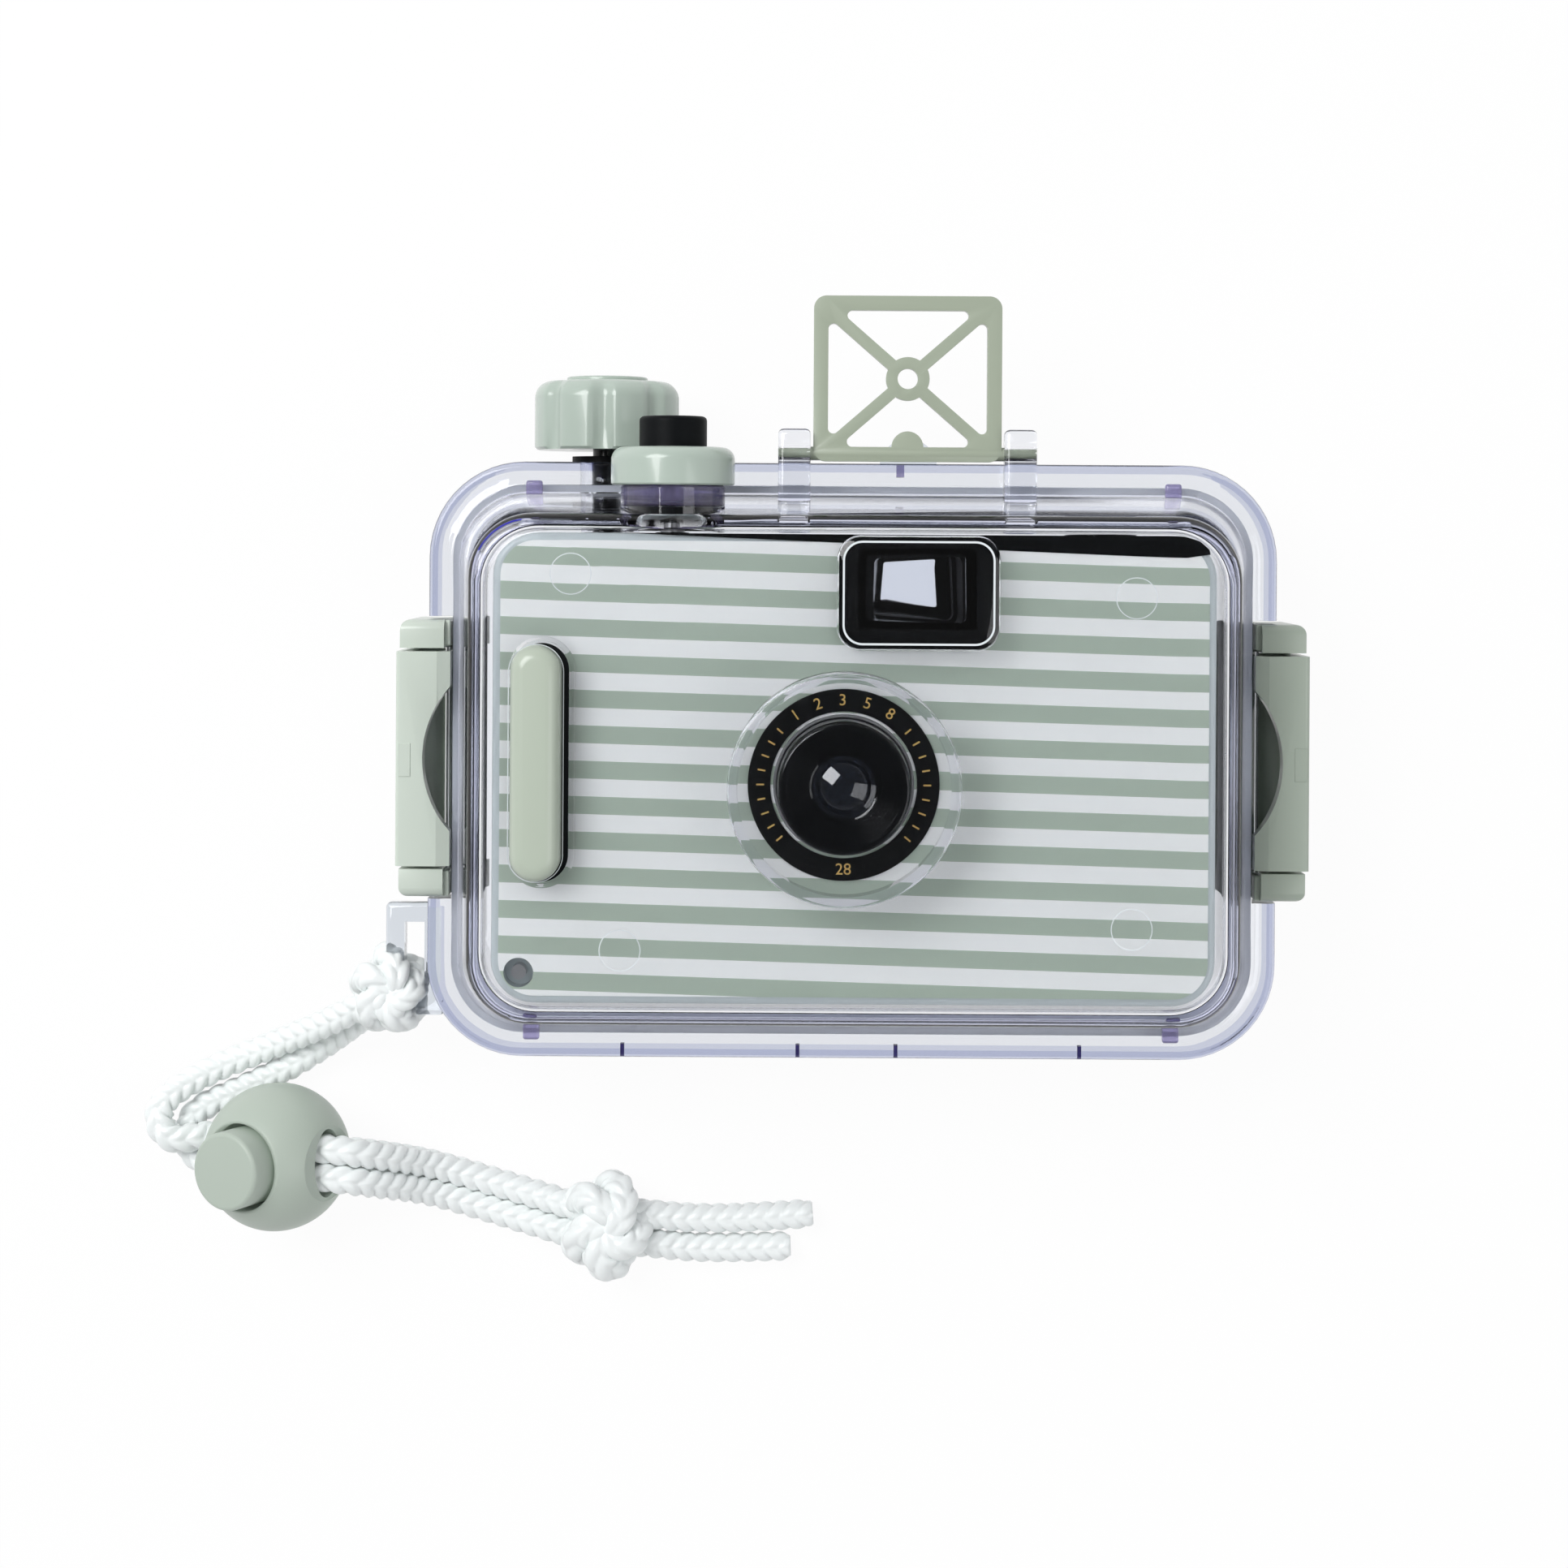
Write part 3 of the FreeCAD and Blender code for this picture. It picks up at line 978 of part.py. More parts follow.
def cross_bar(name, sign):
    """One diagonal bar of the frame, corner to corner."""
    wide = "(sight_width - sight_bar)"
    tall = "(sight_top - %s - sight_bar)" % SIGHT_BOTTOM
    length = "sqrt(%s * %s + %s * %s)" % (wide, wide, tall, tall)
    bar = doc.addObject("Part::Box", name + "_bar")
    bind(bar, Length=length, Width="sight_cross", Height="sight_thick")
    place(bar, "-(%s) / 2" % length, "-sight_cross / 2", "-sight_thick / 2")
    turn = doc.addObject("Part::Compound", name)
    turn.Links = [bar]
    turn.Placement = FreeCAD.Placement(V(0, 0, 0), FreeCAD.Rotation(V(0, 0, 1), 30))
    turn.setExpression("Placement.Rotation.Angle", bound("%d * atan(%s / %s)" % (sign, tall, wide)))
    return place(turn, "sight_x", "(sight_top + %s) / 2" % SIGHT_BOTTOM, "sight_level")


def sports_finder():
    """Folding frame with crossed bars, a middle ring, a finger tab and two pivots."""
    z = ("sight_level - sight_thick / 2", "sight_level + sight_thick / 2")
    middle = "(sight_top + %s) / 2" % SIGHT_BOTTOM
    tall = "(sight_top - %s)" % SIGHT_BOTTOM
    outline = plate("sight_outline", "sight_width", tall, "sight_corner", z, "sight_x", middle)
    window = plate("sight_window", "sight_width - 2 * sight_bar", tall + " - 2 * sight_bar",
                   "sight_corner / 2",
                   ("sight_level - sight_thick", "sight_level + sight_thick"), "sight_x", middle)
    ring = round_z("sight_ring_disc", "sight_ring", "sight_x", middle, z)
    tab = round_z("sight_tab_disc", "sight_tab", "sight_x", SIGHT_BOTTOM + " + sight_bar", z)
    whole = plate("sight_whole", "sight_width", tall, "sight_corner", z, "sight_x", middle)
    inside = common("sight_inside", fuse("sight_cross_all", cross_bar("sight_rising", 1),
                                         cross_bar("sight_falling", -1), ring, tab), whole)
    pivots = round_x("sight_pivots", "pivot_radius", "sight_hinge", "sight_level",
                     ("sight_x - sight_width / 2 - pivot_length",
                      "sight_x + sight_width / 2 + pivot_length"))
    frame = fuse("sight_joined", cut("sight_border", outline, window), inside)
    hole = round_z("sight_ring_hole", "sight_hole", "sight_x", middle,
                   ("sight_level - sight_thick", "sight_level + sight_thick"))
    corner = (size("sight_width") / 2 - size("sight_bar"), value(tall) / 2 - size("sight_bar"))
    at = (size("sight_x"), value(middle))

    def in_corner(edge):
        b = edge_box(edge)
        off = [corner[i] - abs((b[2 * i] + b[2 * i + 1]) / 2 - at[i]) for i in range(2)]
        return along(edge, 2) and all(-0.1 < o < 2 * size("sight_cross") for o in off)

    pierced = rounded("sight_softened", cut("sight_pierced", frame, hole), size("sight_soft"), in_corner)
    return finish("sports_finder_frame", fuse("sports_finder_frame", pierced, pivots))


# Latches


def sided(side, low, high):
    """Limits along X on the left (-1) or right (1) side, given outwards from the middle."""
    return (low, high) if side > 0 else ("-(%s)" % high, "-(%s)" % low)


def latch(name, side):
    """One latch: a bracket on the rear half, a steel pin and the clip that hooks over the flange."""
    y = ("latch_y - latch_length / 2", "latch_y + latch_length / 2")
    pivot = "%d * latch_pivot" % side
    outer = block(name + "_plate", sided(side, "latch_reach - latch_plate", "latch_reach"), y,
                  ("latch_pivot_level", HOOK_TOP))
    hook = block(name + "_hook", sided(side, "latch_hook", "latch_reach"), y, (HOOK_LOW, HOOK_TOP))
    corner = value(HOOK_TOP)
    body = fuse(name + "_angle", outer, hook)
    body = rounded(name + "_soft", body, size("latch_round"),
                   lambda e: along(e, 1) and near(e.BoundBox.ZMax, corner))
    barrel = round_y(name + "_barrel", "latch_barrel", pivot, "latch_pivot_level", y)
    ends = round_y(name + "_ends", "latch_end_radius", pivot, "latch_pivot_level",
                   (y[0] + " - latch_slit + latch_end_gap", y[1] + " + latch_slit - latch_end_gap"))
    bore = round_y(name + "_bore", "latch_pin_radius + shaft_play", pivot, "latch_pivot_level",
                   ("latch_y - latch_length", "latch_y + latch_length"))
    swing = "((thumb_chord * thumb_chord / 4 + thumb_depth * thumb_depth) / (2 * thumb_depth))"
    thumb = round_z(name + "_thumb", swing, "%d * (latch_hook + thumb_depth - %s)" % (side, swing),
                    "latch_y",
                    (HOOK_LOW + " - over", HOOK_TOP + " + over"))
    finish(name + "_latch_clip", cut(name + "_latch_clip", fuse(name + "_clip_solid", body, barrel, ends),
                                     bore, thumb))
    pieces = []
    for end in (-1, 1):
        near_y = "latch_y + %d * (latch_length / 2 + latch_slit)" % end
        far_y = "latch_y + %d * (latch_length / 2 + latch_slit + latch_cap)" % end
        span = (near_y, far_y) if end > 0 else (far_y, near_y)
        outer = block("%s_cap_%d" % (name, end + 1), sided(side, "latch_notch + bracket_play",
                                                           "latch_reach - bracket_inset"),
                      span, ("latch_pivot_level - bracket_drop", HOOK_TOP + " - bracket_short"))
        far = value(far_y)
        outer = rounded("%s_cap_soft_%d" % (name, end + 1), outer, size("bracket_round"),
                        lambda e, far=far: flat_at(e, 1, far)
                        and (along(e, 0) or along(e, 2) and abs(e.BoundBox.XMax) > size("latch_pivot")))
        foot = block("%s_foot_%d" % (name, end + 1),
                     sided(side, BACK_W + " / 2", "latch_notch + 2 * bracket_play"), span,
                     ("latch_pivot_level - bracket_drop", REAR_FLANGE))
        pieces += [outer, foot]
    half = "(latch_length / 2 + latch_slit + over)"
    pieces.append(block(name + "_strip", sided(side, BACK_W + " / 2", "latch_notch + bracket_play"),
                        ("latch_y - " + half, "latch_y + " + half),
                        ("latch_pivot_level - strip_low", "latch_pivot_level + strip_high")))
    pin_hole = round_y(name + "_pin_hole", "latch_pin_radius + press_play", pivot, "latch_pivot_level",
                       LATCH_PIN)
    finish(name + "_latch_bracket", cut(name + "_latch_bracket", fuse(name + "_bracket_solid", *pieces),
                                        rear_tray(name + "_seat"), pin_hole))
    finish(name + "_latch_pin", round_y(name + "_latch_pin", "latch_pin_radius", pivot, "latch_pivot_level",
                                        LATCH_PIN))


# Camera in the case


def eye_block(name, margin, z):
    """A box round the middle of the finder's eye, grown by a margin."""
    half_x = "(eye_width / 2 + %s)" % margin
    half_y = "(eye_height / 2 + %s)" % margin
    return block(name, (FINDER_EYE_X + " - " + half_x, FINDER_EYE_X + " + " + half_x),
                 (FINDER_EYE_Y + " - " + half_y, FINDER_EYE_Y + " + " + half_y), z)


def finder_opening(name, z):
    """The hole that the finder's tunnel stands in."""
    return plate(name, FINDER_OUT[0] + " + 2 * seat_play", FINDER_OUT[1] + " + 2 * seat_play",
                 "tunnel_corner + seat_play", z, *FINDER_AT)


def camera_shell():
    """Camera body with its chambers, back door, front cover, striped panel and lens ring."""
    block_z = (BODY_LOW, "cover_level")
    body = plate("body_block", "camera_width", "camera_height", "camera_corner", block_z)
    behind = BODY_LOW + " - over"
    hollows = [
        round_y("cassette_room", "cassette_radius + room_play", "cassette_x", "cassette_level",
                (CASSETTE_Y[0] + " - room_play", CASSETTE_Y[1] + " + room_play")),
        block("cassette_mouth", ("cassette_x - cassette_radius - room_play",
                                 "cassette_x + cassette_radius + room_play"),
              (CASSETTE_Y[0] + " - room_play", CASSETTE_Y[1] + " + room_play"), (behind, "cassette_level")),
        round_y("spool_chamber", "takeup_radius + spool_room", "wind_x", "wind_level",
                (SPOOL_LOW + " - pin_play", WHEEL_LOW)),
        block("spool_mouth", ("wind_x - takeup_radius - spool_room", "wind_x + takeup_radius + spool_room"),
              (SPOOL_LOW + " - pin_play", WHEEL_LOW), (behind, "wind_level")),
        round_y("sprocket_room", "sprocket_radius + tooth_room", "sprocket_x", "sprocket_level",
                ("lens_y - film_reach", "lens_y + film_reach")),
        block("sprocket_mouth", ("wind_x", "sprocket_x + sprocket_radius - tooth_room"),
              ("lens_y - film_reach", "lens_y + film_reach"), (behind, "sprocket_level")),
        block("film_channel", ("wind_x", "cassette_x"),
              ("lens_y - film_width / 2 - film_play", "lens_y + film_width / 2 + film_play"),
              (behind, "film_level + film_thick + plate_gap")),
        drafted("light_box", ("gate_width", "gate_height", "box_corner"),
                ("gate_width * box_narrow_x", "gate_height * box_narrow_y", "box_corner"),
                ("film_level", "cover_level - box_short"), "lens_x", "lens_y"),
        round_z("shutter_hole", "rear_lens_radius", "lens_x", "lens_y",
                ("cover_level - box_short - over", "cover_level + over")),
        drafted("finder_way", ("eye_width", "eye_height", "box_corner / 2"),
                (FINDER_OUT[0] + " - 2 * wall", FINDER_OUT[1] + " - 1.5 * wall", "box_corner"),
                (behind, "cover_level + press_play"), FINDER_EYE_X, FINDER_EYE_Y),
        round_y("wheel_chamber", "thumbwheel_radius + wheel_room", "wind_x", "wind_level",
                (WHEEL_LOW + " - room_play", WHEEL_TOP + " + room_play")),
        round_y("fork_way", "fork_radius + wheel_room", "wind_x", "wind_level",
                (WHEEL_TOP, CAMERA_TOP + " + over")),
        round_y("rewind_way", "rewind_stem + shaft_play", "cassette_x", "cassette_level",
                (CASSETTE_Y[1], CAMERA_TOP + " + over")),
        round_y("button_way", "button_radius + button_room", "shutter_x", "shutter_level",
                (BUTTON_FLOOR, CAMERA_TOP + " + over")),
        round_y("counter_room", "counter_radius + wheel_room", "counter_x", "counter_level",
                (CAMERA_TOP + " - counter_thick - counter_gap_below", CAMERA_TOP + " + over")),
        round_y("counter_axle_way", "counter_axle + shaft_play", "counter_x", "counter_level",
                (CAMERA_TOP + " - counter_thick - counter_axle_long - pin_play",
                 CAMERA_TOP + " - counter_thick")),
        round_y("spool_end_way", "spool_axle + shaft_play", "wind_x", "wind_level",
                ("lens_y - spool_pin_reach - pin_play", SPOOL_LOW + " + over")),
        round_y("sprocket_ends_way", "spool_axle + shaft_play", "sprocket_x", "sprocket_level",
                ("lens_y - axle_reach - pin_play", "lens_y + axle_reach + pin_play")),
        round_y("spool_low_way", "rewind_stem + wheel_room", "cassette_x", "cassette_level",
                (CASSETTE_Y[0] + " - stem_sink", CASSETTE_Y[0])),
    ]
    pin = round_z("blade_pin", "blade_pin_radius", "lens_x + blade_arm_x", "lens_y + blade_arm_y",
                  ("cover_level - over", "cover_level + blade_gap + blade_thick + blade_pin_over"))
    finish("camera_body", fuse("camera_body", cut("body_hollowed", body, *hollows), pin))
    door = plate("door_plate", "camera_width", "camera_height", "camera_corner", ("camera_back", BODY_LOW))
    eye = eye_block("door_eye", "0", ("camera_back - over", BODY_LOW + " + over"))
    eye_seat = eye_block("door_eye_seat", "eye_lens_margin + 2 * seat_play",
                         (BODY_LOW + " - eye_lens_thick", BODY_LOW + " + over"))
    wheel = round_y("door_wheel", "thumbwheel_radius + wheel_room", "wind_x", "wind_level",
                    (WHEEL_LOW + " - room_play", WHEEL_TOP + " + room_play"))
    finish("camera_back_door", cut("camera_back_door", door, eye, eye_seat, wheel))
    cover = plate("cover_block", "camera_width", "camera_height", "camera_corner",
                  ("cover_level", "camera_front"))
    cover = rounded("cover_soft", cover, size("cover_round"), lambda e: flat_at(e, 2, size("camera_front")))
    through = ("cover_level - over", "camera_front + over")
    room = plate("cover_room", "camera_width - 2 * cover_wall", "camera_height - 2 * cover_wall",
                 "camera_corner - cover_wall", ("cover_level - over", "camera_front - cover_face"))
    lens_way = round_z("cover_lens_way", "barrel_radius + 2 * press_play", "lens_x", "lens_y", through)
    finder_way = finder_opening("cover_finder_way", through)
    pin_floor = "(camera_front - strap_pin_sink - strap_pin_long)"
    pin_way = round_z("cover_pin_way", "strap_pin_room", STRAP_PIN[0], STRAP_PIN[1],
                      (pin_floor, "camera_front + over"))
    pin_post = round_z("cover_pin_post", "strap_post", STRAP_PIN[0], STRAP_PIN[1],
                       ("cover_level", "camera_front - cover_face / 2"))
    button = round_y("cover_button_way", "button_radius + button_room", "shutter_x", "shutter_level",
                     (BUTTON_FLOOR, CAMERA_TOP + " + over"))
    hollow_cover = fuse("cover_with_post", cut("cover_hollow", cover, room), pin_post)
    finish("front_cover", cut("front_cover", hollow_cover, lens_way, finder_way, pin_way, button))
    inset = "(panel_margin + panel_step)"
    panel = plate("panel_sheet", "camera_width - 2 * " + inset, "camera_height - 2 * " + inset,
                  "camera_corner - " + inset, ("camera_front", PANEL_FACE))
    through = ("camera_front - over", "camera_front + over")
    lens_hole = round_z("panel_lens_hole", "barrel_radius + 2 * seat_play", "lens_x", "lens_y", through)
    finder_hole = finder_opening("panel_finder_hole", through)
    pin_hole = round_z("panel_pin_hole", "strap_pin_room", STRAP_PIN[0], STRAP_PIN[1], through)
    finish("striped_panel", cut("striped_panel", panel, lens_hole, finder_hole, pin_hole))
    ring = round_z("lens_ring_disc", "ring_outer", "lens_x", "lens_y",
                   (PANEL_FACE, PANEL_FACE + " + ring_thick"))
    ring_hole = round_z("lens_ring_hole", "ring_inner", "lens_x", "lens_y",
                        ("camera_front", PANEL_FACE + " + over"))
    finish("lens_ring", cut("lens_ring", ring, ring_hole))
    finish("strap_pin", round_z("strap_pin", "strap_pin_radius", STRAP_PIN[0], STRAP_PIN[1],
                                (pin_floor, "camera_front - strap_pin_sink")))


def finder_optics():
    """Black stepped tunnel of the camera's finder with a front and a rear lens."""
    inside = "(%s - 2 * tunnel_rim)"
    corner = "(tunnel_corner - tunnel_rim / 2)"
    floor = "(camera_front - over)"
    frame = plate("tunnel_block", *FINDER_OUT, "tunnel_corner",
                  ("cover_level", PANEL_FACE + " + tunnel_rise"),
                  *FINDER_AT)
    seat = plate("tunnel_seat", inside % FINDER_OUT[0], inside % FINDER_OUT[1], corner,
                 (floor, "camera_front + 2 * over"), *FINDER_AT)
    way = plate("tunnel_way", inside % FINDER_OUT[0] + " - 2 * tunnel_ledge_x",
                inside % FINDER_OUT[1] + " - 2 * tunnel_ledge_y", corner,
                ("cover_level - over", "camera_front + over"), *FINDER_AT)
    bezel = plate("tunnel_bezel", "finder_width - 2 * bezel_inset", "finder_height - 2 * bezel_inset",
                  "finder_corner - bezel_inset", (PANEL_FACE, PANEL_FACE + " + bezel_thick"),
                  "finder_x", "finder_y")
    view = plate("tunnel_view", inside % FINDER_OUT[0], inside % FINDER_OUT[1], corner,
                 (PANEL_FACE + " - over", PANEL_FACE + " + bezel_thick + over"), *FINDER_AT)
    finish("finder_tunnel", cut("finder_tunnel", fuse("tunnel_with_bezel", frame, bezel), seat, way, view))
    finish("finder_front_lens", plate("finder_front_lens", inside % FINDER_OUT[0] + " - 2 * seat_play",
                                      inside % FINDER_OUT[1] + " - 2 * seat_play", corner,
                                      (floor, "camera_front + finder_lens_rise"), *FINDER_AT))
    finish("finder_rear_lens", eye_block("finder_rear_lens", "eye_lens_margin",
                                         (BODY_LOW + " - eye_lens_thick", BODY_LOW)))


def lens():
    """Lens barrel with front and rear lens, the stop between them and the shutter blade behind."""
    barrel = round_z("barrel_body", "barrel_radius", "lens_x", "lens_y", (BARREL_LOW, "barrel_level"))
    barrel = rounded("barrel_soft", barrel, size("barrel_round"),
                     lambda e: flat_at(e, 2, size("barrel_level")))
    funnel = doc.addObject("Part::Cone", "barrel_funnel")
    seat_top = "(%s + lens_seat_depth)" % LENS_SEAT
    bind(funnel, Radius1="lens_radius + room_play", Radius2="barrel_radius - barrel_lip",
         Height="barrel_level - %s" % seat_top)
    place(funnel, "lens_x", "lens_y", seat_top + " + press_play")
    front_seat = round_z("front_lens_seat", "lens_radius + glass_play", "lens_x", "lens_y",
                         (LENS_SEAT, seat_top + " + 2 * press_play"))
    way = round_z("barrel_way", "rear_lens_radius - rear_lens_ledge", "lens_x", "lens_y",
                  (BARREL_LOW + " - over", LENS_SEAT + " + over"))
    rear_seat = round_z("rear_lens_seat", "rear_lens_radius + glass_play", "lens_x", "lens_y",
                        (BARREL_LOW + " - over", BARREL_LOW + " + rear_lens_thick"))
    stop_seat = round_z("stop_seat", "rear_lens_radius - stop_less + glass_play", "lens_x", "lens_y",
                        STOP_LEVEL)
    finish("lens_barrel", cut("lens_barrel", barrel, funnel, front_seat, way, rear_seat, stop_seat))
    ball = doc.addObject("Part::Sphere", "front_dome")
    bind(ball, Radius="lens_radius * 1.4")
    place(ball, "lens_x", "lens_y", LENS_SEAT + " + lens_thick - lens_radius * 1.4")
    rod = round_z("front_lens_rod", "lens_radius", "lens_x", "lens_y",
                  (LENS_SEAT, LENS_SEAT + " + 2 * lens_thick"))
    finish("front_lens", common("front_lens", rod, ball))
    ball = doc.addObject("Part::Sphere", "rear_dome")
    bind(ball, Radius="rear_lens_radius * 2")
    place(ball, "lens_x", "lens_y", BARREL_LOW + " + rear_lens_bow + rear_lens_radius * 2")
    rod = round_z("rear_lens_rod", "rear_lens_radius", "lens_x", "lens_y",
                  (BARREL_LOW, BARREL_LOW + " + rear_lens_thick"))
    finish("rear_lens", common("rear_lens", rod, ball))
    disc = round_z("stop_disc", "rear_lens_radius - stop_less", "lens_x", "lens_y", STOP_LEVEL)
    hole = round_z("stop_hole", "stop_radius", "lens_x", "lens_y",
                   (STOP_LEVEL[0] + " - over", STOP_LEVEL[1] + " + over"))
    finish("lens_stop", cut("lens_stop", disc, hole))
    z = ("cover_level + blade_gap", "cover_level + blade_gap + blade_thick")
    flap = round_z("blade_flap", "rear_lens_radius + blade_cover", "lens_x", "lens_y", z)
    hub = round_z("blade_hub_disc", "blade_pin_radius + blade_hub", "lens_x + blade_arm_x",
                  "lens_y + blade_arm_y", z)
    arm = doc.addObject("Part::Box", "blade_arm_bar")
    reach = "sqrt(blade_arm_x * blade_arm_x + blade_arm_y * blade_arm_y)"
    bind(arm, Length=reach, Width="blade_arm", Height="blade_thick")
    place(arm, "0", "-blade_arm / 2", z[0])
    turn = doc.addObject("Part::Compound", "blade_arm_turned")
    turn.Links = [arm]
    turn.Placement = FreeCAD.Placement(V(0, 0, 0), FreeCAD.Rotation(V(0, 0, 1), 30))
    turn.setExpression("Placement.Rotation.Angle", bound("atan2(blade_arm_y; blade_arm_x)"))
    place(turn, "lens_x", "lens_y", "0")
    hole = round_z("blade_hole", "blade_pin_radius + shaft_play", "lens_x + blade_arm_x",
                   "lens_y + blade_arm_y",
                   ("cover_level", "cover_level + 2 * over"))
    finish("shutter_blade", cut("shutter_blade", fuse("blade_solid", flap, hub, turn), hole))


# Film path


def teeth(name, y):
    """One toothed wheel of the sprocket."""
    wheel = round_y(name + "_wheel", "sprocket_radius", "sprocket_x", "sprocket_level",
                    (y + " - tooth_wheel / 2", y + " + tooth_wheel / 2"))
    parts = [wheel]
    for i in range(4):
        bar = doc.addObject("Part::Box", "%s_teeth_%d" % (name, i))
        bind(bar, Length="2 * (sprocket_radius + tooth_rise)", Width="tooth_wide", Height="tooth_thick")
        place(bar, "-sprocket_radius - tooth_rise", "-tooth_wide / 2", "-tooth_thick / 2")
        turn = doc.addObject("Part::Compound", "%s_spoke_%d" % (name, i))
        turn.Links = [bar]
        turn.Placement = FreeCAD.Placement(V(0, 0, 0), FreeCAD.Rotation(V(0, 1, 0), 45.0 * i + 22.5))
        parts.append(place(turn, "sprocket_x", y, "sprocket_level"))
    return parts


def film_path():
    """Cassette, its spool and rewind knob, film, sprocket, take-up spool, thumbwheel and pressure plate."""
    shell = round_y("cassette_shell", "cassette_radius", "cassette_x", "cassette_level", CASSETTE_Y)
    room = round_y("cassette_inside", "cassette_radius - cassette_skin", "cassette_x", "cassette_level",
                   (CASSETTE_Y[0] + " + cassette_lip", CASSETTE_Y[1] + " - cassette_lip"))
    ends = round_y("cassette_ends", "cassette_spool + spool_play", "cassette_x", "cassette_level",
                   (CASSETTE_Y[0] + " - over", CASSETTE_Y[1] + " + over"))
    finish("film_cassette", cut("film_cassette", shell, room, ends))
    spool = round_y("cassette_core", "cassette_spool", "cassette_x", "cassette_level",
                    (CASSETTE_Y[0] + " + spool_play", CASSETTE_Y[1] + " - spool_play"))
    socket = round_y("cassette_socket", "rewind_stem + stem_room", "cassette_x", "cassette_level",
                     (CASSETTE_Y[1] + " - stem_sink - over", CASSETTE_Y[1] + " + over"))
    finish("cassette_spool", cut("cassette_spool", spool, socket))
    low = "(%s + rewind_gap)" % CAMERA_TOP
    top = "(%s + rewind_rise)" % low
    knob = round_y("rewind_disc", "rewind_radius", "cassette_x", "cassette_level", (low, top))
    stem = round_y("rewind_stem_rod", "rewind_stem", "cassette_x", "cassette_level",
                   (CASSETTE_Y[1] + " - stem_sink", low + " + spool_play"))
    groove = block("rewind_groove", ("cassette_x - rewind_radius", "cassette_x + rewind_radius"),
                   (top + " - rewind_slot_deep", top + " + over"),
                   ("cassette_level - rewind_slot / 2", "cassette_level + rewind_slot / 2"))
    finish("rewind_knob", cut("rewind_knob", fuse("rewind_solid", knob, stem), groove))
    finish("film_strip", block("film_strip",
                               ("wind_x + takeup_radius - film_tuck", "cassette_x - film_start"),
                               ("lens_y - film_width / 2", "lens_y + film_width / 2"),
                               ("film_level", "film_level + film_thick")))
    axle = round_y("sprocket_axle", "spool_axle", "sprocket_x", "sprocket_level",
                   ("lens_y - axle_reach", "lens_y + axle_reach"))
    finish("sprocket_roller", fuse("sprocket_roller", axle, *teeth("lower", "(lens_y - tooth_reach)"),
                                   *teeth("upper", "(lens_y + tooth_reach)")))
    core = round_y("takeup_core", "takeup_radius", "wind_x", "wind_level", (SPOOL_LOW, WHEEL_LOW))
    pin = round_y("takeup_pin", "spool_axle", "wind_x", "wind_level",
                  ("lens_y - spool_pin_reach", SPOOL_LOW + " + over"))
    slit = block("takeup_slit", ("wind_x - takeup_radius - over", "wind_x"),
                 ("lens_y - film_reach", "lens_y + film_reach"),
                 ("wind_level - film_slit / 2", "wind_level + film_slit / 2"))
    finish("take_up_spool", cut("take_up_spool", fuse("takeup_solid", core, pin), slit))
    disc = round_y("wheel_disc", "thumbwheel_radius", "wind_x", "wind_level", (WHEEL_LOW, WHEEL_TOP))
    hub = round_y("wheel_hub", "fork_radius - hub_less", "wind_x", "wind_level",
                  (WHEEL_LOW, FORK_BOTTOM + " - fork_play"))
    tongue = block("wheel_tongue", ("wind_x - tongue_thick / 2", "wind_x + tongue_thick / 2"),
                   (WHEEL_LOW, FORK_TOP + " - tongue_short"),
                   ("wind_level - tongue_width / 2", "wind_level + tongue_width / 2"))
    grooves = []
    reach = "(thumbwheel_radius + wheel_groove_out)"
    for i in range(int(size("wheel_grooves"))):
        angle = 360.0 / size("wheel_grooves") * i
        grooves.append(round_y("wheel_groove_%d" % i, "wheel_groove",
                               "wind_x + %s * cos(%.1f deg)" % (reach, angle),
                               "wind_level + %s * sin(%.1f deg)" % (reach, angle),
                               (WHEEL_LOW + " - over", WHEEL_TOP + " + over")))
    finish("thumbwheel", fuse("thumbwheel", cut("wheel_ribbed", disc, *grooves), hub, tongue))
    plate_low = "film_level - plate_gap - plate_thick"
    finish("pressure_plate", block("pressure_plate",
                                   ("lens_x - plate_width / 2", "lens_x + plate_width / 2"),
                                   ("lens_y - plate_height / 2", "lens_y + plate_height / 2"),
                                   (plate_low, "film_level - plate_gap")))
    wide = ("lens_y - leaf_width / 2", "lens_y + leaf_width / 2")
    ends = ("(lens_x - leaf_length / 2)", "(lens_x + leaf_length / 2)")
    strip = block("spring_strip", ends, wide, (BODY_LOW + " + leaf_thick", BODY_LOW + " + 2 * leaf_thick"))
    feet = [block("spring_foot_0", (ends[0], ends[0] + " + leaf_foot"), wide,
                  (BODY_LOW + " + leaf_thick", plate_low)),
            block("spring_foot_1", (ends[1] + " - leaf_foot", ends[1]), wide,
                  (BODY_LOW + " + leaf_thick", plate_low))]
    middle = block("spring_middle", ("lens_x - leaf_root / 2", "lens_x + leaf_root / 2"), wide,
                   (BODY_LOW, BODY_LOW + " + 2 * leaf_thick"))
    finish("plate_spring", fuse("plate_spring", strip, middle, *feet))
    dial = round_y("dial_disc", "counter_radius", "counter_x", "counter_level",
                   (CAMERA_TOP + " - counter_thick", CAMERA_TOP))
    axle = round_y("dial_axle", "counter_axle", "counter_x", "counter_level",
                   (CAMERA_TOP + " - counter_thick - counter_axle_long",
                    CAMERA_TOP + " - counter_thick / 2"))
    finish("counter_dial", fuse("counter_dial", dial, axle))
    finish("camera_button", round_y("camera_button", "button_radius", "shutter_x", "shutter_level",
                                    (BUTTON_TOP + " - button_height", BUTTON_TOP)))


# Cord lock: built round its own middle with X along the cord and Z along the button


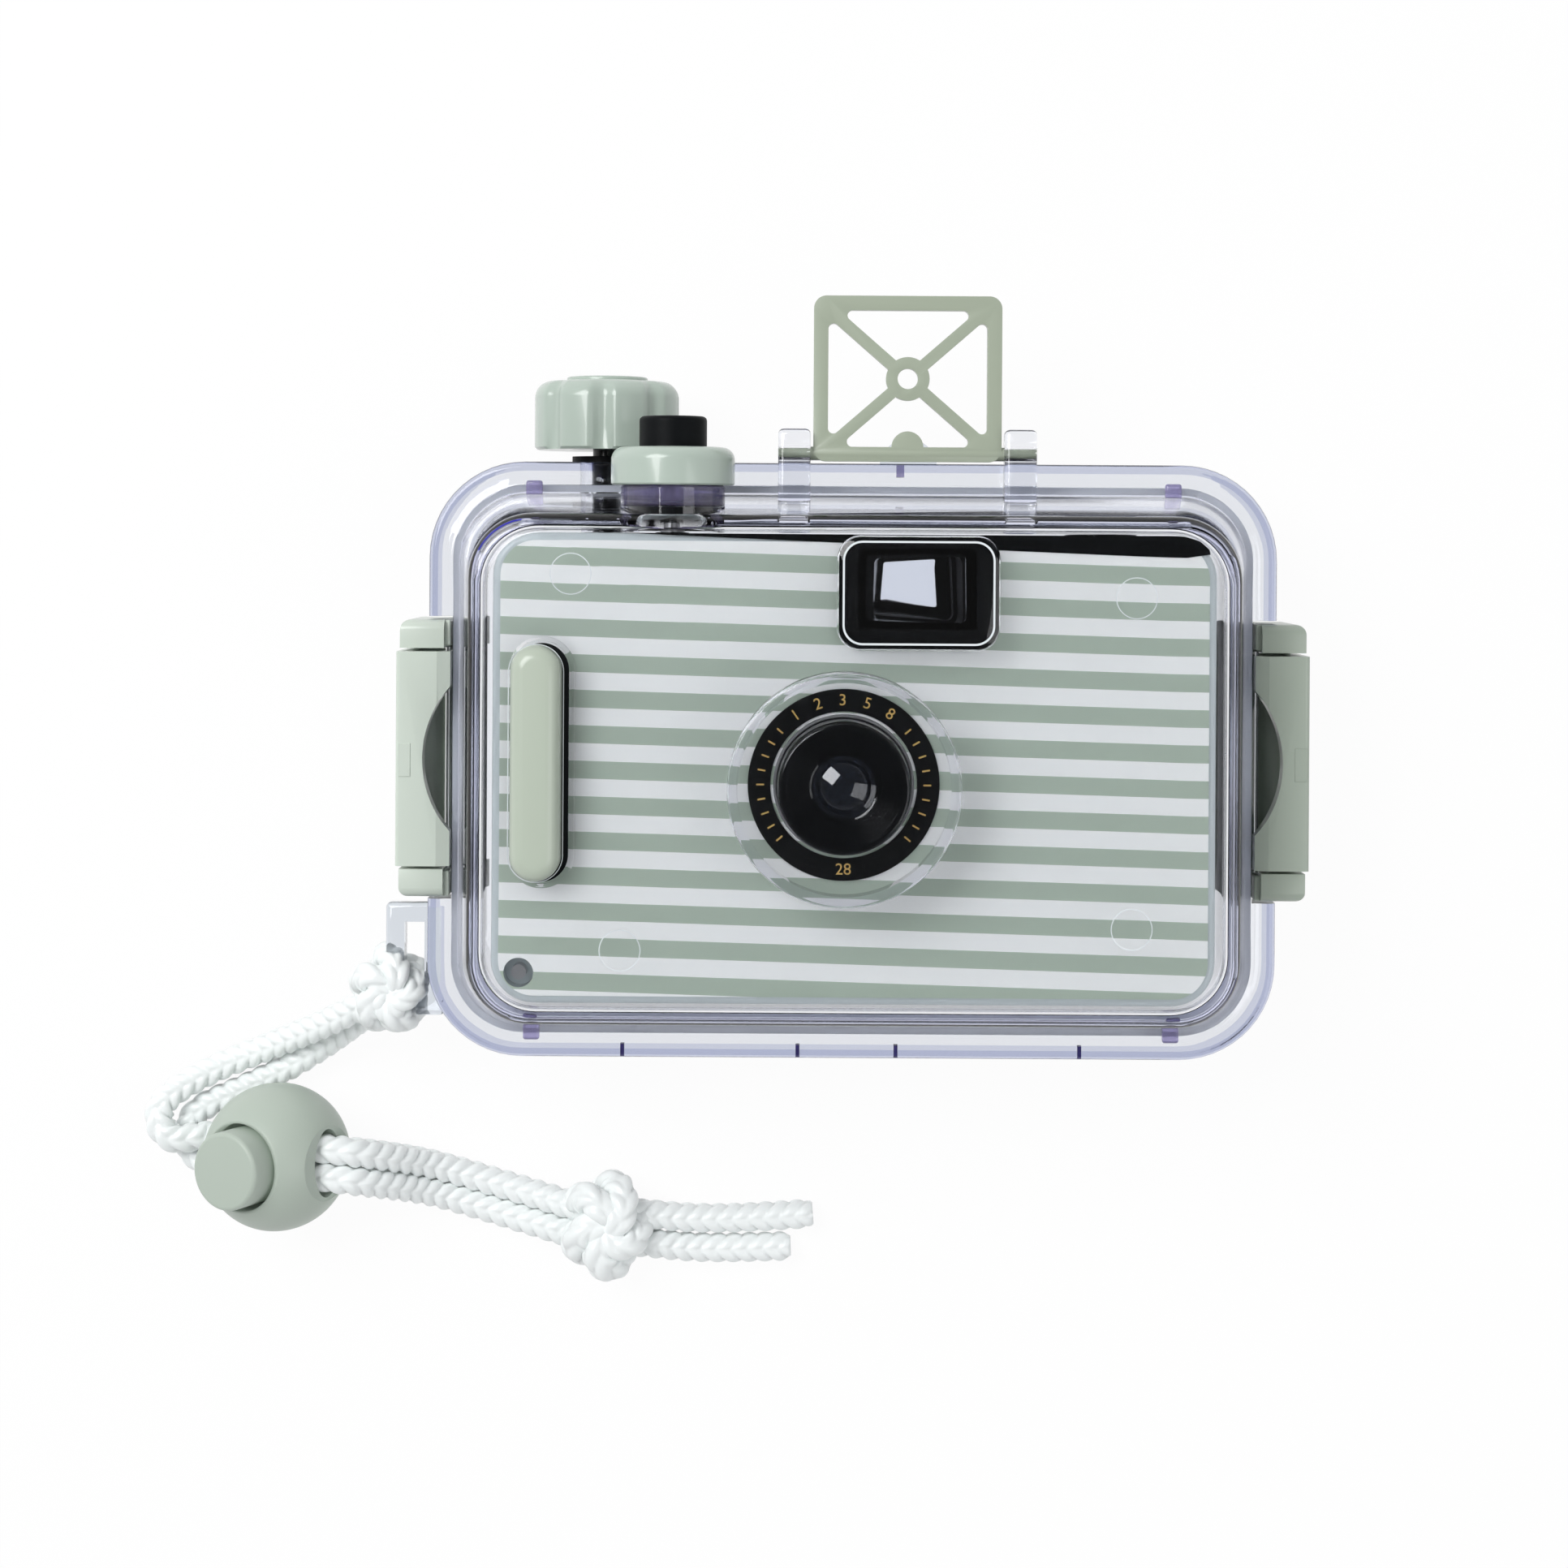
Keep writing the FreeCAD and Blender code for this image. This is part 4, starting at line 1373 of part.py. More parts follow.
def lock_place(thing):
    """Tilt a piece of the cord lock and set it on the table beside the case."""
    thing.Placement = FreeCAD.Placement(V(0, 0, 0), FreeCAD.Rotation(V(0, 1, 0), -size("lock_tilt")))
    thing.setExpression("Placement.Rotation.Angle", bound("lock_tilt * 1 deg"))
    thing.setExpression("Placement.Rotation.Axis.y", "-1")
    return place(thing, "lock_x", "lock_y", "lock_radius")


def lock_hole(name, play, reach):
    """Two round ways side by side for the strands, along X, joined into one long hole."""
    radius = "cord_diameter / 2 + (%s)" % play
    ways = [round_x("%s_%d" % (name, i), radius, "%d * cord_spacing / 2" % i, "0", ("-(%s)" % reach, reach))
            for i in (-1, 1)]
    ways.append(block(name + "_middle", ("-(%s)" % reach, reach), ("-cord_spacing / 2", "cord_spacing / 2"),
                      ("-(%s)" % radius, radius)))
    return ways


def cord_lock():
    """Round cord lock: ball with a long hole, sprung button with a slot, the spring under it."""
    ball = doc.addObject("Part::Sphere", "lock_sphere")
    bind(ball, Radius="lock_radius")
    bore = round_z("lock_bore_way", "lock_button + lock_button_room", "0", "0",
                   ("-lock_bore", "lock_radius + over"))
    mouths = []
    for end, (near_x, far_x) in enumerate((("lock_flat", "lock_radius + over"),
                                           ("-lock_radius - over", "-lock_flat"))):
        mouths.append(round_x("lock_mouth_%d" % end, "lock_flat_radius", "0", "0", (near_x, far_x)))
    body = cut("cord_lock_ball", ball, bore,
               *lock_hole("lock_way", "lock_hole_play", "lock_radius + over"), *mouths)
    finish("cord_lock_ball", lock_place(body))
    button = round_z("lock_button_rod", "lock_button", "0", "0", ("-lock_foot", "lock_button_top"))
    button = rounded("lock_button_soft", button, size("lock_button_round"),
                     lambda e: flat_at(e, 2, size("lock_button_top")))
    slot = block("lock_slot", ("-lock_button - over", "lock_button + over"),
                 ("-cord_spacing / 2 - cord_diameter / 2 - lock_hole_play",
                  "cord_spacing / 2 + cord_diameter / 2 + lock_hole_play"),
                 ("-lock_slot_low", "lock_slot_high"))
    finish("cord_lock_button", lock_place(cut("cord_lock_button", button, slot)))
    tilt = FreeCAD.Rotation(V(0, 1, 0), -size("lock_tilt"))
    middle = V(size("lock_x"), size("lock_y"), size("lock_radius"))
    finish("cord_lock_spring", coil("cord_lock_spring", size("lock_spring_radius"),
                                    size("lock_spring_wire") / 2, -size("lock_bore"), -size("lock_foot"),
                                    size("lock_spring_turns"), middle, tilt))


# Cord: two strands from the hitch on the loop, through the lock, to the end knot and past it


def on_lock(distance, side, lift=0.0):
    """A point on a strand's way through the lock, measured from the lock's middle."""
    tilt = math.radians(size("lock_tilt"))
    return V(size("lock_x") + distance * math.cos(tilt) - lift * math.sin(tilt),
             size("lock_y") + side * size("cord_spacing") / 2,
             size("lock_radius") + distance * math.sin(tilt) + lift * math.cos(tilt))


def route(*places):
    """Corner points of a strand: those laid by hand move with the strap loop."""
    moved = V(-size("case_width") / 2, size("loop_y"), 0) - LOOP_AT
    return [p if isinstance(p, V) else V(*p) + moved for p in places]


def strand_points():
    """The two strands' corner points."""
    upper = route((-71.8, -36.4, 15.5), (-76.2, -39.4, 13.2), (-84.5, -43.9, 7.6), (-93.2, -47.9, 2.7),
             (-101.4, -51.2, 2.6), (-108.6, -55.3, 4.9), (-109.3, -58.8, 6.3), (-107.0, -61.6, 7.0),
             (-103.4, -61.2, 6.9), on_lock(-12.2, 1), on_lock(0.0, 1, size("lock_lift")), on_lock(11.9, 1),
             (-72.4, -63.0, 11.6), (-66.3, -65.6, 4.4), (-57.9, -68.5, 2.1), (-47.6, -71.3, 2.9),
             (-40.6, -72.9, 5.2), (-33.5, -73.2, 4.6), (-25.5, -74.6, 2.2), (-15.5, -74.5, 2.05),
             (-5.5, -73.7, 2.1))
    lower = route((-72.6, -38.6, 10.6), (-76.8, -42.0, 8.0), (-83.5, -47.2, 3.2), (-90.5, -51.6, 2.1),
             (-97.3, -54.8, 2.2), (-102.8, -57.1, 2.1), (-105.2, -59.5, 2.1), (-105.2, -63.4, 2.7),
             (-102.2, -65.5, 4.6), on_lock(-11.0, -1), on_lock(0.0, -1, size("lock_lift")),
             on_lock(11.9, -1),
             (-72.7, -67.4, 11.4), (-66.6, -69.9, 4.2), (-58.3, -72.8, 2.1), (-48.0, -75.7, 2.9),
             (-40.5, -77.4, 5.2), (-33.2, -77.8, 4.6), (-25.6, -79.2, 2.2), (-17.3, -79.3, 2.05),
             (-9.0, -78.9, 2.1))
    return upper, lower


def cord_strand(name, points):
    """One strand: straight runs joined by tangent arcs, a circle swept along them."""
    edges = []
    radii = []
    start = points[0]
    for before, corner, after in zip(points, points[1:], points[2:]):
        back = (before - corner).normalize()
        ahead = (after - corner).normalize()
        shorter = min((before - corner).Length, (after - corner).Length)
        half = (math.pi - back.getAngle(ahead)) / 2
        reach = 0.45 * shorter
        radii.append(reach / math.tan(half))
        first = corner + back * reach
        last = corner + ahead * reach
        inward = (back + ahead).normalize()
        middle = corner + inward * (radii[-1] / math.cos(half) - radii[-1])
        edges.append(Part.LineSegment(start, first).toShape())
        edges.append(Part.Arc(first, middle, last).toShape())
        start = last
    edges.append(Part.LineSegment(start, points[-1]).toShape())
    path = Part.Wire(edges)
    width = size("cord_diameter")
    ring = Part.Wire([Part.Circle(points[0], points[1] - points[0], width / 2).toShape()])
    tube = doc.addObject("Part::Feature", name)
    tube.Shape = path.makePipeShell([ring], True, False)
    expected = math.pi * width ** 2 / 4 * path.Length
    print("%s: length %.1f mm, least radius %.1f mm, volume %.1f against %.1f mm3, valid %s" %
          (name, path.Length, min(radii), tube.Shape.Volume, expected, tube.Shape.isValid()))
    return finish(name, tube)


def knot(name, middle, wide, high, deep):
    """A knot as a rounded lump round the strands."""
    ball = doc.addObject("Part::Ellipsoid", name)
    bind(ball, Radius1=deep, Radius2=wide, Radius3=high)
    ball.Angle1 = -90
    ball.Angle2 = 90
    ball.Placement.Base = route(middle)[0]
    return finish(name, ball)


def cord():
    """Two strands and the two knots."""
    upper, lower = strand_points()
    cord_strand("cord_strand_a", upper)
    cord_strand("cord_strand_b", lower)
    knot("hitch_knot", (-71.2, -36.3, 13.8), "hitch_wide", "hitch_high", "hitch_deep")
    knot("end_knot", (-38.3, -75.0, 5.6), "end_wide", "end_high", "end_deep")


rear_case()
front_case()
gasket()
grip()
wind_knob()
shutter_release()
sports_finder()
latch("left", -1)
latch("right", 1)
camera_shell()
finder_optics()
lens()
film_path()
cord_lock()
cord()
doc.recompute()

bad = [thing.Label for thing in doc.Objects if {"Invalid", "Error"} & set(thing.State)]
if bad:
    raise RuntimeError("objects that did not recompute: " + ", ".join(bad))
for node, thing in FINISHED.items():
    shape = thing.Shape
    if shape.isNull() or not shape.isValid() or not shape.Solids:
        raise RuntimeError("bad shape in " + node)
    if len(shape.Solids) != 1:
        raise RuntimeError("%s has %d solids" % (node, len(shape.Solids)))
os.makedirs("parts", exist_ok=True)
for node, thing in FINISHED.items():
    thing.Shape.exportStep("parts/%s.step" % node)
    box = thing.Shape.optimalBoundingBox()
    print("%-22s x %7.2f %7.2f  y %7.2f %7.2f  z %6.2f %6.2f  volume %9.1f" %
          (node, box.XMin, box.XMax, box.YMin, box.YMax, box.ZMin, box.ZMax, thing.Shape.Volume))
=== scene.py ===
"""Underwater film camera lying on its back on a white table, seen from straight above.

The dressed part: clear case halves, stepped lens port, striped camera inside, side latches,
winding knob, shutter button, folding sports finder and a braided wrist cord with its lock.
Places are given in millimetres in the part's own frame and meshes are built in metres: +Z is
the way the lens looks, +Y the camera's top and +X to the right as seen from the front.
"""

from __future__ import annotations

import json
import logging
import math
from dataclasses import dataclass, field
from enum import Enum
from typing import Callable, Sequence

import bpy
import numpy as np
from mathutils import Matrix, Vector

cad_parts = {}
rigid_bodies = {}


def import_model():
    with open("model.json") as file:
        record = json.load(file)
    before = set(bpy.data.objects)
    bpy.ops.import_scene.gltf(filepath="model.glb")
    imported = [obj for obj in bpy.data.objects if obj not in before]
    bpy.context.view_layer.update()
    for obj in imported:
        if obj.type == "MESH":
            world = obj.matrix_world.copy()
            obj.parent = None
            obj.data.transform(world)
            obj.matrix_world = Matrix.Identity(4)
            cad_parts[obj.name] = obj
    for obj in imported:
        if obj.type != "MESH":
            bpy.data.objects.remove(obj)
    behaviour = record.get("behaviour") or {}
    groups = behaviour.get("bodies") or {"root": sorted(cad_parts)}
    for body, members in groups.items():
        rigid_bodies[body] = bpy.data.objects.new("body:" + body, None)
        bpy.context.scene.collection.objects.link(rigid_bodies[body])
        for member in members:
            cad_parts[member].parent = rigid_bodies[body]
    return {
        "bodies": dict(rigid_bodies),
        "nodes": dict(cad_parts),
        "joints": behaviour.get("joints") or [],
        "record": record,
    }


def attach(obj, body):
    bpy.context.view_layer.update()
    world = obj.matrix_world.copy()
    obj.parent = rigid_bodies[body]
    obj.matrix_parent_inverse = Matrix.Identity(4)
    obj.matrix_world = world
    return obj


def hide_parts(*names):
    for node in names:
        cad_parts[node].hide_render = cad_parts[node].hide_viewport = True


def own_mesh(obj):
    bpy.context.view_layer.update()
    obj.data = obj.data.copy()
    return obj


LOG = logging.getLogger("camera")
Pair = tuple[float, float]
Point = tuple[float, float, float]
Colour = tuple[float, float, float]
Loop = tuple[float, float, float, float]

MM = 0.001  # metres
PHOTO_SIDE = 1932  # pixels
CORNER_POINTS = 14  # on each rounded corner
SMOOTH_BELOW = 32.0  # degrees
SAME_POINT = 1e-6  # metres
FLAT_ANGLE = math.radians(1.0)
GRAIN_SCALE = 900.0  # grains in a metre, about
GRAIN_DEPTH = 0.2 * MM

# points on the axes that several pieces share, in millimetres
LENS_AT: Point = (-1.5, -2.25, 0.0)
WIND_AT: Point = (-38.4, 0.0, 12.0)
RELEASE_AT: Point = (-27.2, 0.0, 31.9)


class Along(Enum):
    """The axis that a turned piece is built round."""

    X = 0
    Y = 1
    Z = 2


# ---- finishes


def srgb(red: int, green: int, blue: int) -> Colour:
    """Turn a screen colour into the linear one that a shader takes.

    Args:
        red: red, 0 to 255.
        green: green, 0 to 255.
        blue: blue, 0 to 255.

    Returns:
        The linear colour.
    """
    return tuple((v / 255 / 12.92) if v <= 10 else ((v / 255 + 0.055) / 1.055) ** 2.4 for v in (red, green, blue))


def add_node(nodes: bpy.types.Nodes, kind: str, values: dict | None = None, **settings: object) -> bpy.types.Node:
    """Add a shader node.

    Args:
        nodes: the nodes of a material or of the world.
        kind: the node's type.
        values: values of its inputs, by name or number.
        settings: the node's own settings, such as its operation.

    Returns:
        The node.
    """
    made = nodes.new(kind)
    for setting, value in settings.items():
        setattr(made, setting, value)
    for socket, value in (values or {}).items():
        made.inputs[socket].default_value = value
    return made


def wire(links: bpy.types.NodeLinks, *wires: tuple) -> None:
    """Link nodes; each wire is a node, its output, the node after it and that node's input."""
    for start, output, end, entry in wires:
        links.new(start.outputs[output], end.inputs[entry])


@dataclass(frozen=True)
class Finish:
    """A plain surface: colour, gloss and, where it is clear, how light goes through it."""

    name: str
    colour: Colour
    roughness: float = 0.4
    metallic: float = 0.0
    clear: float = 0.0
    ior: float = 1.48
    coat: float = 0.0
    grain: float = 0.0
    shine: float = 0.5
    slot: str = ""

    def material(self) -> bpy.types.Material:
        """Build the material once and hand back the same one after that.

        Returns:
            The material.
        """
        known = bpy.data.materials.get(self.name)
        if known:
            return known
        made = bpy.data.materials.new(self.name)
        made.use_nodes = True
        nodes, links = made.node_tree.nodes, made.node_tree.links
        shader = nodes["Principled BSDF"]
        values = {"Base Color": (*self.colour, 1), "Roughness": self.roughness, "Metallic": self.metallic,
                  "IOR": self.ior, "Transmission Weight": self.clear, "Coat Weight": self.coat,
                  "Specular IOR Level": self.shine}
        for socket, value in values.items():
            shader.inputs[socket].default_value = value
        if self.grain:
            place = add_node(nodes, "ShaderNodeTexCoord")
            noise = add_node(nodes, "ShaderNodeTexNoise", {"Scale": GRAIN_SCALE})
            bump = add_node(nodes, "ShaderNodeBump", {"Strength": self.grain, "Distance": GRAIN_DEPTH})
            wire(links, (place, "Object", noise, "Vector"), (noise, "Fac", bump, "Height"),
                 (bump, "Normal", shader, "Normal"))
        self.extra(nodes, links, shader)
        return made

    def extra(self, nodes: bpy.types.Nodes, links: bpy.types.NodeLinks, shader: bpy.types.Node) -> None:
        """Leave the plain surface as it is; patterned finishes add to it here."""


@dataclass(frozen=True)
class ClearPlastic(Finish):
    """Clear plastic that turns violet where it is thick."""

    tint: Colour = (0.68, 0.69, 0.9)
    density: float = 26.0

    def extra(self, nodes: bpy.types.Nodes, links: bpy.types.NodeLinks, shader: bpy.types.Node) -> None:
        """Add the tint that light gathers on its way through."""
        inside = add_node(nodes, "ShaderNodeVolumeAbsorption", {"Color": (*self.tint, 1), "Density": self.density})
        wire(links, (inside, "Volume", nodes["Material Output"], "Volume"))


@dataclass(frozen=True)
class Stripes(Finish):
    """Two colours in even bands across the camera, a little aslant."""

    second: Colour = (1.0, 1.0, 1.0)
    pitch: float = 5.225 * MM
    share: float = 0.5
    slant: float = math.radians(1.55)
    offset: float = 2.6125 * MM

    def extra(self, nodes: bpy.types.Nodes, links: bpy.types.NodeLinks, shader: bpy.types.Node) -> None:
        """Paint the bands by height on the piece's own coordinates.

        Args:
            nodes: the material's nodes.
            links: their links.
            shader: the plain surface.
        """
        place = add_node(nodes, "ShaderNodeTexCoord")
        turn = add_node(nodes, "ShaderNodeMapping", {"Rotation": (0, 0, self.slant), "Location": (0, self.offset, 0)})
        split = add_node(nodes, "ShaderNodeSeparateXYZ")
        count = add_node(nodes, "ShaderNodeMath", {1: self.pitch}, operation="DIVIDE")
        part = add_node(nodes, "ShaderNodeMath", operation="FRACT")
        ramp = add_node(nodes, "ShaderNodeValToRGB")
        ramp.color_ramp.interpolation = "CONSTANT"
        ramp.color_ramp.elements[0].color = (*self.colour, 1)
        ramp.color_ramp.elements[1].position = self.share
        ramp.color_ramp.elements[1].color = (*self.second, 1)
        wire(links, (place, "Object", turn, "Vector"), (turn, "Vector", split, "Vector"), (split, "Y", count, 0),
             (count, 0, part, 0), (part, 0, ramp, "Fac"), (ramp, "Color", shader, "Base Color"))


CLEAR = ClearPlastic("clear plastic", (0.97, 0.98, 0.99), 0.03, clear=1.0, slot="clear_plastic")
# lit copy of the latch plastic: the left latch, paler where the key lamp falls on it
LATCH_LIT = Finish("latch plastic, lit side", srgb(206, 216, 205), 0.3, coat=0.15, slot="pale_green_plastic")
KNOB = Finish("control plastic", srgb(176, 189, 179), 0.22, coat=0.3, slot="pale_green_plastic")
BAR = Finish("grip plastic", srgb(181, 191, 176), 0.28, coat=0.2, slot="pale_green_plastic")
SIGHT = Finish("sports finder plastic", srgb(163, 172, 154), 0.3, coat=0.15, slot="pale_green_plastic")
# painted shade: a darker copy of the same latch plastic for the right latch, away from the key lamp
LATCH_IN_PAINTED_SHADE = Finish("latch plastic in painted shade", srgb(169, 180, 167), 0.3, coat=0.15, slot="dark_green_plastic")
LOCK = Finish("lock plastic", srgb(178, 189, 178), 0.4, slot="pale_green_plastic")
BLACK = Finish("black plastic", (0.004, 0.005, 0.006), 0.24, slot="black_plastic")
GLOSS = Finish("gloss black plastic", (0.004, 0.005, 0.006), 0.08, slot="black_plastic")
MATT = Finish("matt black plastic", (0.004, 0.004, 0.005), 0.6, shine=0.2, slot="black_plastic")
RUBBER = Finish("black rubber", (0.003, 0.004, 0.005), 0.5, grain=0.15, shine=0.12, slot="black_rubber")
SEAL = Finish("milky seal rubber", (0.74, 0.77, 0.83), 0.45, slot="milky_rubber")
STEEL = Finish("steel", (0.55, 0.55, 0.57), 0.3, 1.0, slot="steel")
STRIPED = Stripes("striped foil", srgb(180, 195, 179), 0.38, second=srgb(253, 255, 253), slot="striped_foil")
GLASS = Finish("lens glass", (0.93, 0.95, 1.0), 0.0, clear=1.0, ior=1.52, slot="glass")
FILM = Finish("film", (0.05, 0.025, 0.012), 0.25, slot="film_stock")
LENS = Finish("coated lens glass", (0.01, 0.013, 0.02), 0.02, ior=1.8, slot="glass")
# painted highlight: a bright finish for thin rings that stand in for the glint on sharp edges of the case
PAINTED_GLINT = Finish("painted edge highlight", (0.78, 0.83, 0.85), 0.15, coat=0.5)
# painted shade: a darker grey clear plastic for the flange's outer band, where the rounded edge looks dark
FLANGE_EDGE_SHADE = ClearPlastic("clear plastic painted with edge shade", (0.75, 0.79, 0.83), 0.04, clear=1.0)
VIOLET = Finish("thick violet plastic", (0.52, 0.48, 0.74), 0.06, clear=0.75)
DEEP = Finish("deep violet plastic", srgb(84, 76, 146), 0.15)
SHELL = Finish("grey front plastic", srgb(200, 209, 211), 0.25, slot="white_plastic")
GOLD = Finish("gold print", (0.72, 0.47, 0.13), 0.45)
CORD = Finish("white cord", (0.91, 0.945, 0.94), 0.3, coat=0.3, slot="white_cord")
WHITE = Finish("white plastic", (0.78, 0.79, 0.78), 0.4, slot="white_plastic")

# ---- surfaces


def grid_faces(rows: int, columns: int, closed: bool = False) -> np.ndarray:
    """Number the squares between loops of points.

    Args:
        rows: number of loops.
        columns: points in each loop.
        closed: whether the last loop joins the first.

    Returns:
        One row of four point numbers for each square.
    """
    i = np.arange(rows if closed else rows - 1)[:, None]
    j = np.arange(columns)[None, :]
    after_i, after_j = (i + 1) % rows, (j + 1) % columns
    corners = (i * columns + j, i * columns + after_j, after_i * columns + after_j, after_i * columns + j)
    return np.stack([np.broadcast_to(c, (i.size, j.size)) for c in corners], axis=-1).reshape(-1, 4)


def placed(name: str, data: bpy.types.ID) -> bpy.types.Object:
    """Make an object of a mesh, text, lamp or camera and put it in the scene.

    Args:
        name: the object's name.
        data: what it shows.

    Returns:
        The object, at the origin.
    """
    made = bpy.data.objects.new(name, data)
    bpy.context.scene.collection.objects.link(made)
    return made


def paint(mesh: bpy.types.Mesh, finish: Finish) -> None:
    """Give a mesh one finish in place of any that it has."""
    mesh.materials.clear()
    mesh.materials.append(finish.material())


def polish(made: bpy.types.Object, smooth_below: float = SMOOTH_BELOW) -> bpy.types.Object:
    """Shade a piece smooth, but for its real edges.

    Args:
        made: the piece.
        smooth_below: edges turn sharp above this angle, in degrees.

    Returns:
        The piece.
    """
    made.data.shade_smooth()
    made.data.set_sharp_from_angle(angle=math.radians(smooth_below))
    return made


def numbers(items: bpy.types.bpy_prop_collection, attribute: str, kind: type = float) -> np.ndarray:
    """Read an attribute of three numbers from many items.

    Args:
        items: a mesh's points, triangles or faces.
        attribute: name of the attribute.
        kind: float or int.

    Returns:
        One row for each item.
    """
    found = np.empty(len(items) * 3, kind)
    items.foreach_get(attribute, found)
    return found.reshape(-1, 3)


def piece(name: str, points: np.ndarray, faces: Sequence, finish: Finish, smooth_below: float = SMOOTH_BELOW,
          caps: Sequence[Sequence[int]] = ()) -> bpy.types.Object:
    """Make a mesh object of points and faces, in metres.

    Args:
        name: name of the piece.
        points: points, one row each.
        faces: squares as an array.
        finish: its finish.
        smooth_below: edges turn sharp above this angle, in degrees.
        caps: further faces of any number of corners.

    Returns:
        The object, at the origin.
    """
    mesh = bpy.data.meshes.new(name)
    mesh.from_pydata(np.asarray(points).reshape(-1, 3).tolist(), [],
                     np.asarray(faces).tolist() + [list(map(int, c)) for c in caps])
    mesh.validate()
    mesh.materials.append(finish.material())
    return polish(placed(name, mesh), smooth_below)


def skin(name: str, points: np.ndarray, finish: Finish, closed: bool = False,
         smooth_below: float = SMOOTH_BELOW) -> bpy.types.Object:
    """Skin over loops of points, in metres.

    Args:
        name: name of the piece.
        points: points by loop and by place on the loop.
        finish: its finish.
        closed: whether the last loop joins the first; otherwise both ends are capped.
        smooth_below: edges turn sharp above this angle, in degrees.

    Returns:
        The object.
    """
    rows, columns = points.shape[:2]
    around = np.arange(columns)
    ends = () if closed else (around[::-1], (rows - 1) * columns + around)
    return piece(name, points, grid_faces(rows, columns, closed), finish, smooth_below, ends)


def outline(half_x: float, half_y: float, radius: float) -> np.ndarray:
    """A rounded rectangle: quarter circles at the corners, straight between them.

    Args:
        half_x: half its width.
        half_y: half its height.
        radius: corner radius.

    Returns:
        Points round it, two numbers each, anticlockwise.
    """
    angle = np.linspace(0, math.pi / 2, CORNER_POINTS)
    quarters = angle[None, :] + np.arange(4)[:, None] * math.pi / 2
    signs = np.array([(1, 1), (-1, 1), (-1, -1), (1, -1)], float)[:, None, :]
    middles = signs * (half_x - radius, half_y - radius)
    return (middles + radius * np.stack([np.cos(quarters), np.sin(quarters)], axis=-1)).reshape(-1, 2)


def stack(name: str, loops: Sequence[Loop], finish: Finish, middle: Pair = (0.0, 0.0), closed: bool = False,
          smooth_below: float = SMOOTH_BELOW) -> bpy.types.Object:
    """Skin over rounded rectangles, each with its own half sizes, corner radius and level, in millimetres.

    Args:
        name: name of the piece.
        loops: half width, half height, corner radius and level of each, in order.
        finish: its finish.
        middle: middle of all the rectangles.
        closed: whether the last one joins the first, as in a ring.
        smooth_below: edges turn sharp above this angle, in degrees.

    Returns:
        The object.
    """
    flat = np.stack([outline(a, b, max(r, 0.05)) for a, b, r, _ in loops])
    level = np.broadcast_to(np.array([z for *_, z in loops])[:, None, None], flat.shape[:2] + (1,))
    points = np.concatenate([flat + np.array(middle), level], axis=-1) * MM
    return skin(name, points, finish, closed, smooth_below)


def turned(name: str, profile: Sequence[Pair], finish: Finish, middle: Point, along: Along = Along.Z,
           sides: int = 72, closed: bool = False, shape: Callable | None = None) -> bpy.types.Object:
    """Turn a profile of radius and level round an axis, in millimetres.

    Args:
        name: name of the piece.
        profile: radius and level of each ring, in order from low to high on the outside.
        finish: its finish.
        middle: a point on the axis; levels are added to it along the axis.
        along: the axis.
        sides: points round it.
        closed: whether the profile is a loop, as in a ring.
        shape: works out the radius anew from radius, angle and level.

    Returns:
        The object.
    """
    ring = np.array(profile, float)
    angle = np.arange(sides) * 2 * math.pi / sides
    radius = np.broadcast_to(ring[:, :1], (len(ring), sides)).copy()
    level = np.broadcast_to(ring[:, 1:], (len(ring), sides))
    if shape is not None:
        radius = shape(radius, angle[None, :], level)
    first, second = radius * np.cos(angle), radius * np.sin(angle)
    order = {Along.Z: (first, second, level), Along.X: (level, first, second), Along.Y: (second, level, first)}
    points = (np.stack(order[along], axis=-1) + np.array(middle)) * MM
    return skin(name, points, finish, closed)


def arc(middle: Pair, radius: float, start: float, end: float, steps: int) -> list[Pair]:
    """Points of a profile on part of a circle, angles in degrees."""
    angle = np.radians(np.linspace(start, end, steps))
    return [(middle[0] + radius * math.cos(a), middle[1] + radius * math.sin(a)) for a in angle]


def box_piece(name: str, low: Point, high: Point, finish: Finish, soft: float = 0.0) -> bpy.types.Object:
    """A box between two corners, in millimetres.

    Args:
        name: name of the piece.
        low: its lowest corner.
        high: its highest corner.
        finish: its finish.
        soft: radius of its edges; they stay sharp at 0.

    Returns:
        The object.
    """
    corner = np.array([[(x, y, z) for x in (low[0], high[0]) for y in (low[1], high[1])] for z in (low[2], high[2])])
    faces = [(0, 1, 3, 2), (4, 6, 7, 5), (0, 4, 5, 1), (2, 3, 7, 6), (0, 2, 6, 4), (1, 5, 7, 3)]
    made = piece(name, corner.reshape(-1, 3) * MM, faces, finish)
    if soft:
        soften(made, soft)
        settle(made)
    return made


def soften(made: bpy.types.Object, width: float, above: float = 35.0) -> None:
    """Give a piece's edges a small radius, by a modifier.

    Args:
        made: the piece.
        width: the radius, in millimetres.
        above: angle above which an edge is softened, in degrees.
    """
    edge = made.modifiers.new("soft edges", "BEVEL")
    edge.width = width * MM
    edge.segments = 3
    edge.limit_method = "ANGLE"
    edge.angle_limit = math.radians(above)


def settled_mesh(made: bpy.types.Object) -> bpy.types.Mesh:
    """A new mesh of an object as its modifiers or its text leave it."""
    return bpy.data.meshes.new_from_object(made.evaluated_get(bpy.context.evaluated_depsgraph_get()))


def settle(made: bpy.types.Object) -> None:
    """Turn a piece's modifiers into its mesh.

    Args:
        made: the piece.
    """
    fresh = settled_mesh(made)
    made.modifiers.clear()
    old, made.data = made.data, fresh
    bpy.data.meshes.remove(old)


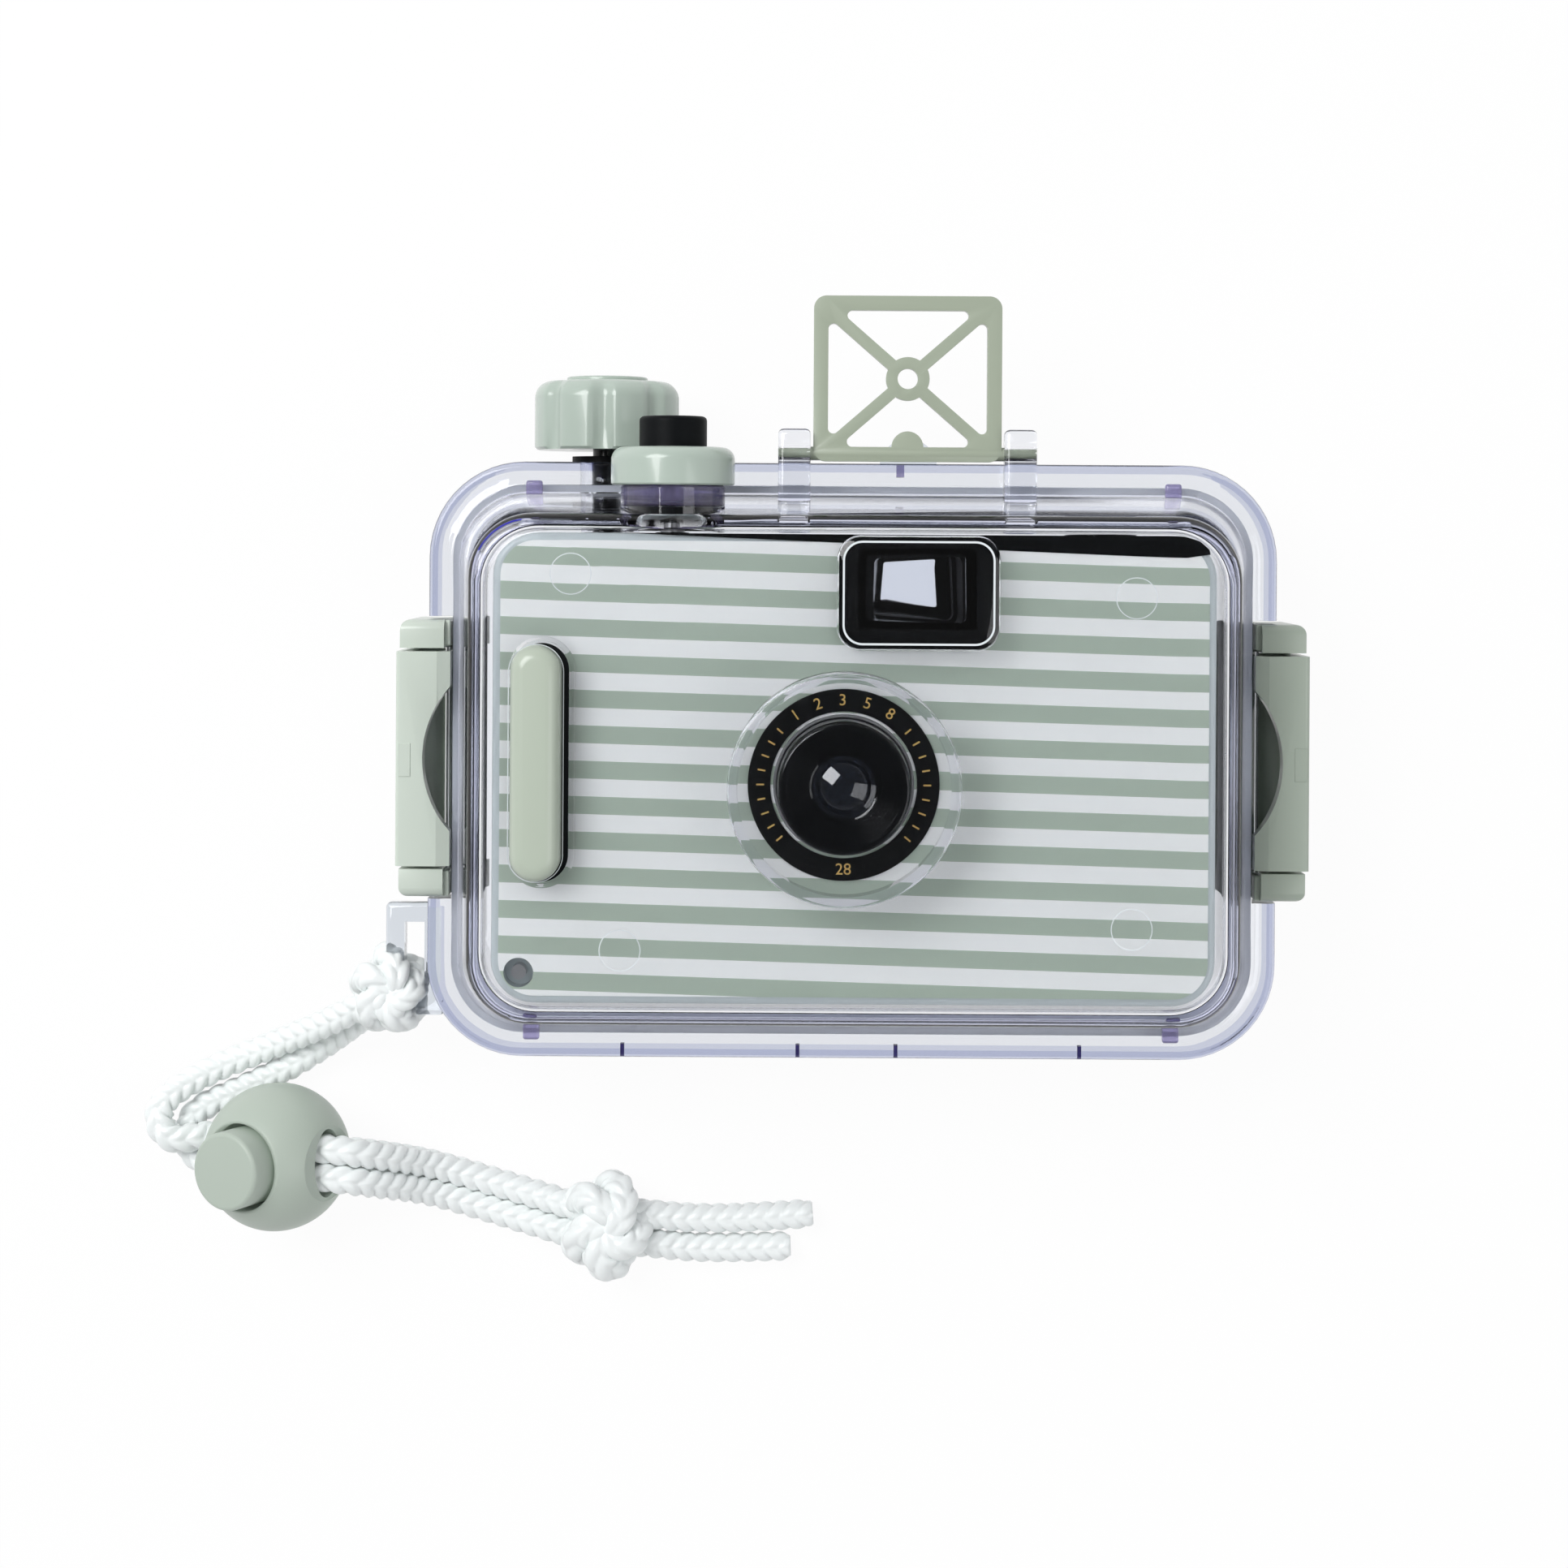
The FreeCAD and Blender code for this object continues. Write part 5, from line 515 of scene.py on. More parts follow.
def combine(made: bpy.types.Object, others: Sequence[bpy.types.Object], way: str) -> bpy.types.Object:
    """Add solids to a piece or take them from it.

    Args:
        made: the piece.
        others: the solids, which are used up.
        way: UNION or DIFFERENCE.

    Returns:
        The piece.
    """
    for other in others:
        step = made.modifiers.new(way.lower(), "BOOLEAN")
        step.operation = way
        step.solver = "EXACT"
        step.object = other
        settle(made)
        bpy.data.objects.remove(other)
    return made


def dressed_copy(frame: dict, node: str, finish: Finish, soft: float, body: str,
                 above: float = 35.0) -> bpy.types.Object:
    """Put a softened copy of a solid in its place.

    Args:
        frame: the loaded frame.
        node: the solid's name.
        finish: its finish.
        soft: radius of its edges, in millimetres.
        body: the body it rides on.
        above: angle above which an edge is softened, in degrees.

    Returns:
        The copy.
    """
    made = placed(node + "_finished", frame["nodes"][node].data.copy())
    paint(made.data, finish)
    made.modifiers.new("merge", "WELD").merge_threshold = SAME_POINT
    flat = made.modifiers.new("flat faces", "DECIMATE")
    flat.decimate_type = "DISSOLVE"
    flat.angle_limit = FLAT_ANGLE
    soften(made, soft, above)
    settle(made)
    polish(made, 40)
    return set_piece(made, body, finish, node)


def set_piece(made: bpy.types.Object, body: str, finish: Finish, *nodes: str) -> bpy.types.Object:
    """Let a piece ride on its body and stand for its solids.

    Args:
        made: the piece.
        body: the body it rides on.
        finish: not used.
        nodes: the solids that it replaces.

    Returns:
        The piece.
    """
    if nodes:
        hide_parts(*nodes)
    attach(made, body)
    LOG.info("%s", made.name)
    return made


# ---- the case


@dataclass
class CaseSizes:
    """Sizes that both halves of the case share, in millimetres."""

    half_width: float = 64.85
    half_height: float = 45.5
    corner: float = 14.6
    rim: float = 4.1
    wall: float = 2.0
    parting: float = 19.0
    seam: float = 0.03
    flange: float = 3.0
    face: float = 41.0
    front_draft: float = 4.2
    rear_draft: float = 3.2
    wall_corner: float = 10.5
    lean_share: float = 0.25
    inset_share: float = 0.5

    def loop(self, inset: float, level: float, corner: float | None = None) -> Loop:
        """One rounded rectangle, given by how far it lies inside the flange's edge."""
        radius = self.corner - inset if corner is None else corner
        return (self.half_width - inset, self.half_height - inset, radius, level)

    def wall_loop(self, lean: float, level: float, more: float) -> Loop:
        """A wall's rectangle, given by how far its draft leans in and what is asked beyond that."""
        corner = self.wall_corner - self.lean_share * lean - self.inset_share * more
        return self.loop(self.rim + lean + more, level, corner)

    def front_wall(self, level: float, more: float = 0.0) -> Loop:
        """The drafted front wall's rectangle at a level, inset by a little more if asked."""
        return self.wall_loop(self.front_draft * (level - self.parting) / (self.face - self.parting), level, more)

    def rear_wall(self, level: float, more: float = 0.0) -> Loop:
        """The drafted rear wall's rectangle at a level, inset by a little more if asked."""
        return self.wall_loop(self.rear_draft * (self.parting - level) / self.parting, level, more)

    def rounded(self, base: Loop, rise: float, angles: np.ndarray) -> list[Loop]:
        """Loops that turn a wall over into a flat face.

        Args:
            base: the wall's rectangle where the rounding starts.
            rise: radius of the rounding, below 0 where it turns downwards.
            angles: place of each loop on the quarter circle, 0 at the wall.

        Returns:
            The loops.
        """
        insets = [abs(rise) * (1 - math.cos(a)) for a in angles]
        return [(base[0] - more, base[1] - more, base[2] - self.inset_share * more, base[3] + rise * math.sin(a))
                for a, more in zip(angles, insets)]

    def flange_edge(self, way: int) -> list[Loop]:
        """Loops round the flange's edge, from the parting plane to its outer face.

        Args:
            way: 1 for the front half and -1 for the rear half.

        Returns:
            The loops.
        """
        face, bevel, soft = self.parting + way * self.flange, 0.25, 0.9
        loops = [self.loop(bevel, self.parting + way * self.seam), self.loop(0.0, self.parting + way * bevel)]
        return loops + [self.loop(soft - soft * math.cos(a), face - way * soft + way * soft * math.sin(a))
                        for a in np.linspace(0.1, 1.57, 5)]


@dataclass
class ClearCase:
    """The two clear halves with everything moulded on them."""

    sizes: CaseSizes = field(default_factory=CaseSizes)
    port_radius: float = 17.0
    port_level: float = 48.0
    port_wall: float = 1.6
    port_round: float = 0.5
    finder: Pair = (9.2, 26.2)
    finder_half: Pair = (11.9, 8.4)
    finder_top: float = 44.0
    finder_wall: float = 1.5
    grip: Pair = (-45.75, 1.1)
    sight: Point = (8.0, 46.9, 25.4)
    ear_reach: Pair = (14.65, 19.55)
    ear_span: Pair = (36.2, 50.6)
    ear_half: float = 2.7
    pads: Pair = (42.8, 23.5)
    post: Pair = (48.7, 41.3)
    latch_middle: float = 0.2
    notch_half: float = 21.6
    notch_from: float = 62.1
    notch_step: float = 0.9
    notch_end: float = 80.0
    bracket_from: float = 16.9
    edge: float = 1.45
    marks: tuple[Pair, ...] = ((-41.7, 28.7), (41.2, 25.6), (-34.2, -26.4), (40.7, -22.9))

    def notches(self, low: float, high: float) -> list[bpy.types.Object]:
        """Blocks that cut the two latch notches into a flange.

        Args:
            low: lower level of the blocks.
            high: upper level of the blocks.

        Returns:
            The blocks.
        """
        y, half, deep, end = self.latch_middle, self.notch_half, self.notch_from - self.notch_step, self.notch_end
        spans = [(self.notch_from, y - half, y + half), (deep, y - half, y - self.bracket_from),
                 (deep, y + self.bracket_from, y + half)]
        return [box_piece("notch", (min(side * x, side * end), near, low), (max(side * x, side * end), far, high),
                          CLEAR) for side in (-1, 1) for x, near, far in spans]

    def front_shell(self) -> bpy.types.Object:
        """Skin of the front half: flange with a raised rim, drafted wall, rounded face, and the inside.

        Returns:
            The closed skin.
        """
        s = self.sizes
        top, under, rise, inner_rise = s.parting + s.flange, s.face - s.wall, 1.8, 1.2
        outside = s.flange_edge(1)
        outside += [s.loop(1.4, top), s.loop(2.0, top - 0.12), s.loop(2.6, top - 0.4), s.loop(3.2, top - 0.45)]
        outside += [s.loop(3.9, top - 0.3), s.front_wall(top + 0.5, 0.05), s.front_wall(top + 1.4)]
        outside += [s.front_wall(s.face - rise - 6), s.front_wall(s.face - rise - 0.6)]
        outside += s.rounded(s.front_wall(s.face - rise), rise, np.linspace(0, math.pi / 2, 7))
        inside = s.rounded(s.front_wall(under - inner_rise, s.wall), inner_rise, np.linspace(math.pi / 2, 0, 6))
        inside += [s.front_wall(under - 8, s.wall), s.front_wall(s.parting + 0.2, s.wall),
                   s.front_wall(s.parting + s.seam, s.wall - 0.2)]
        return self.shell("front_case_finished", outside, inside)

    def shell(self, name: str, outside: list[Loop], inside: list[Loop]) -> bpy.types.Object:
        """One closed skin: outside loops to a flat cap, inside loops back from the cap's other side."""
        return outwards(stack(name, outside[::-1] + inside[::-1], CLEAR))

    def front(self) -> bpy.types.Object:
        """The whole front half.

        Returns:
            The piece.
        """
        s = self.sizes
        inner, top = s.face - s.wall, self.finder_top
        made = self.front_shell()
        soft = self.port_round
        port = turned("port", [(self.port_radius, inner + 0.5), (self.port_radius, s.face + 0.6)]
                      + arc((self.port_radius - soft, self.port_level - soft), soft, 0, 90, 4), CLEAR, LENS_AT,
                      sides=96)
        a, b = self.finder_half
        box = stack("finder box", [(a, b, 3.5, inner + 0.5), (a, b, 3.5, top - 0.8),
                                   (a - 0.25, b - 0.25, 3.3, top - 0.25), (a - 0.8, b - 0.8, 2.9, top)],
                    CLEAR, self.finder)
        boss = turned("release boss", [(7.8, 35.6), (7.8, 41.5), (7.5, 41.85)], CLEAR, RELEASE_AT, Along.Y, 64)
        sx, sy, sz = self.sight
        ears = []
        for side in (-1, 1):
            near, far = sorted(sx + side * reach for reach in self.ear_reach)
            ears.append(box_piece("ear", (near, self.ear_span[0], sz - self.ear_half),
                                  (far, self.ear_span[1], sz + self.ear_half), CLEAR, 0.8))
        lug = turned("sight lug", [(4.4, 20.2), (4.4, 21.6)], CLEAR, (sx + 0.3, 44.9, 0), sides=48)
        marks = [turned("mark", [(3.0, 40.6), (3.0, 41.08), (2.7, 41.12)], CLEAR, (mx, my, 0), sides=40)
                 for mx, my in self.marks]
        seat = stack("grip seat", [(4.9, 18.4, 4.85, 40.5), (4.9, 18.4, 4.85, 41.4), (4.7, 18.2, 4.65, 41.5)], CLEAR,
                     self.grip)
        combine(made, [port, box, boss, lug, seat, *ears, *marks], "UNION")
        bore, wall = self.port_radius - self.port_wall, self.finder_wall
        tools = [
            turned("port hollow", [(bore, inner - 1), (bore, self.port_level - 2)], CLEAR, LENS_AT, sides=96),
            stack("finder hollow", [(a - wall, b - wall, 2.7, inner - 1), (a - wall, b - wall, 2.7, top - wall)],
                  CLEAR, self.finder),
            turned("seal seat", [(6.85, 29.0), (6.85, 38.6)], CLEAR, RELEASE_AT, Along.Y, 64),
            turned("rod bore", [(1.85, 28.0), (1.85, 43.0)], CLEAR, RELEASE_AT, Along.Y, 32),
            stack("grip hollow", [(4.25, 17.75, 4.2, 41.0), (4.25, 17.75, 4.2, 43.0)], CLEAR, self.grip),
            turned("pivot bore", [(1.1, -22.0), (1.1, 38.0)], CLEAR, (0, sy, sz), Along.X, 24),
            *self.notches(s.parting - 1, s.parting + s.flange + 1),
        ]
        combine(made, tools, "DIFFERENCE")
        return self.shade_flange_edge(polish(made))

    def shade_flange_edge(self, made: bpy.types.Object) -> bpy.types.Object:
        """Lay painted shade on the flange's outer edge: a darker grey clear plastic in a band round it.

        A face belongs to the edge when its middle lies less than the edge's width inside the
        flange's rounded rectangle and between the flange's two levels.

        Args:
            made: a half of the case.

        Returns:
            The same half, with a second material on those faces.
        """
        s = self.sizes
        mesh = made.data
        # the second material is painted shade on the flange's outer band
        mesh.materials.append(FLANGE_EDGE_SHADE.material())
        at = numbers(mesh.polygons, "center") / MM
        beyond = np.abs(at[:, :2]) - (s.half_width - s.corner, s.half_height - s.corner)
        far = np.linalg.norm(np.maximum(beyond, 0), axis=1) + np.minimum(beyond.max(axis=1), 0) - s.corner
        level = np.abs(at[:, 2] - s.parting) < s.flange + 0.2
        mesh.polygons.foreach_set("material_index", ((far > -self.edge) & level).astype(np.int32))
        return made

    def rear(self) -> bpy.types.Object:
        """The whole rear half.

        Returns:
            The piece.
        """
        s = self.sizes
        low, rise, inner_rise = s.parting - s.flange, 1.6, 1.0
        outside = s.flange_edge(-1)
        outside += [s.loop(3.7, low), s.rear_wall(low - 0.5, 0.05), s.rear_wall(low - 1.2), s.rear_wall(6.0)]
        outside += s.rounded(s.rear_wall(rise), -rise, np.linspace(0, math.pi / 2, 6))
        inside = s.rounded(s.rear_wall(s.wall + inner_rise, s.wall), -inner_rise, np.linspace(math.pi / 2, 0, 5))
        inside += [s.rear_wall(s.parting - 0.2, s.wall), s.rear_wall(s.parting - s.seam, s.wall - 0.2)]
        made = self.shell("rear_case_finished", outside, inside)
        boss = turned("wind boss", [(4.03, 36.2), (4.03, 45.6)], CLEAR, WIND_AT, Along.Y, 48)
        loop = box_piece("strap loop", (-71.55, -39.75, low), (-62.5, -22.45, s.parting), CLEAR, 0.7)
        pads = [turned("pad", [(2.5, 1.0), (2.5, 3.2)], CLEAR, (self.pads[0] * u, self.pads[1] * v, 0), sides=32)
                for u in (-1, 1) for v in (-1, 1)]
        combine(made, [boss, loop, *pads], "UNION")
        tools = [
            turned("wind bore", [(2.25, 34.0), (2.25, 47.0)], CLEAR, WIND_AT, Along.Y, 40),
            box_piece("loop eye", (-68.65, -36.85, low - 1), (-65.55, -25.35, s.parting + 1), CLEAR),
            box_piece("in the knot", (-72.5, -40.5, low - 1), (-66.8, -31.8, s.parting + 1), CLEAR),
            *self.notches(low - 1, s.parting + 1),
        ]
        combine(made, tools, "DIFFERENCE")
        return self.shade_flange_edge(polish(made))

    def trim(self) -> None:
        """Add painted highlights as thin bright rings on the finder box's rim, round the grip and round the face
        marks, and the violet marks of the case's thick places.
        """
        s = self.sizes
        a, b = self.finder_half
        top = self.finder_top
        # painted highlights: thin bright rings for the glint on the finder box's rim, round the grip's seat and round
        # the face marks
        rim = stack("finder_box_glint", [(a - 0.8, b - 0.8, 2.9, top + 0.02), (a - 0.8, b - 0.8, 2.9, top + 0.1),
                                        (a - 1.1, b - 1.1, 2.6, top + 0.1), (a - 1.1, b - 1.1, 2.6, top + 0.02)],
                    PAINTED_GLINT, self.finder, closed=True)
        line = stack("grip_glint", [(4.1, 17.45, 4.05, 41.62), (4.1, 17.45, 4.05, 41.7), (3.97, 17.32, 3.92, 41.7),
                                   (3.97, 17.32, 3.92, 41.62)], PAINTED_GLINT, (-46.6, 0.95), closed=True)
        set_piece(rim, "case", PAINTED_GLINT)
        set_piece(line, "case", PAINTED_GLINT)
        for i, (x, y) in enumerate(self.marks):
            ring = turned(f"face_mark_glint_{i + 1}", [(2.94, 41.14), (3.06, 41.14), (3.06, 41.2), (2.94, 41.2)], PAINTED_GLINT,
                          (x, y, 0), sides=64, closed=True)
            set_piece(ring, "case", PAINTED_GLINT)
        low = s.parting + s.flange
        for i, (u, v) in enumerate(((-1, -1), (1, -1), (-1, 1), (1, 1))):
            px, py = self.post[0] * u, self.post[1] * v
            post = box_piece(f"corner_rib_{i + 1}", (px - 1.25, py - 1.3, low + 0.05),
                             (px + 1.25, py + 1.3, low + 1.6), VIOLET, 0.4)
            set_piece(post, "case", VIOLET)
        ticks = ((-34.9, -1, 0.3, DEEP), (-8.1, -1, 0.3, DEEP), (6.9, -1, 0.3, DEEP), (35.0, -1, 0.3, DEEP),
                 (7.1, 1, 0.6, VIOLET))
        for i, (x, side, half, finish) in enumerate(ticks):
            near, far = sorted((side * 43.5, side * 45.2))
            tick = box_piece(f"flange_tick_{i + 1}", (x - half, near, low - 1.6), (x + half, far, low - 0.5), finish)
            set_piece(tick, "case", finish)
        profile = [(7.7, 41.7), (7.2, 41.7), (7.15, 40.9), (6.8, 40.1), (6.0, 39.4), (4.6, 38.95), (4.6, 38.7),
                   (6.3, 38.8), (7.1, 39.5), (7.6, 40.5)]
        bowl = turned("release_bowl", profile, VIOLET, RELEASE_AT, Along.Y, 64, closed=True)
        set_piece(outwards(bowl), "case", VIOLET)

    def build(self, frame: dict) -> None:
        """Build both halves and the pieces seated on them.

        Args:
            frame: the loaded frame.
        """
        set_piece(self.front(), "case", CLEAR, "front_case")
        set_piece(self.rear(), "case", CLEAR, "rear_case")
        repaint(frame, SEAL, "case_gasket")
        half_x, half_y, corner, level, soft = 3.7, 17.2, 3.65, 43.4, 2.2
        loops = [(half_x, half_y, corner, 41.6), (half_x, half_y, corner, level)]
        for a in np.linspace(0.2, 1.57, 7):
            more = soft * (1 - math.cos(a))
            loops.append((half_x - more, half_y - more, corner - more, level + soft * math.sin(a)))
        grip = stack("grip_bar_finished", loops, BAR, (-46.5, 1.1), smooth_below=50)
        set_piece(grip, "case", BAR, "grip_bar")
        repaint(frame, BLACK, "grip_backing")
        self.trim()


def outwards(made: bpy.types.Object) -> bpy.types.Object:
    """Point a closed skin's faces away from its inside, judged by the sign of its volume.

    Args:
        made: the skin.

    Returns:
        The skin.
    """
    mesh = made.data
    mesh.calc_loop_triangles()
    at, corner = numbers(mesh.vertices, "co"), numbers(mesh.loop_triangles, "vertices", int)
    a, b, c = at[corner].transpose(1, 0, 2)
    if np.einsum("ij,ij->i", a, np.cross(b, c)).sum() < 0:
        mesh.flip_normals()
    return made


def repaint(frame: dict, finish: Finish, *nodes: str) -> None:
    """Give solids that are shown as they are their finish."""
    for node in nodes:
        paint(frame["nodes"][node].data, finish)


# ---- controls


@dataclass
class Controls:
    """Winding knob, shutter release, sports finder and the two latches."""

    knob_radius: float = 11.3
    knob_top: float = 58.2
    knob_round: float = 2.6
    flutes: int = 8
    flute_depth: float = 0.95
    feet: tuple[Pair, Pair] = ((-20.85, -17.0), (17.3, 21.25))
    foot_reach: Pair = (61.35, 62.9)
    mark_reach: Pair = (67.1, 69.0)

    def knob(self) -> bpy.types.Object:
        """Knob with eight shallow flutes that run out into its large rounded top.

        Returns:
            The piece.
        """
        radius, top, rise = self.knob_radius, self.knob_top, self.knob_round
        profile = [(2.3, 47.5), (10.9, 47.5), (radius, 47.9), (radius, 51.0), (radius, top - rise)]
        profile += arc((radius - rise, top - rise), rise, 8, 90, 8) + [(6.5, top), (6.3, 58.35)]
        profile += arc((6.0, 58.6), 0.3, 0, 90, 4)

        def fluted(radius: np.ndarray, angle: np.ndarray, level: np.ndarray) -> np.ndarray:
            """Flutes: a narrow dip every eighth of a turn, on the outer wall only.

            Args:
                radius: radius of each point before.
                angle: its angle.
                level: its level.

            Returns:
                The radius with the flutes.
            """
            dip = np.clip(np.cos(self.flutes * angle), 0, 1) ** 1.6
            outer = np.clip((radius - 7.2) / 4.1, 0, 1)
            low = np.clip((level - 47.4) / 0.5, 0.4, 1)
            return radius - self.flute_depth * dip * outer * low

        return turned("wind_knob_finished", profile, KNOB, WIND_AT, Along.Y, 192, shape=fluted)

    def latch_trim(self, side: int, name: str, finish: Finish) -> None:
        """Add a latch's raised mark and the feet that show through the clear flange.

        Args:
            side: -1 for the left latch and 1 for the right one.
            name: name of the latch and of its body.
            finish: its finish.
        """
        def span(reach: Pair, low: float, high: float, level: Pair) -> tuple[Point, Point]:
            """The two corners of a box on the latch's side."""
            near, far = sorted(side * x for x in reach)
            return (near, low, level[0]), (far, high, level[1])

        for end, (low, high) in enumerate(self.feet):
            foot = box_piece(f"{name}_foot_{end + 1}", *span(self.foot_reach, low, high, (12.0, 23.2)), finish, 0.3)
            set_piece(foot, "case", finish)
        mark = box_piece(name + "_mark", *span(self.mark_reach, -2.5, 2.6, (25.1, 25.32)), finish, 0.08)
        set_piece(mark, name, finish)

    def build(self, frame: dict) -> None:
        """Build the controls.

        Args:
            frame: the loaded frame.
        """
        set_piece(self.knob(), "winder", KNOB, "wind_knob")
        collar = turned("shutter_collar_finished", [(1.9, 41.85), (9.0, 41.85), (9.25, 42.1), (9.25, 45.65)]
                        + arc((7.35, 45.65), 1.9, 10, 90, 8) + arc((5.6, 47.35), 0.2, 90, 180, 3)
                        + [(5.4, 42.75), (1.9, 42.75)], KNOB, RELEASE_AT, Along.Y, 96, closed=True)
        set_piece(collar, "case", KNOB, "shutter_collar")
        cap = turned("shutter_cap_finished", [(4.6, 46.35), (5.05, 46.4), (5.05, 51.4)]
                     + arc((4.35, 51.45), 0.7, 0, 80, 5) + [(2.5, 52.18), (0.02, 52.2)], RUBBER, RELEASE_AT,
                     Along.Y)
        set_piece(cap, "release", RUBBER, "shutter_cap")
        dressed_copy(frame, "sports_finder_frame", SIGHT, 0.35, "sports_finder")
        # the left latch gets the lit copy and the right one the darker copy: painted shade on the latch away from the
        # key lamp
        for side, name, finish in ((-1, "left_latch", LATCH_LIT), (1, "right_latch", LATCH_IN_PAINTED_SHADE)):
            clip = dressed_copy(frame, name + "_clip", finish, 0.45, name)
            corners = [(side * x, y, z) for y in (-20, 20)
                       for x, z in ((60.9, 24.35), (63.3, 25.25), (63.3, 27), (60.9, 27))]
            faces = [(0, 1, 2, 3), (7, 6, 5, 4), (0, 4, 5, 1), (1, 5, 6, 2), (2, 6, 7, 3), (3, 7, 4, 0)]
            slope = piece("slope", np.array(corners) * MM, faces, finish)
            polish(combine(clip, [outwards(slope)], "DIFFERENCE"), 15)
            dressed_copy(frame, name + "_bracket", finish, 0.7, "case")
            self.latch_trim(side, name, finish)
        repaint(frame, RUBBER, "wind_seal", "release_seal")
        repaint(frame, BLACK, "wind_shaft")
        repaint(frame, STEEL, "release_rod", "release_spring", "retaining_ring", "left_latch_pin", "right_latch_pin")


# ---- the camera inside


@dataclass
class InnerCamera:
    """The striped camera in the case with its lens, finder and film path."""

    ring_level: float = 37.7
    print_rise: float = 0.03
    numeral_reach: float = 12.0
    numeral_size: float = 2.3
    window: Pair = (9.4, 26.15)
    eye: Pair = (10.2, 26.0)
    edge_levels: Pair = (37.22, 37.3)
    shade_wall: float = 0.35

    def print_on_ring(self) -> None:
        """Gold numerals and ticks on the black ring round the lens."""
        x, y, _ = LENS_AT
        for text, degrees in (("1", 125), ("2", 108), ("3", 91), ("5", 74), ("8", 57), ("28", 270)):
            set_piece(self.numeral(text, degrees), "case", GOLD)
        spots = np.radians(np.concatenate([np.arange(140, 221, 10), np.arange(-40, 41, 10)]))
        corner = np.array([(11.3, -0.12), (12.4, -0.12), (12.4, 0.12), (11.3, 0.12)])
        cos, sin = np.cos(spots)[:, None], np.sin(spots)[:, None]
        across = x + corner[None, :, 0] * cos - corner[None, :, 1] * sin
        up = y + corner[None, :, 0] * sin + corner[None, :, 1] * cos
        points = np.stack([across, up, np.full_like(up, self.ring_level + self.print_rise)], axis=-1) * MM
        faces = np.arange(points.shape[0] * 4).reshape(-1, 4)
        set_piece(piece("ring_ticks", points, faces, GOLD), "case", GOLD)

    def numeral(self, text: str, degrees: float) -> bpy.types.Object:
        """Lay a numeral on the ring at an angle, upright in the picture.

        Args:
            text: the numeral.
            degrees: its place on the ring, anticlockwise from the right.

        Returns:
            The object.
        """
        line = bpy.data.curves.new("numeral_" + text, "FONT")
        line.body = text
        line.size = self.numeral_size * MM
        line.align_x = line.align_y = "CENTER"
        line.extrude = 0.02 * MM
        drawn = placed("numeral_" + text, line)
        mesh = settled_mesh(drawn)
        bpy.data.objects.remove(drawn)
        bpy.data.curves.remove(line)
        at = numbers(mesh.vertices, "co")
        turn = math.radians(degrees - 90 if degrees < 180 else degrees + 90)
        cos, sin = math.cos(turn), math.sin(turn)
        flat = np.stack([at[:, 0] * cos - at[:, 1] * sin, at[:, 0] * sin + at[:, 1] * cos, at[:, 2]], axis=-1)
        (x, y, _), reach, place = LENS_AT, self.numeral_reach * MM, math.radians(degrees)
        flat += (x * MM + reach * math.cos(place), y * MM + reach * math.sin(place),
                 (self.ring_level + self.print_rise) * MM)
        mesh.vertices.foreach_set("co", flat.ravel())
        paint(mesh, GOLD)
        return placed("numeral_" + text, mesh)

    def top_and_painted_shade(self) -> None:
        """Black wedge above the striped panel: partly the cover's black upper edge, partly painted shade for the dark
        band that refraction through the case wall lays over the panel's top.
        """
        # painted shade: the wedge's lower edge sinks towards the right, where the dark band is widest
        upper = np.array([(-34.0, 34.78), (-2.6, 34.78), (23.0, 34.78), (48.5, 34.78), (51.0, 34.2), (52.4, 32.9)])
        lower = np.array([(-34.0, 34.7), (-2.6, 33.5), (23.0, 32.4), (42.0, 31.7), (49.0, 31.5), (52.4, 32.0)])
        ring = np.concatenate([lower, upper[::-1]])
        points = np.stack([np.append(ring, np.full((len(ring), 1), z), axis=1) for z in self.edge_levels]) * MM
        set_piece(outwards(skin("cover_top_and_painted_shade", points, GLOSS)), "case", GLOSS)

    def shade(self) -> None:
        """Matt black funnel that narrows in steps from the finder's window to its eye."""
        narrow = 3.55
        steps = ((7.5, 5.1, 33.4), (7.4, 5.0, 31.0), (6.8, 4.5, 30.6), (6.4, 4.2, 22.0), (5.9, 3.8, 21.6),
                 (5.3, 3.5, 12.6), (narrow, 2.45, 12.2), (narrow, 2.45, 11.8))
        loops = []
        for wall, order in ((0.0, steps), (self.shade_wall, steps[::-1])):
            for a, b, z in order:
                flat = outline(a + wall, b + wall, 0.3 + 0.3 * (a - narrow)) + (self.window if z > 20 else self.eye)
                loops.append(np.append(flat, np.full((len(flat), 1), z), axis=1))
        made = skin("finder_shade", np.stack(loops) * MM, MATT, closed=True)
        set_piece(outwards(made), "case", MATT)

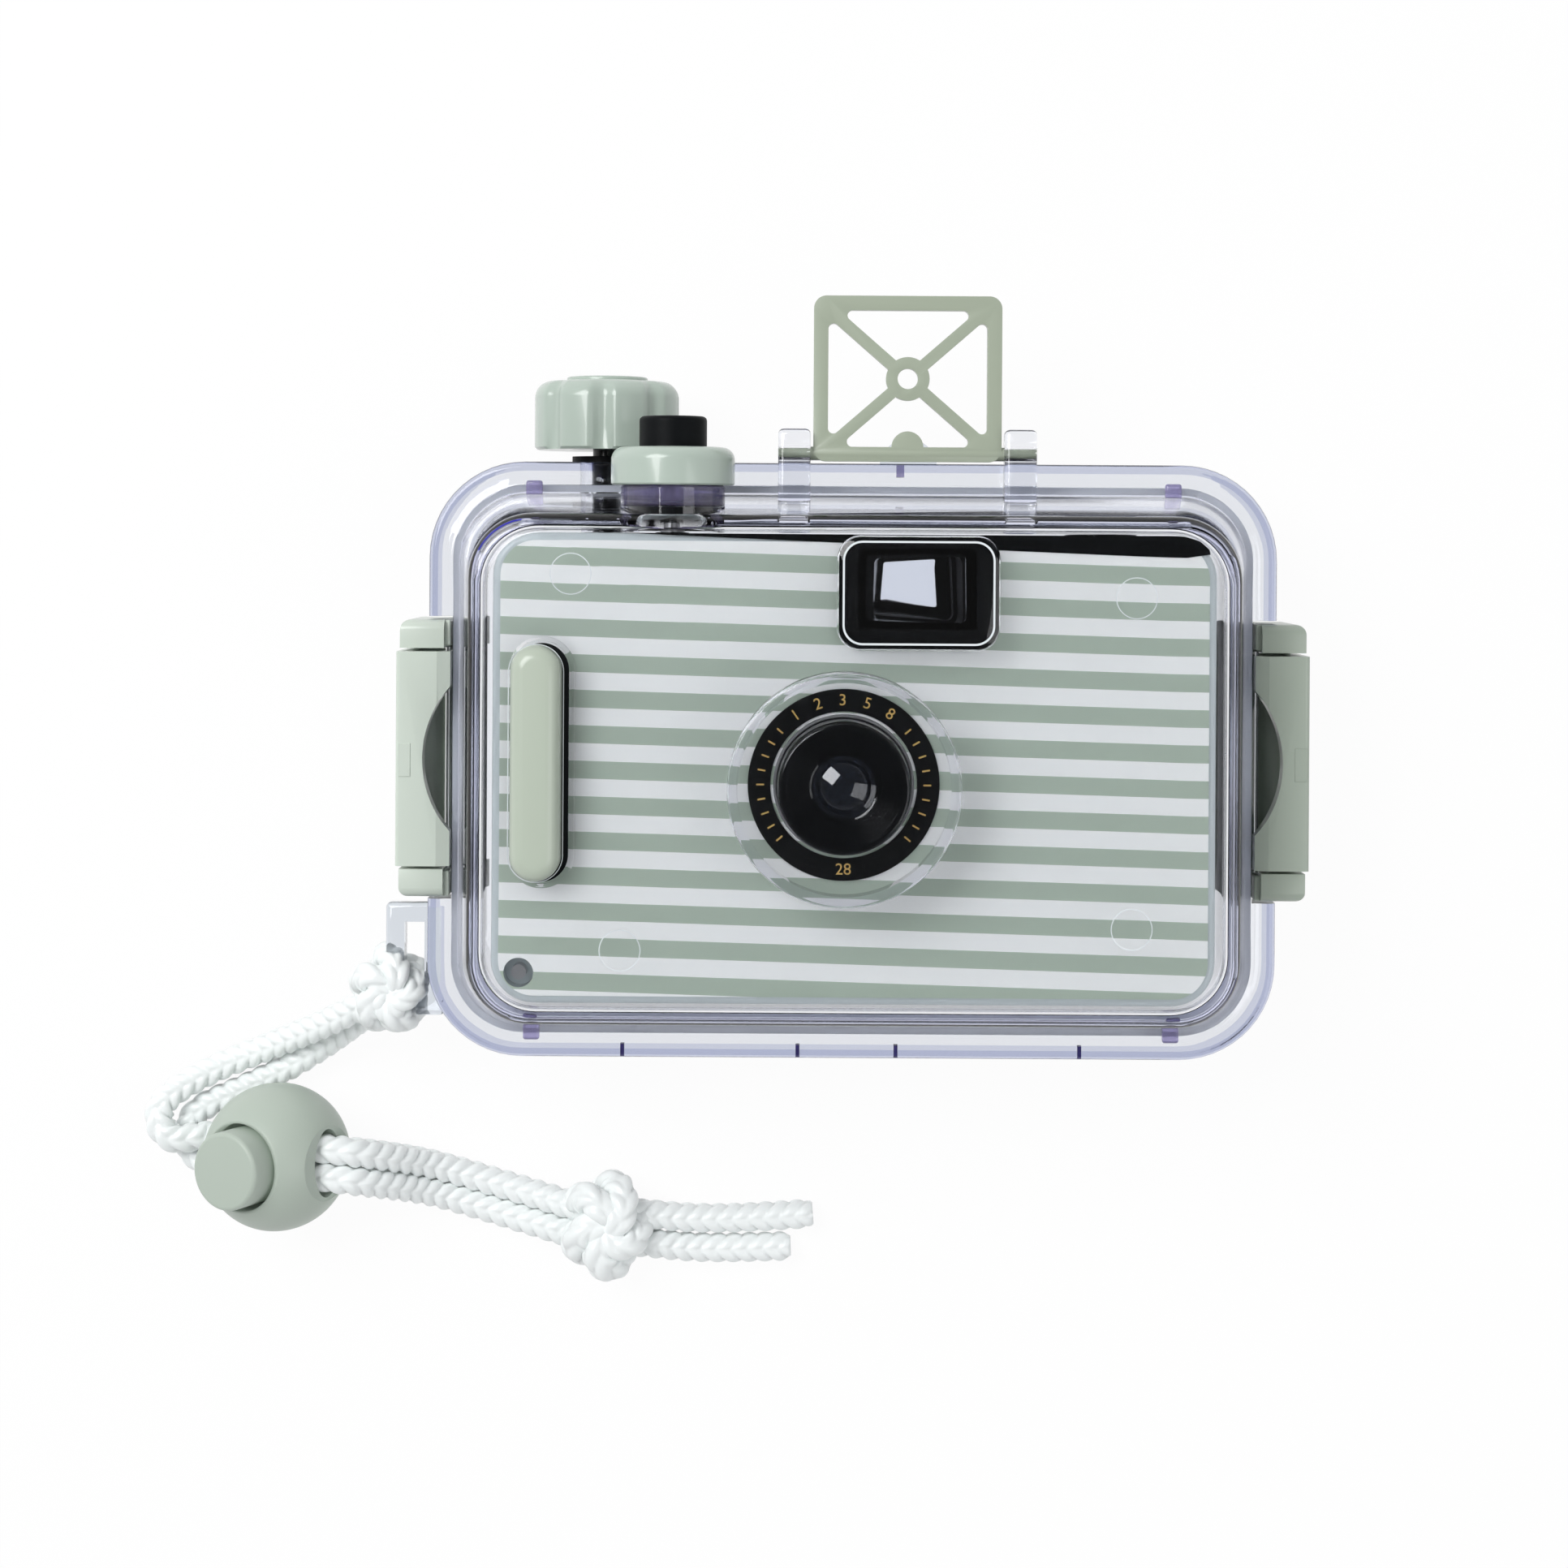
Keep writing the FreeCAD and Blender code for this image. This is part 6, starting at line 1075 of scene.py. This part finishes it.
    def build(self, frame: dict) -> None:
        """Dress the camera's solids and add the lens and the print.

        Args:
            frame: the loaded frame.
        """
        repaint(frame, BLACK, "camera_body", "camera_back_door", "finder_tunnel", "cassette_spool", "rewind_knob",
                "sprocket_roller", "take_up_spool", "thumbwheel", "camera_button")
        repaint(frame, SHELL, "front_cover")
        repaint(frame, STRIPED, "striped_panel")
        repaint(frame, STEEL, "strap_pin", "film_cassette", "plate_spring", "cord_lock_spring")
        repaint(frame, GLASS, "finder_front_lens", "finder_rear_lens", "front_lens", "rear_lens")
        repaint(frame, MATT, "lens_stop", "shutter_blade", "pressure_plate")
        repaint(frame, FILM, "film_strip")
        repaint(frame, WHITE, "counter_dial")
        ring = turned("lens_ring_finished", [(10.4, 37.2), (13.5, 37.2), (13.6, 37.3), (13.6, 37.6), (13.5, 37.7),
                                             (10.5, 37.7), (10.4, 37.6)], BLACK, LENS_AT, sides=128, closed=True)
        set_piece(ring, "case", BLACK, "lens_ring")
        steps = [(3.05, 35.5), (9.5, 35.5), (9.5, 44.5)] + arc((9.0, 44.5), 0.5, 10, 90, 4)
        steps += [(8.5, 45.0), (8.3, 44.7)]
        tread, rise = 0.45, 0.42
        for step in range(7):
            outer, top = 8.2 - step * tread, 44.3 - step * rise
            steps += [(outer, top), (outer - tread + 0.12, top), (outer - tread + 0.04, top - 0.1)]
        steps += [(4.95, 41.3), (4.65, 41.2), (4.65, 40.0), (3.05, 40.0)]
        barrel = turned("lens_barrel_finished", steps, GLOSS, LENS_AT, sides=128, closed=True)
        set_piece(barrel, "case", GLOSS, "lens_barrel")
        edge, apex, bulge = 3.7, 43.0, 6.6
        drop = np.linspace(edge, 0.02, 16)
        dome = [(4.55, 40.0), (4.55, 41.3), (edge + 0.15, 41.45)]
        dome += [(r, apex - (bulge - math.sqrt(bulge ** 2 - r ** 2))) for r in drop]
        set_piece(turned("front_lens_finished", dome, LENS, LENS_AT, sides=96), "case", LENS, "front_lens")
        self.shade()
        rim = turned("lens_rim", [(9.56, 37.2), (10.0, 37.2), (10.0, 37.75), (9.9, 37.9), (9.66, 37.9),
                                  (9.56, 37.75)], STEEL, LENS_AT, sides=128, closed=True)
        set_piece(rim, "case", STEEL)
        self.print_on_ring()
        self.top_and_painted_shade()


def tilted(made: bpy.types.Object, middle: Point, angle: float) -> bpy.types.Object:
    """Turn a piece about the Y axis and move it to its middle, in its mesh."""
    made.data.transform(Matrix.Translation(Vector(middle) * MM) @ Matrix.Rotation(-angle, 4, "Y"))
    return made


# ---- the cord


def smooth_line(points: Sequence[Point]) -> np.ndarray:
    """A quadratic spline that starts and ends at its first and last control point.

    Args:
        points: control points, in millimetres.

    Returns:
        Points on the line, in millimetres.
    """
    hull = np.array(points, float)
    middles = (hull[1:-2] + hull[2:-1]) / 2
    start = np.concatenate([hull[:1], middles])
    end = np.concatenate([middles, hull[-1:]])
    t = np.linspace(0, 1, 24, endpoint=False)[None, :, None]
    line = (1 - t) ** 2 * start[:, None] + 2 * t * (1 - t) * hull[1:-1][:, None] + t ** 2 * end[:, None]
    return np.concatenate([line.reshape(-1, 3), hull[-1:]])


def even_line(line: np.ndarray, step: float) -> np.ndarray:
    """The same line with its points an even distance apart.

    Args:
        line: points of the line.
        step: the distance wanted.

    Returns:
        The new points, eight at least.
    """
    along = np.concatenate([[0], np.cumsum(np.linalg.norm(np.diff(line, axis=0), axis=1))])
    count = max(int(along[-1] / step), 8)
    target = np.linspace(0, along[-1], count)
    return np.stack([np.interp(target, along, line[:, k]) for k in range(3)], axis=-1)


@dataclass
class BraidedCord:
    """Two strands of braided cord, their knots and the lock."""

    radius: float = 2.0
    full: float = 2.25
    pitch: float = 2.5
    relief: float = 0.7
    columns: int = 4
    lean: float = 0.95
    lock: Point = (-89.4, -63.2, 11.4)
    tilt: float = math.radians(28)
    spacing: float = 4.4
    bore: float = 8.4
    sides: int = 48
    clearance: float = 0.03

    def on_lock(self, distance: float, side: int, lift: float = 0.0) -> Point:
        """A point on a strand's way through the lock."""
        return (self.lock[0] + distance * math.cos(self.tilt) - lift * math.sin(self.tilt),
                self.lock[1] + side * self.spacing / 2,
                self.lock[2] + distance * math.sin(self.tilt) + lift * math.cos(self.tilt))

    def upper(self) -> list[Point]:
        """Control points of the outer strand."""
        return [(-71.8, -36.4, 15.5), (-76.2, -39.4, 13.2), (-84.5, -43.9, 7.6), (-93.2, -47.9, 2.7),
                (-101.4, -51.2, 2.6), (-108.6, -55.3, 4.9), (-109.3, -58.8, 6.3), (-107.0, -61.6, 7.0),
                (-103.4, -61.2, 6.9), self.on_lock(-12.2, 1), self.on_lock(0.0, 1, 0.12), self.on_lock(11.9, 1),
                (-72.4, -63.0, 11.6), (-66.3, -65.6, 4.4), (-57.9, -68.5, 2.1), (-47.6, -71.3, 2.9),
                (-40.6, -72.9, 5.2), (-33.5, -73.2, 4.6), (-25.5, -74.6, 2.2), (-15.5, -74.5, 2.05),
                (-5.5, -73.7, 2.1)]

    def lower(self) -> list[Point]:
        """Control points of the inner strand."""
        return [(-72.6, -38.6, 10.6), (-76.8, -42.0, 8.0), (-83.5, -47.2, 3.2), (-90.5, -51.6, 2.1),
                (-97.3, -54.8, 2.2), (-102.8, -57.1, 2.1), (-105.2, -59.5, 2.1), (-105.2, -63.4, 2.7),
                (-102.2, -65.5, 4.6), self.on_lock(-11.0, -1), self.on_lock(0.0, -1, 0.12),
                self.on_lock(11.9, -1), (-72.7, -67.4, 11.4), (-66.6, -69.9, 4.2), (-58.3, -72.8, 2.1),
                (-48.0, -75.7, 2.9), (-40.5, -77.4, 5.2), (-33.2, -77.8, 4.6), (-25.6, -79.2, 2.2),
                (-17.3, -79.3, 2.05), (-9.0, -78.9, 2.1)]

    def tube(self, name: str, line: np.ndarray, radius: float, closed: bool = False,
             frayed: bool = False) -> bpy.types.Object:
        """A braided tube along a line: columns of short slanting plaits.

        Round the tube lie an even number of columns. In each the plaits slant one way, in
        the next the other way, and where two columns meet the plaits meet too, so that the
        grooves between them make a row of chevrons. The radius falls by the relief in the
        grooves between plaits and by half of it between columns.

        Args:
            name: name of the piece.
            line: points of its middle, in millimetres.
            radius: the tube's radius.
            closed: whether the line is a loop.
            frayed: whether its last end is melted and narrowed.

        Returns:
            The object.
        """
        if closed:
            ahead, up = np.roll(line, -1, axis=0) - np.roll(line, 1, axis=0), np.array([0.3, 0.2, 1.0])
        else:
            ahead, up = np.gradient(line, axis=0), np.array([0.0, 0.0, 1.0])
        ahead /= np.linalg.norm(ahead, axis=1)[:, None]
        side = np.cross(ahead, up)
        side /= np.linalg.norm(side, axis=1)[:, None]
        normal = np.cross(side, ahead)
        run = np.concatenate([[0], np.cumsum(np.linalg.norm(np.diff(line, axis=0), axis=1))])[:, None]
        angle = (np.arange(self.sides) * 2 * math.pi / self.sides)[None, :]
        place = angle * self.columns / (2 * math.pi)
        across = place % 1.0
        slant = np.where(place.astype(int) % 2 == 0, 1.0, -1.0)
        phase = run / self.pitch + slant * (across - 0.5) * self.lean
        plait = np.abs(np.sin(math.pi * phase)) ** 0.75
        column = np.sin(math.pi * across) ** 0.6
        reach = radius + self.relief * (plait * (0.5 + 0.5 * column) - 0.75)
        if frayed:
            melted, narrow, flare = 1.6, 0.72, 0.28
            reach = reach * (narrow + flare * np.sqrt(np.clip((run[-1] - run) / melted, 0, 1)))
        points = (line[:, None] + reach[..., None] * (np.cos(angle)[..., None] * side[:, None]
                                                      + np.sin(angle)[..., None] * normal[:, None])) * MM
        points[..., 2] = np.maximum(points[..., 2], self.clearance * MM)
        return outwards(skin(name, points, CORD, closed, 60))

    def strand(self, name: str, node: str, points: list[Point]) -> None:
        """One strand of the cord.

        Args:
            name: name of the piece.
            node: the solid that it replaces.
            points: its control points, in millimetres.
        """
        line = even_line(smooth_line(points), 0.3)
        made = self.tube(name, line, self.full, frayed=True)
        set_piece(made, "case", CORD, node)

    def knot(self, name: str, node: str, middle: Point, radii: Point, spin: float, radius: float) -> None:
        """A knot: one cord wound twice round a ring and through it five times, squeezed to size.

        Args:
            name: name of the piece.
            node: the solid that it replaces.
            middle: its middle, in millimetres.
            radii: how far it reaches along each axis.
            spin: its turn about the upright axis, in radians.
            radius: the cord's radius in the knot.
        """
        t = np.linspace(0, 2 * math.pi, 420, endpoint=False)
        ring, throw, turns, winds = 2.6, 2.1, 2, 5
        out = ring + throw * np.cos(winds * t)
        loop = np.stack([out * np.cos(turns * t), out * np.sin(turns * t), -throw * np.sin(winds * t)], axis=-1)
        loop = loop @ np.array([[math.cos(spin), math.sin(spin), 0], [-math.sin(spin), math.cos(spin), 0], [0, 0, 1]])
        loop *= (np.array(radii) - radius) / np.abs(loop).max(axis=0)
        made = self.tube(name, loop + np.array(middle), radius, closed=True)
        set_piece(made, "case", CORD, node)

    @staticmethod
    def oval(radius: np.ndarray, angle: np.ndarray, level: np.ndarray) -> np.ndarray:
        """Radius of the ball's oval mouth: an ellipse, wider the way the two strands lie side by side."""
        wide, high = 5.3, 3.2
        return radius * wide * high / np.hypot(high * np.cos(angle), wide * np.sin(angle))

    def lock_pieces(self, frame: dict) -> None:
        """The lock's ball and button, and a mesh of its own for its spring.

        Args:
            frame: the loaded frame.
        """
        ball = dressed_copy(frame, "cord_lock_ball", LOCK, 0.3, "case", above=25)
        gap = turned("button gap", [(6.75, 6.3), (6.75, 13.0)], LOCK, (0, 0, 0), sides=64)
        mouth = turned("mouth", [(1.0, 5.6), (1.0, 13.0)], LOCK, (0, 0, 0), Along.X, 64, shape=self.oval)
        combine(ball, [tilted(tool, self.lock, self.tilt) for tool in (gap, mouth)], "DIFFERENCE")
        polish(ball, 40)
        dressed_copy(frame, "cord_lock_button", LOCK, 0.3, "cord_lock_press", above=25)
        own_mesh(frame["nodes"]["cord_lock_spring"])

    def build(self, frame: dict) -> None:
        """Build the cord and what is on it.

        Args:
            frame: the loaded frame.
        """
        self.lock_pieces(frame)
        self.knot("hitch_knot_finished", "hitch_knot", (-71.2, -36.3, 15.2), (6.5, 7.3, 6.0), 0.4, 2.2)
        self.knot("end_knot_finished", "end_knot", (-38.3, -75.0, 5.7), (7.5, 8.7, 5.6), 1.2, 2.5)
        self.strand("cord_strand_a_finished", "cord_strand_a", self.upper())
        self.strand("cord_strand_b_finished", "cord_strand_b", self.lower())


# ---- table, light and camera


@dataclass
class Studio:
    """White table, soft light from above and the left, and the view from straight above."""

    foot: Pair = (-7.44, 35.7)
    distance: float = 450.0
    level: float = 22.0
    width: float = 239.57
    roll: float = math.radians(0.35)
    shift: Pair = (-24 / PHOTO_SIDE, -316 / PHOTO_SIDE)
    sensor: float = 36.0
    ambient: float = 0.42
    overhead: float = 0.03
    seen_share: float = 0.95
    aim: Point = (0.0, 0.0, 0.02)
    lamps: tuple[tuple[str, Point, float, float], ...] = (("key", (-0.45, 0.35, 0.75), 0.5, 6.0),
                                                          ("fill", (0.6, -0.2, 0.8), 0.6, 2.0))

    def table(self) -> None:
        """A white table that keeps the object's soft shadow."""
        made = box_piece("table", (-1500, -1500, -20), (1500, 1500, 0), Finish("white table", (0.9, 0.9, 0.9), 0.8))
        tree = made.data.materials[0].node_tree
        nodes, links = tree.nodes, tree.links
        glow = add_node(nodes, "ShaderNodeEmission", {"Strength": 1.0})
        mix = add_node(nodes, "ShaderNodeMixShader")
        links.new(self.seen_rays(nodes, links), mix.inputs["Fac"])
        wire(links, (nodes["Principled BSDF"], "BSDF", mix, 1), (glow, "Emission", mix, 2),
             (mix, "Shader", nodes["Material Output"], "Surface"))

    def seen_rays(self, nodes: bpy.types.Nodes, links: bpy.types.NodeLinks) -> bpy.types.NodeSocket:
        """Tell the rays that are seen, straight or by way of glass and gloss.

        Args:
            nodes: the nodes of a material or of the world.
            links: their links.

        Returns:
            A socket that is near 1 for those rays.
        """
        path = add_node(nodes, "ShaderNodeLightPath")
        first = add_node(nodes, "ShaderNodeMath", operation="MAXIMUM")
        second = add_node(nodes, "ShaderNodeMath", operation="MAXIMUM")
        wire(links, (path, "Is Camera Ray", first, 0), (path, "Is Glossy Ray", first, 1), (first, 0, second, 0),
             (path, "Is Transmission Ray", second, 1))
        share = add_node(nodes, "ShaderNodeMath", {1: self.seen_share}, operation="MULTIPLY")
        wire(links, (second, 0, share, 0))
        return share.outputs[0]

    def world(self) -> None:
        """Grey light from all round, white where it is seen, and a dim ceiling for what gloss shows."""
        world = bpy.data.worlds.new("studio")
        bpy.context.scene.world = world
        world.use_nodes = True
        nodes, links = world.node_tree.nodes, world.node_tree.links
        ground = nodes["Background"]
        ground.inputs["Color"].default_value = (0.97, 0.98, 1.0, 1)
        ground.inputs["Strength"].default_value = self.ambient
        bright = add_node(nodes, "ShaderNodeBackground", {"Strength": 1.0})
        mirrored = add_node(nodes, "ShaderNodeBackground")
        path = add_node(nodes, "ShaderNodeLightPath")
        level = add_node(nodes, "ShaderNodeMath", operation="MAXIMUM", use_clamp=True)
        links.new(self.ceiling(nodes, links), level.inputs[0])
        wire(links, (path, "Diffuse Depth", level, 1), (level, 0, mirrored, "Strength"))
        first = add_node(nodes, "ShaderNodeMixShader")
        links.new(self.seen_rays(nodes, links), first.inputs["Fac"])
        wire(links, (ground, "Background", first, 1), (mirrored, "Background", first, 2))
        second = add_node(nodes, "ShaderNodeMixShader")
        wire(links, (path, "Is Camera Ray", second, "Fac"), (first, "Shader", second, 1),
             (bright, "Background", second, 2), (second, "Shader", nodes["World Output"], "Surface"))

    def ceiling(self, nodes: bpy.types.Nodes, links: bpy.types.NodeLinks) -> bpy.types.NodeSocket:
        """Dim the light that comes from overhead, as in a room with a dark ceiling.

        Args:
            nodes: the world's nodes.
            links: their links.

        Returns:
            A socket that is 1 for low directions and falls to a little overhead.
        """
        place = add_node(nodes, "ShaderNodeTexCoord")
        split = add_node(nodes, "ShaderNodeSeparateXYZ")
        fall = add_node(nodes, "ShaderNodeMapRange", {"From Min": 0.2, "From Max": 0.75, "To Min": 1.0,
                                                      "To Max": self.overhead}, interpolation_type="SMOOTHSTEP")
        wire(links, (place, "Generated", split, "Vector"), (split, "Z", fall, "Value"))
        return fall.outputs["Result"]

    def lamp(self, name: str, at: Point, size: float, power: float) -> None:
        """A square soft lamp that looks at the object's middle.

        Args:
            name: its name.
            at: its place, in metres.
            size: length of its side, in metres.
            power: its power, in watts.
        """
        light = bpy.data.lights.new(name, "AREA")
        light.size = size
        light.energy = power
        made = placed(name, light)
        made.location = at
        made.rotation_euler = (Vector(self.aim) - Vector(at)).to_track_quat("-Z", "Y").to_euler()

    def camera(self) -> None:
        """Look straight down, with the frame shifted so that the object lies where it does."""
        lens = bpy.data.cameras.new("view")
        lens.sensor_width = self.sensor
        lens.lens = self.sensor * self.distance / self.width
        lens.shift_x, lens.shift_y = self.shift
        lens.clip_start = 0.01
        made = placed("view", lens)
        cos, sin = math.cos(self.roll), math.sin(self.roll)
        x, y = self.foot
        made.location = ((x * cos - y * sin) * MM, (x * sin + y * cos) * MM, (self.level + self.distance) * MM)
        made.rotation_euler = (0, 0, self.roll)
        bpy.context.scene.camera = made

    def build(self) -> None:
        """Set the table, the light and the camera."""
        self.table()
        self.world()
        for lamp in self.lamps:
            self.lamp(*lamp)
        self.camera()
        bpy.context.scene.view_settings.view_transform = "Standard"


def main() -> None:
    """Build the whole scene."""
    logging.basicConfig(level=logging.INFO, format="%(message)s")
    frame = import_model()
    ClearCase().build(frame)
    Controls().build(frame)
    InnerCamera().build(frame)
    BraidedCord().build(frame)
    Studio().build()


if __name__ == "__main__":
    main()
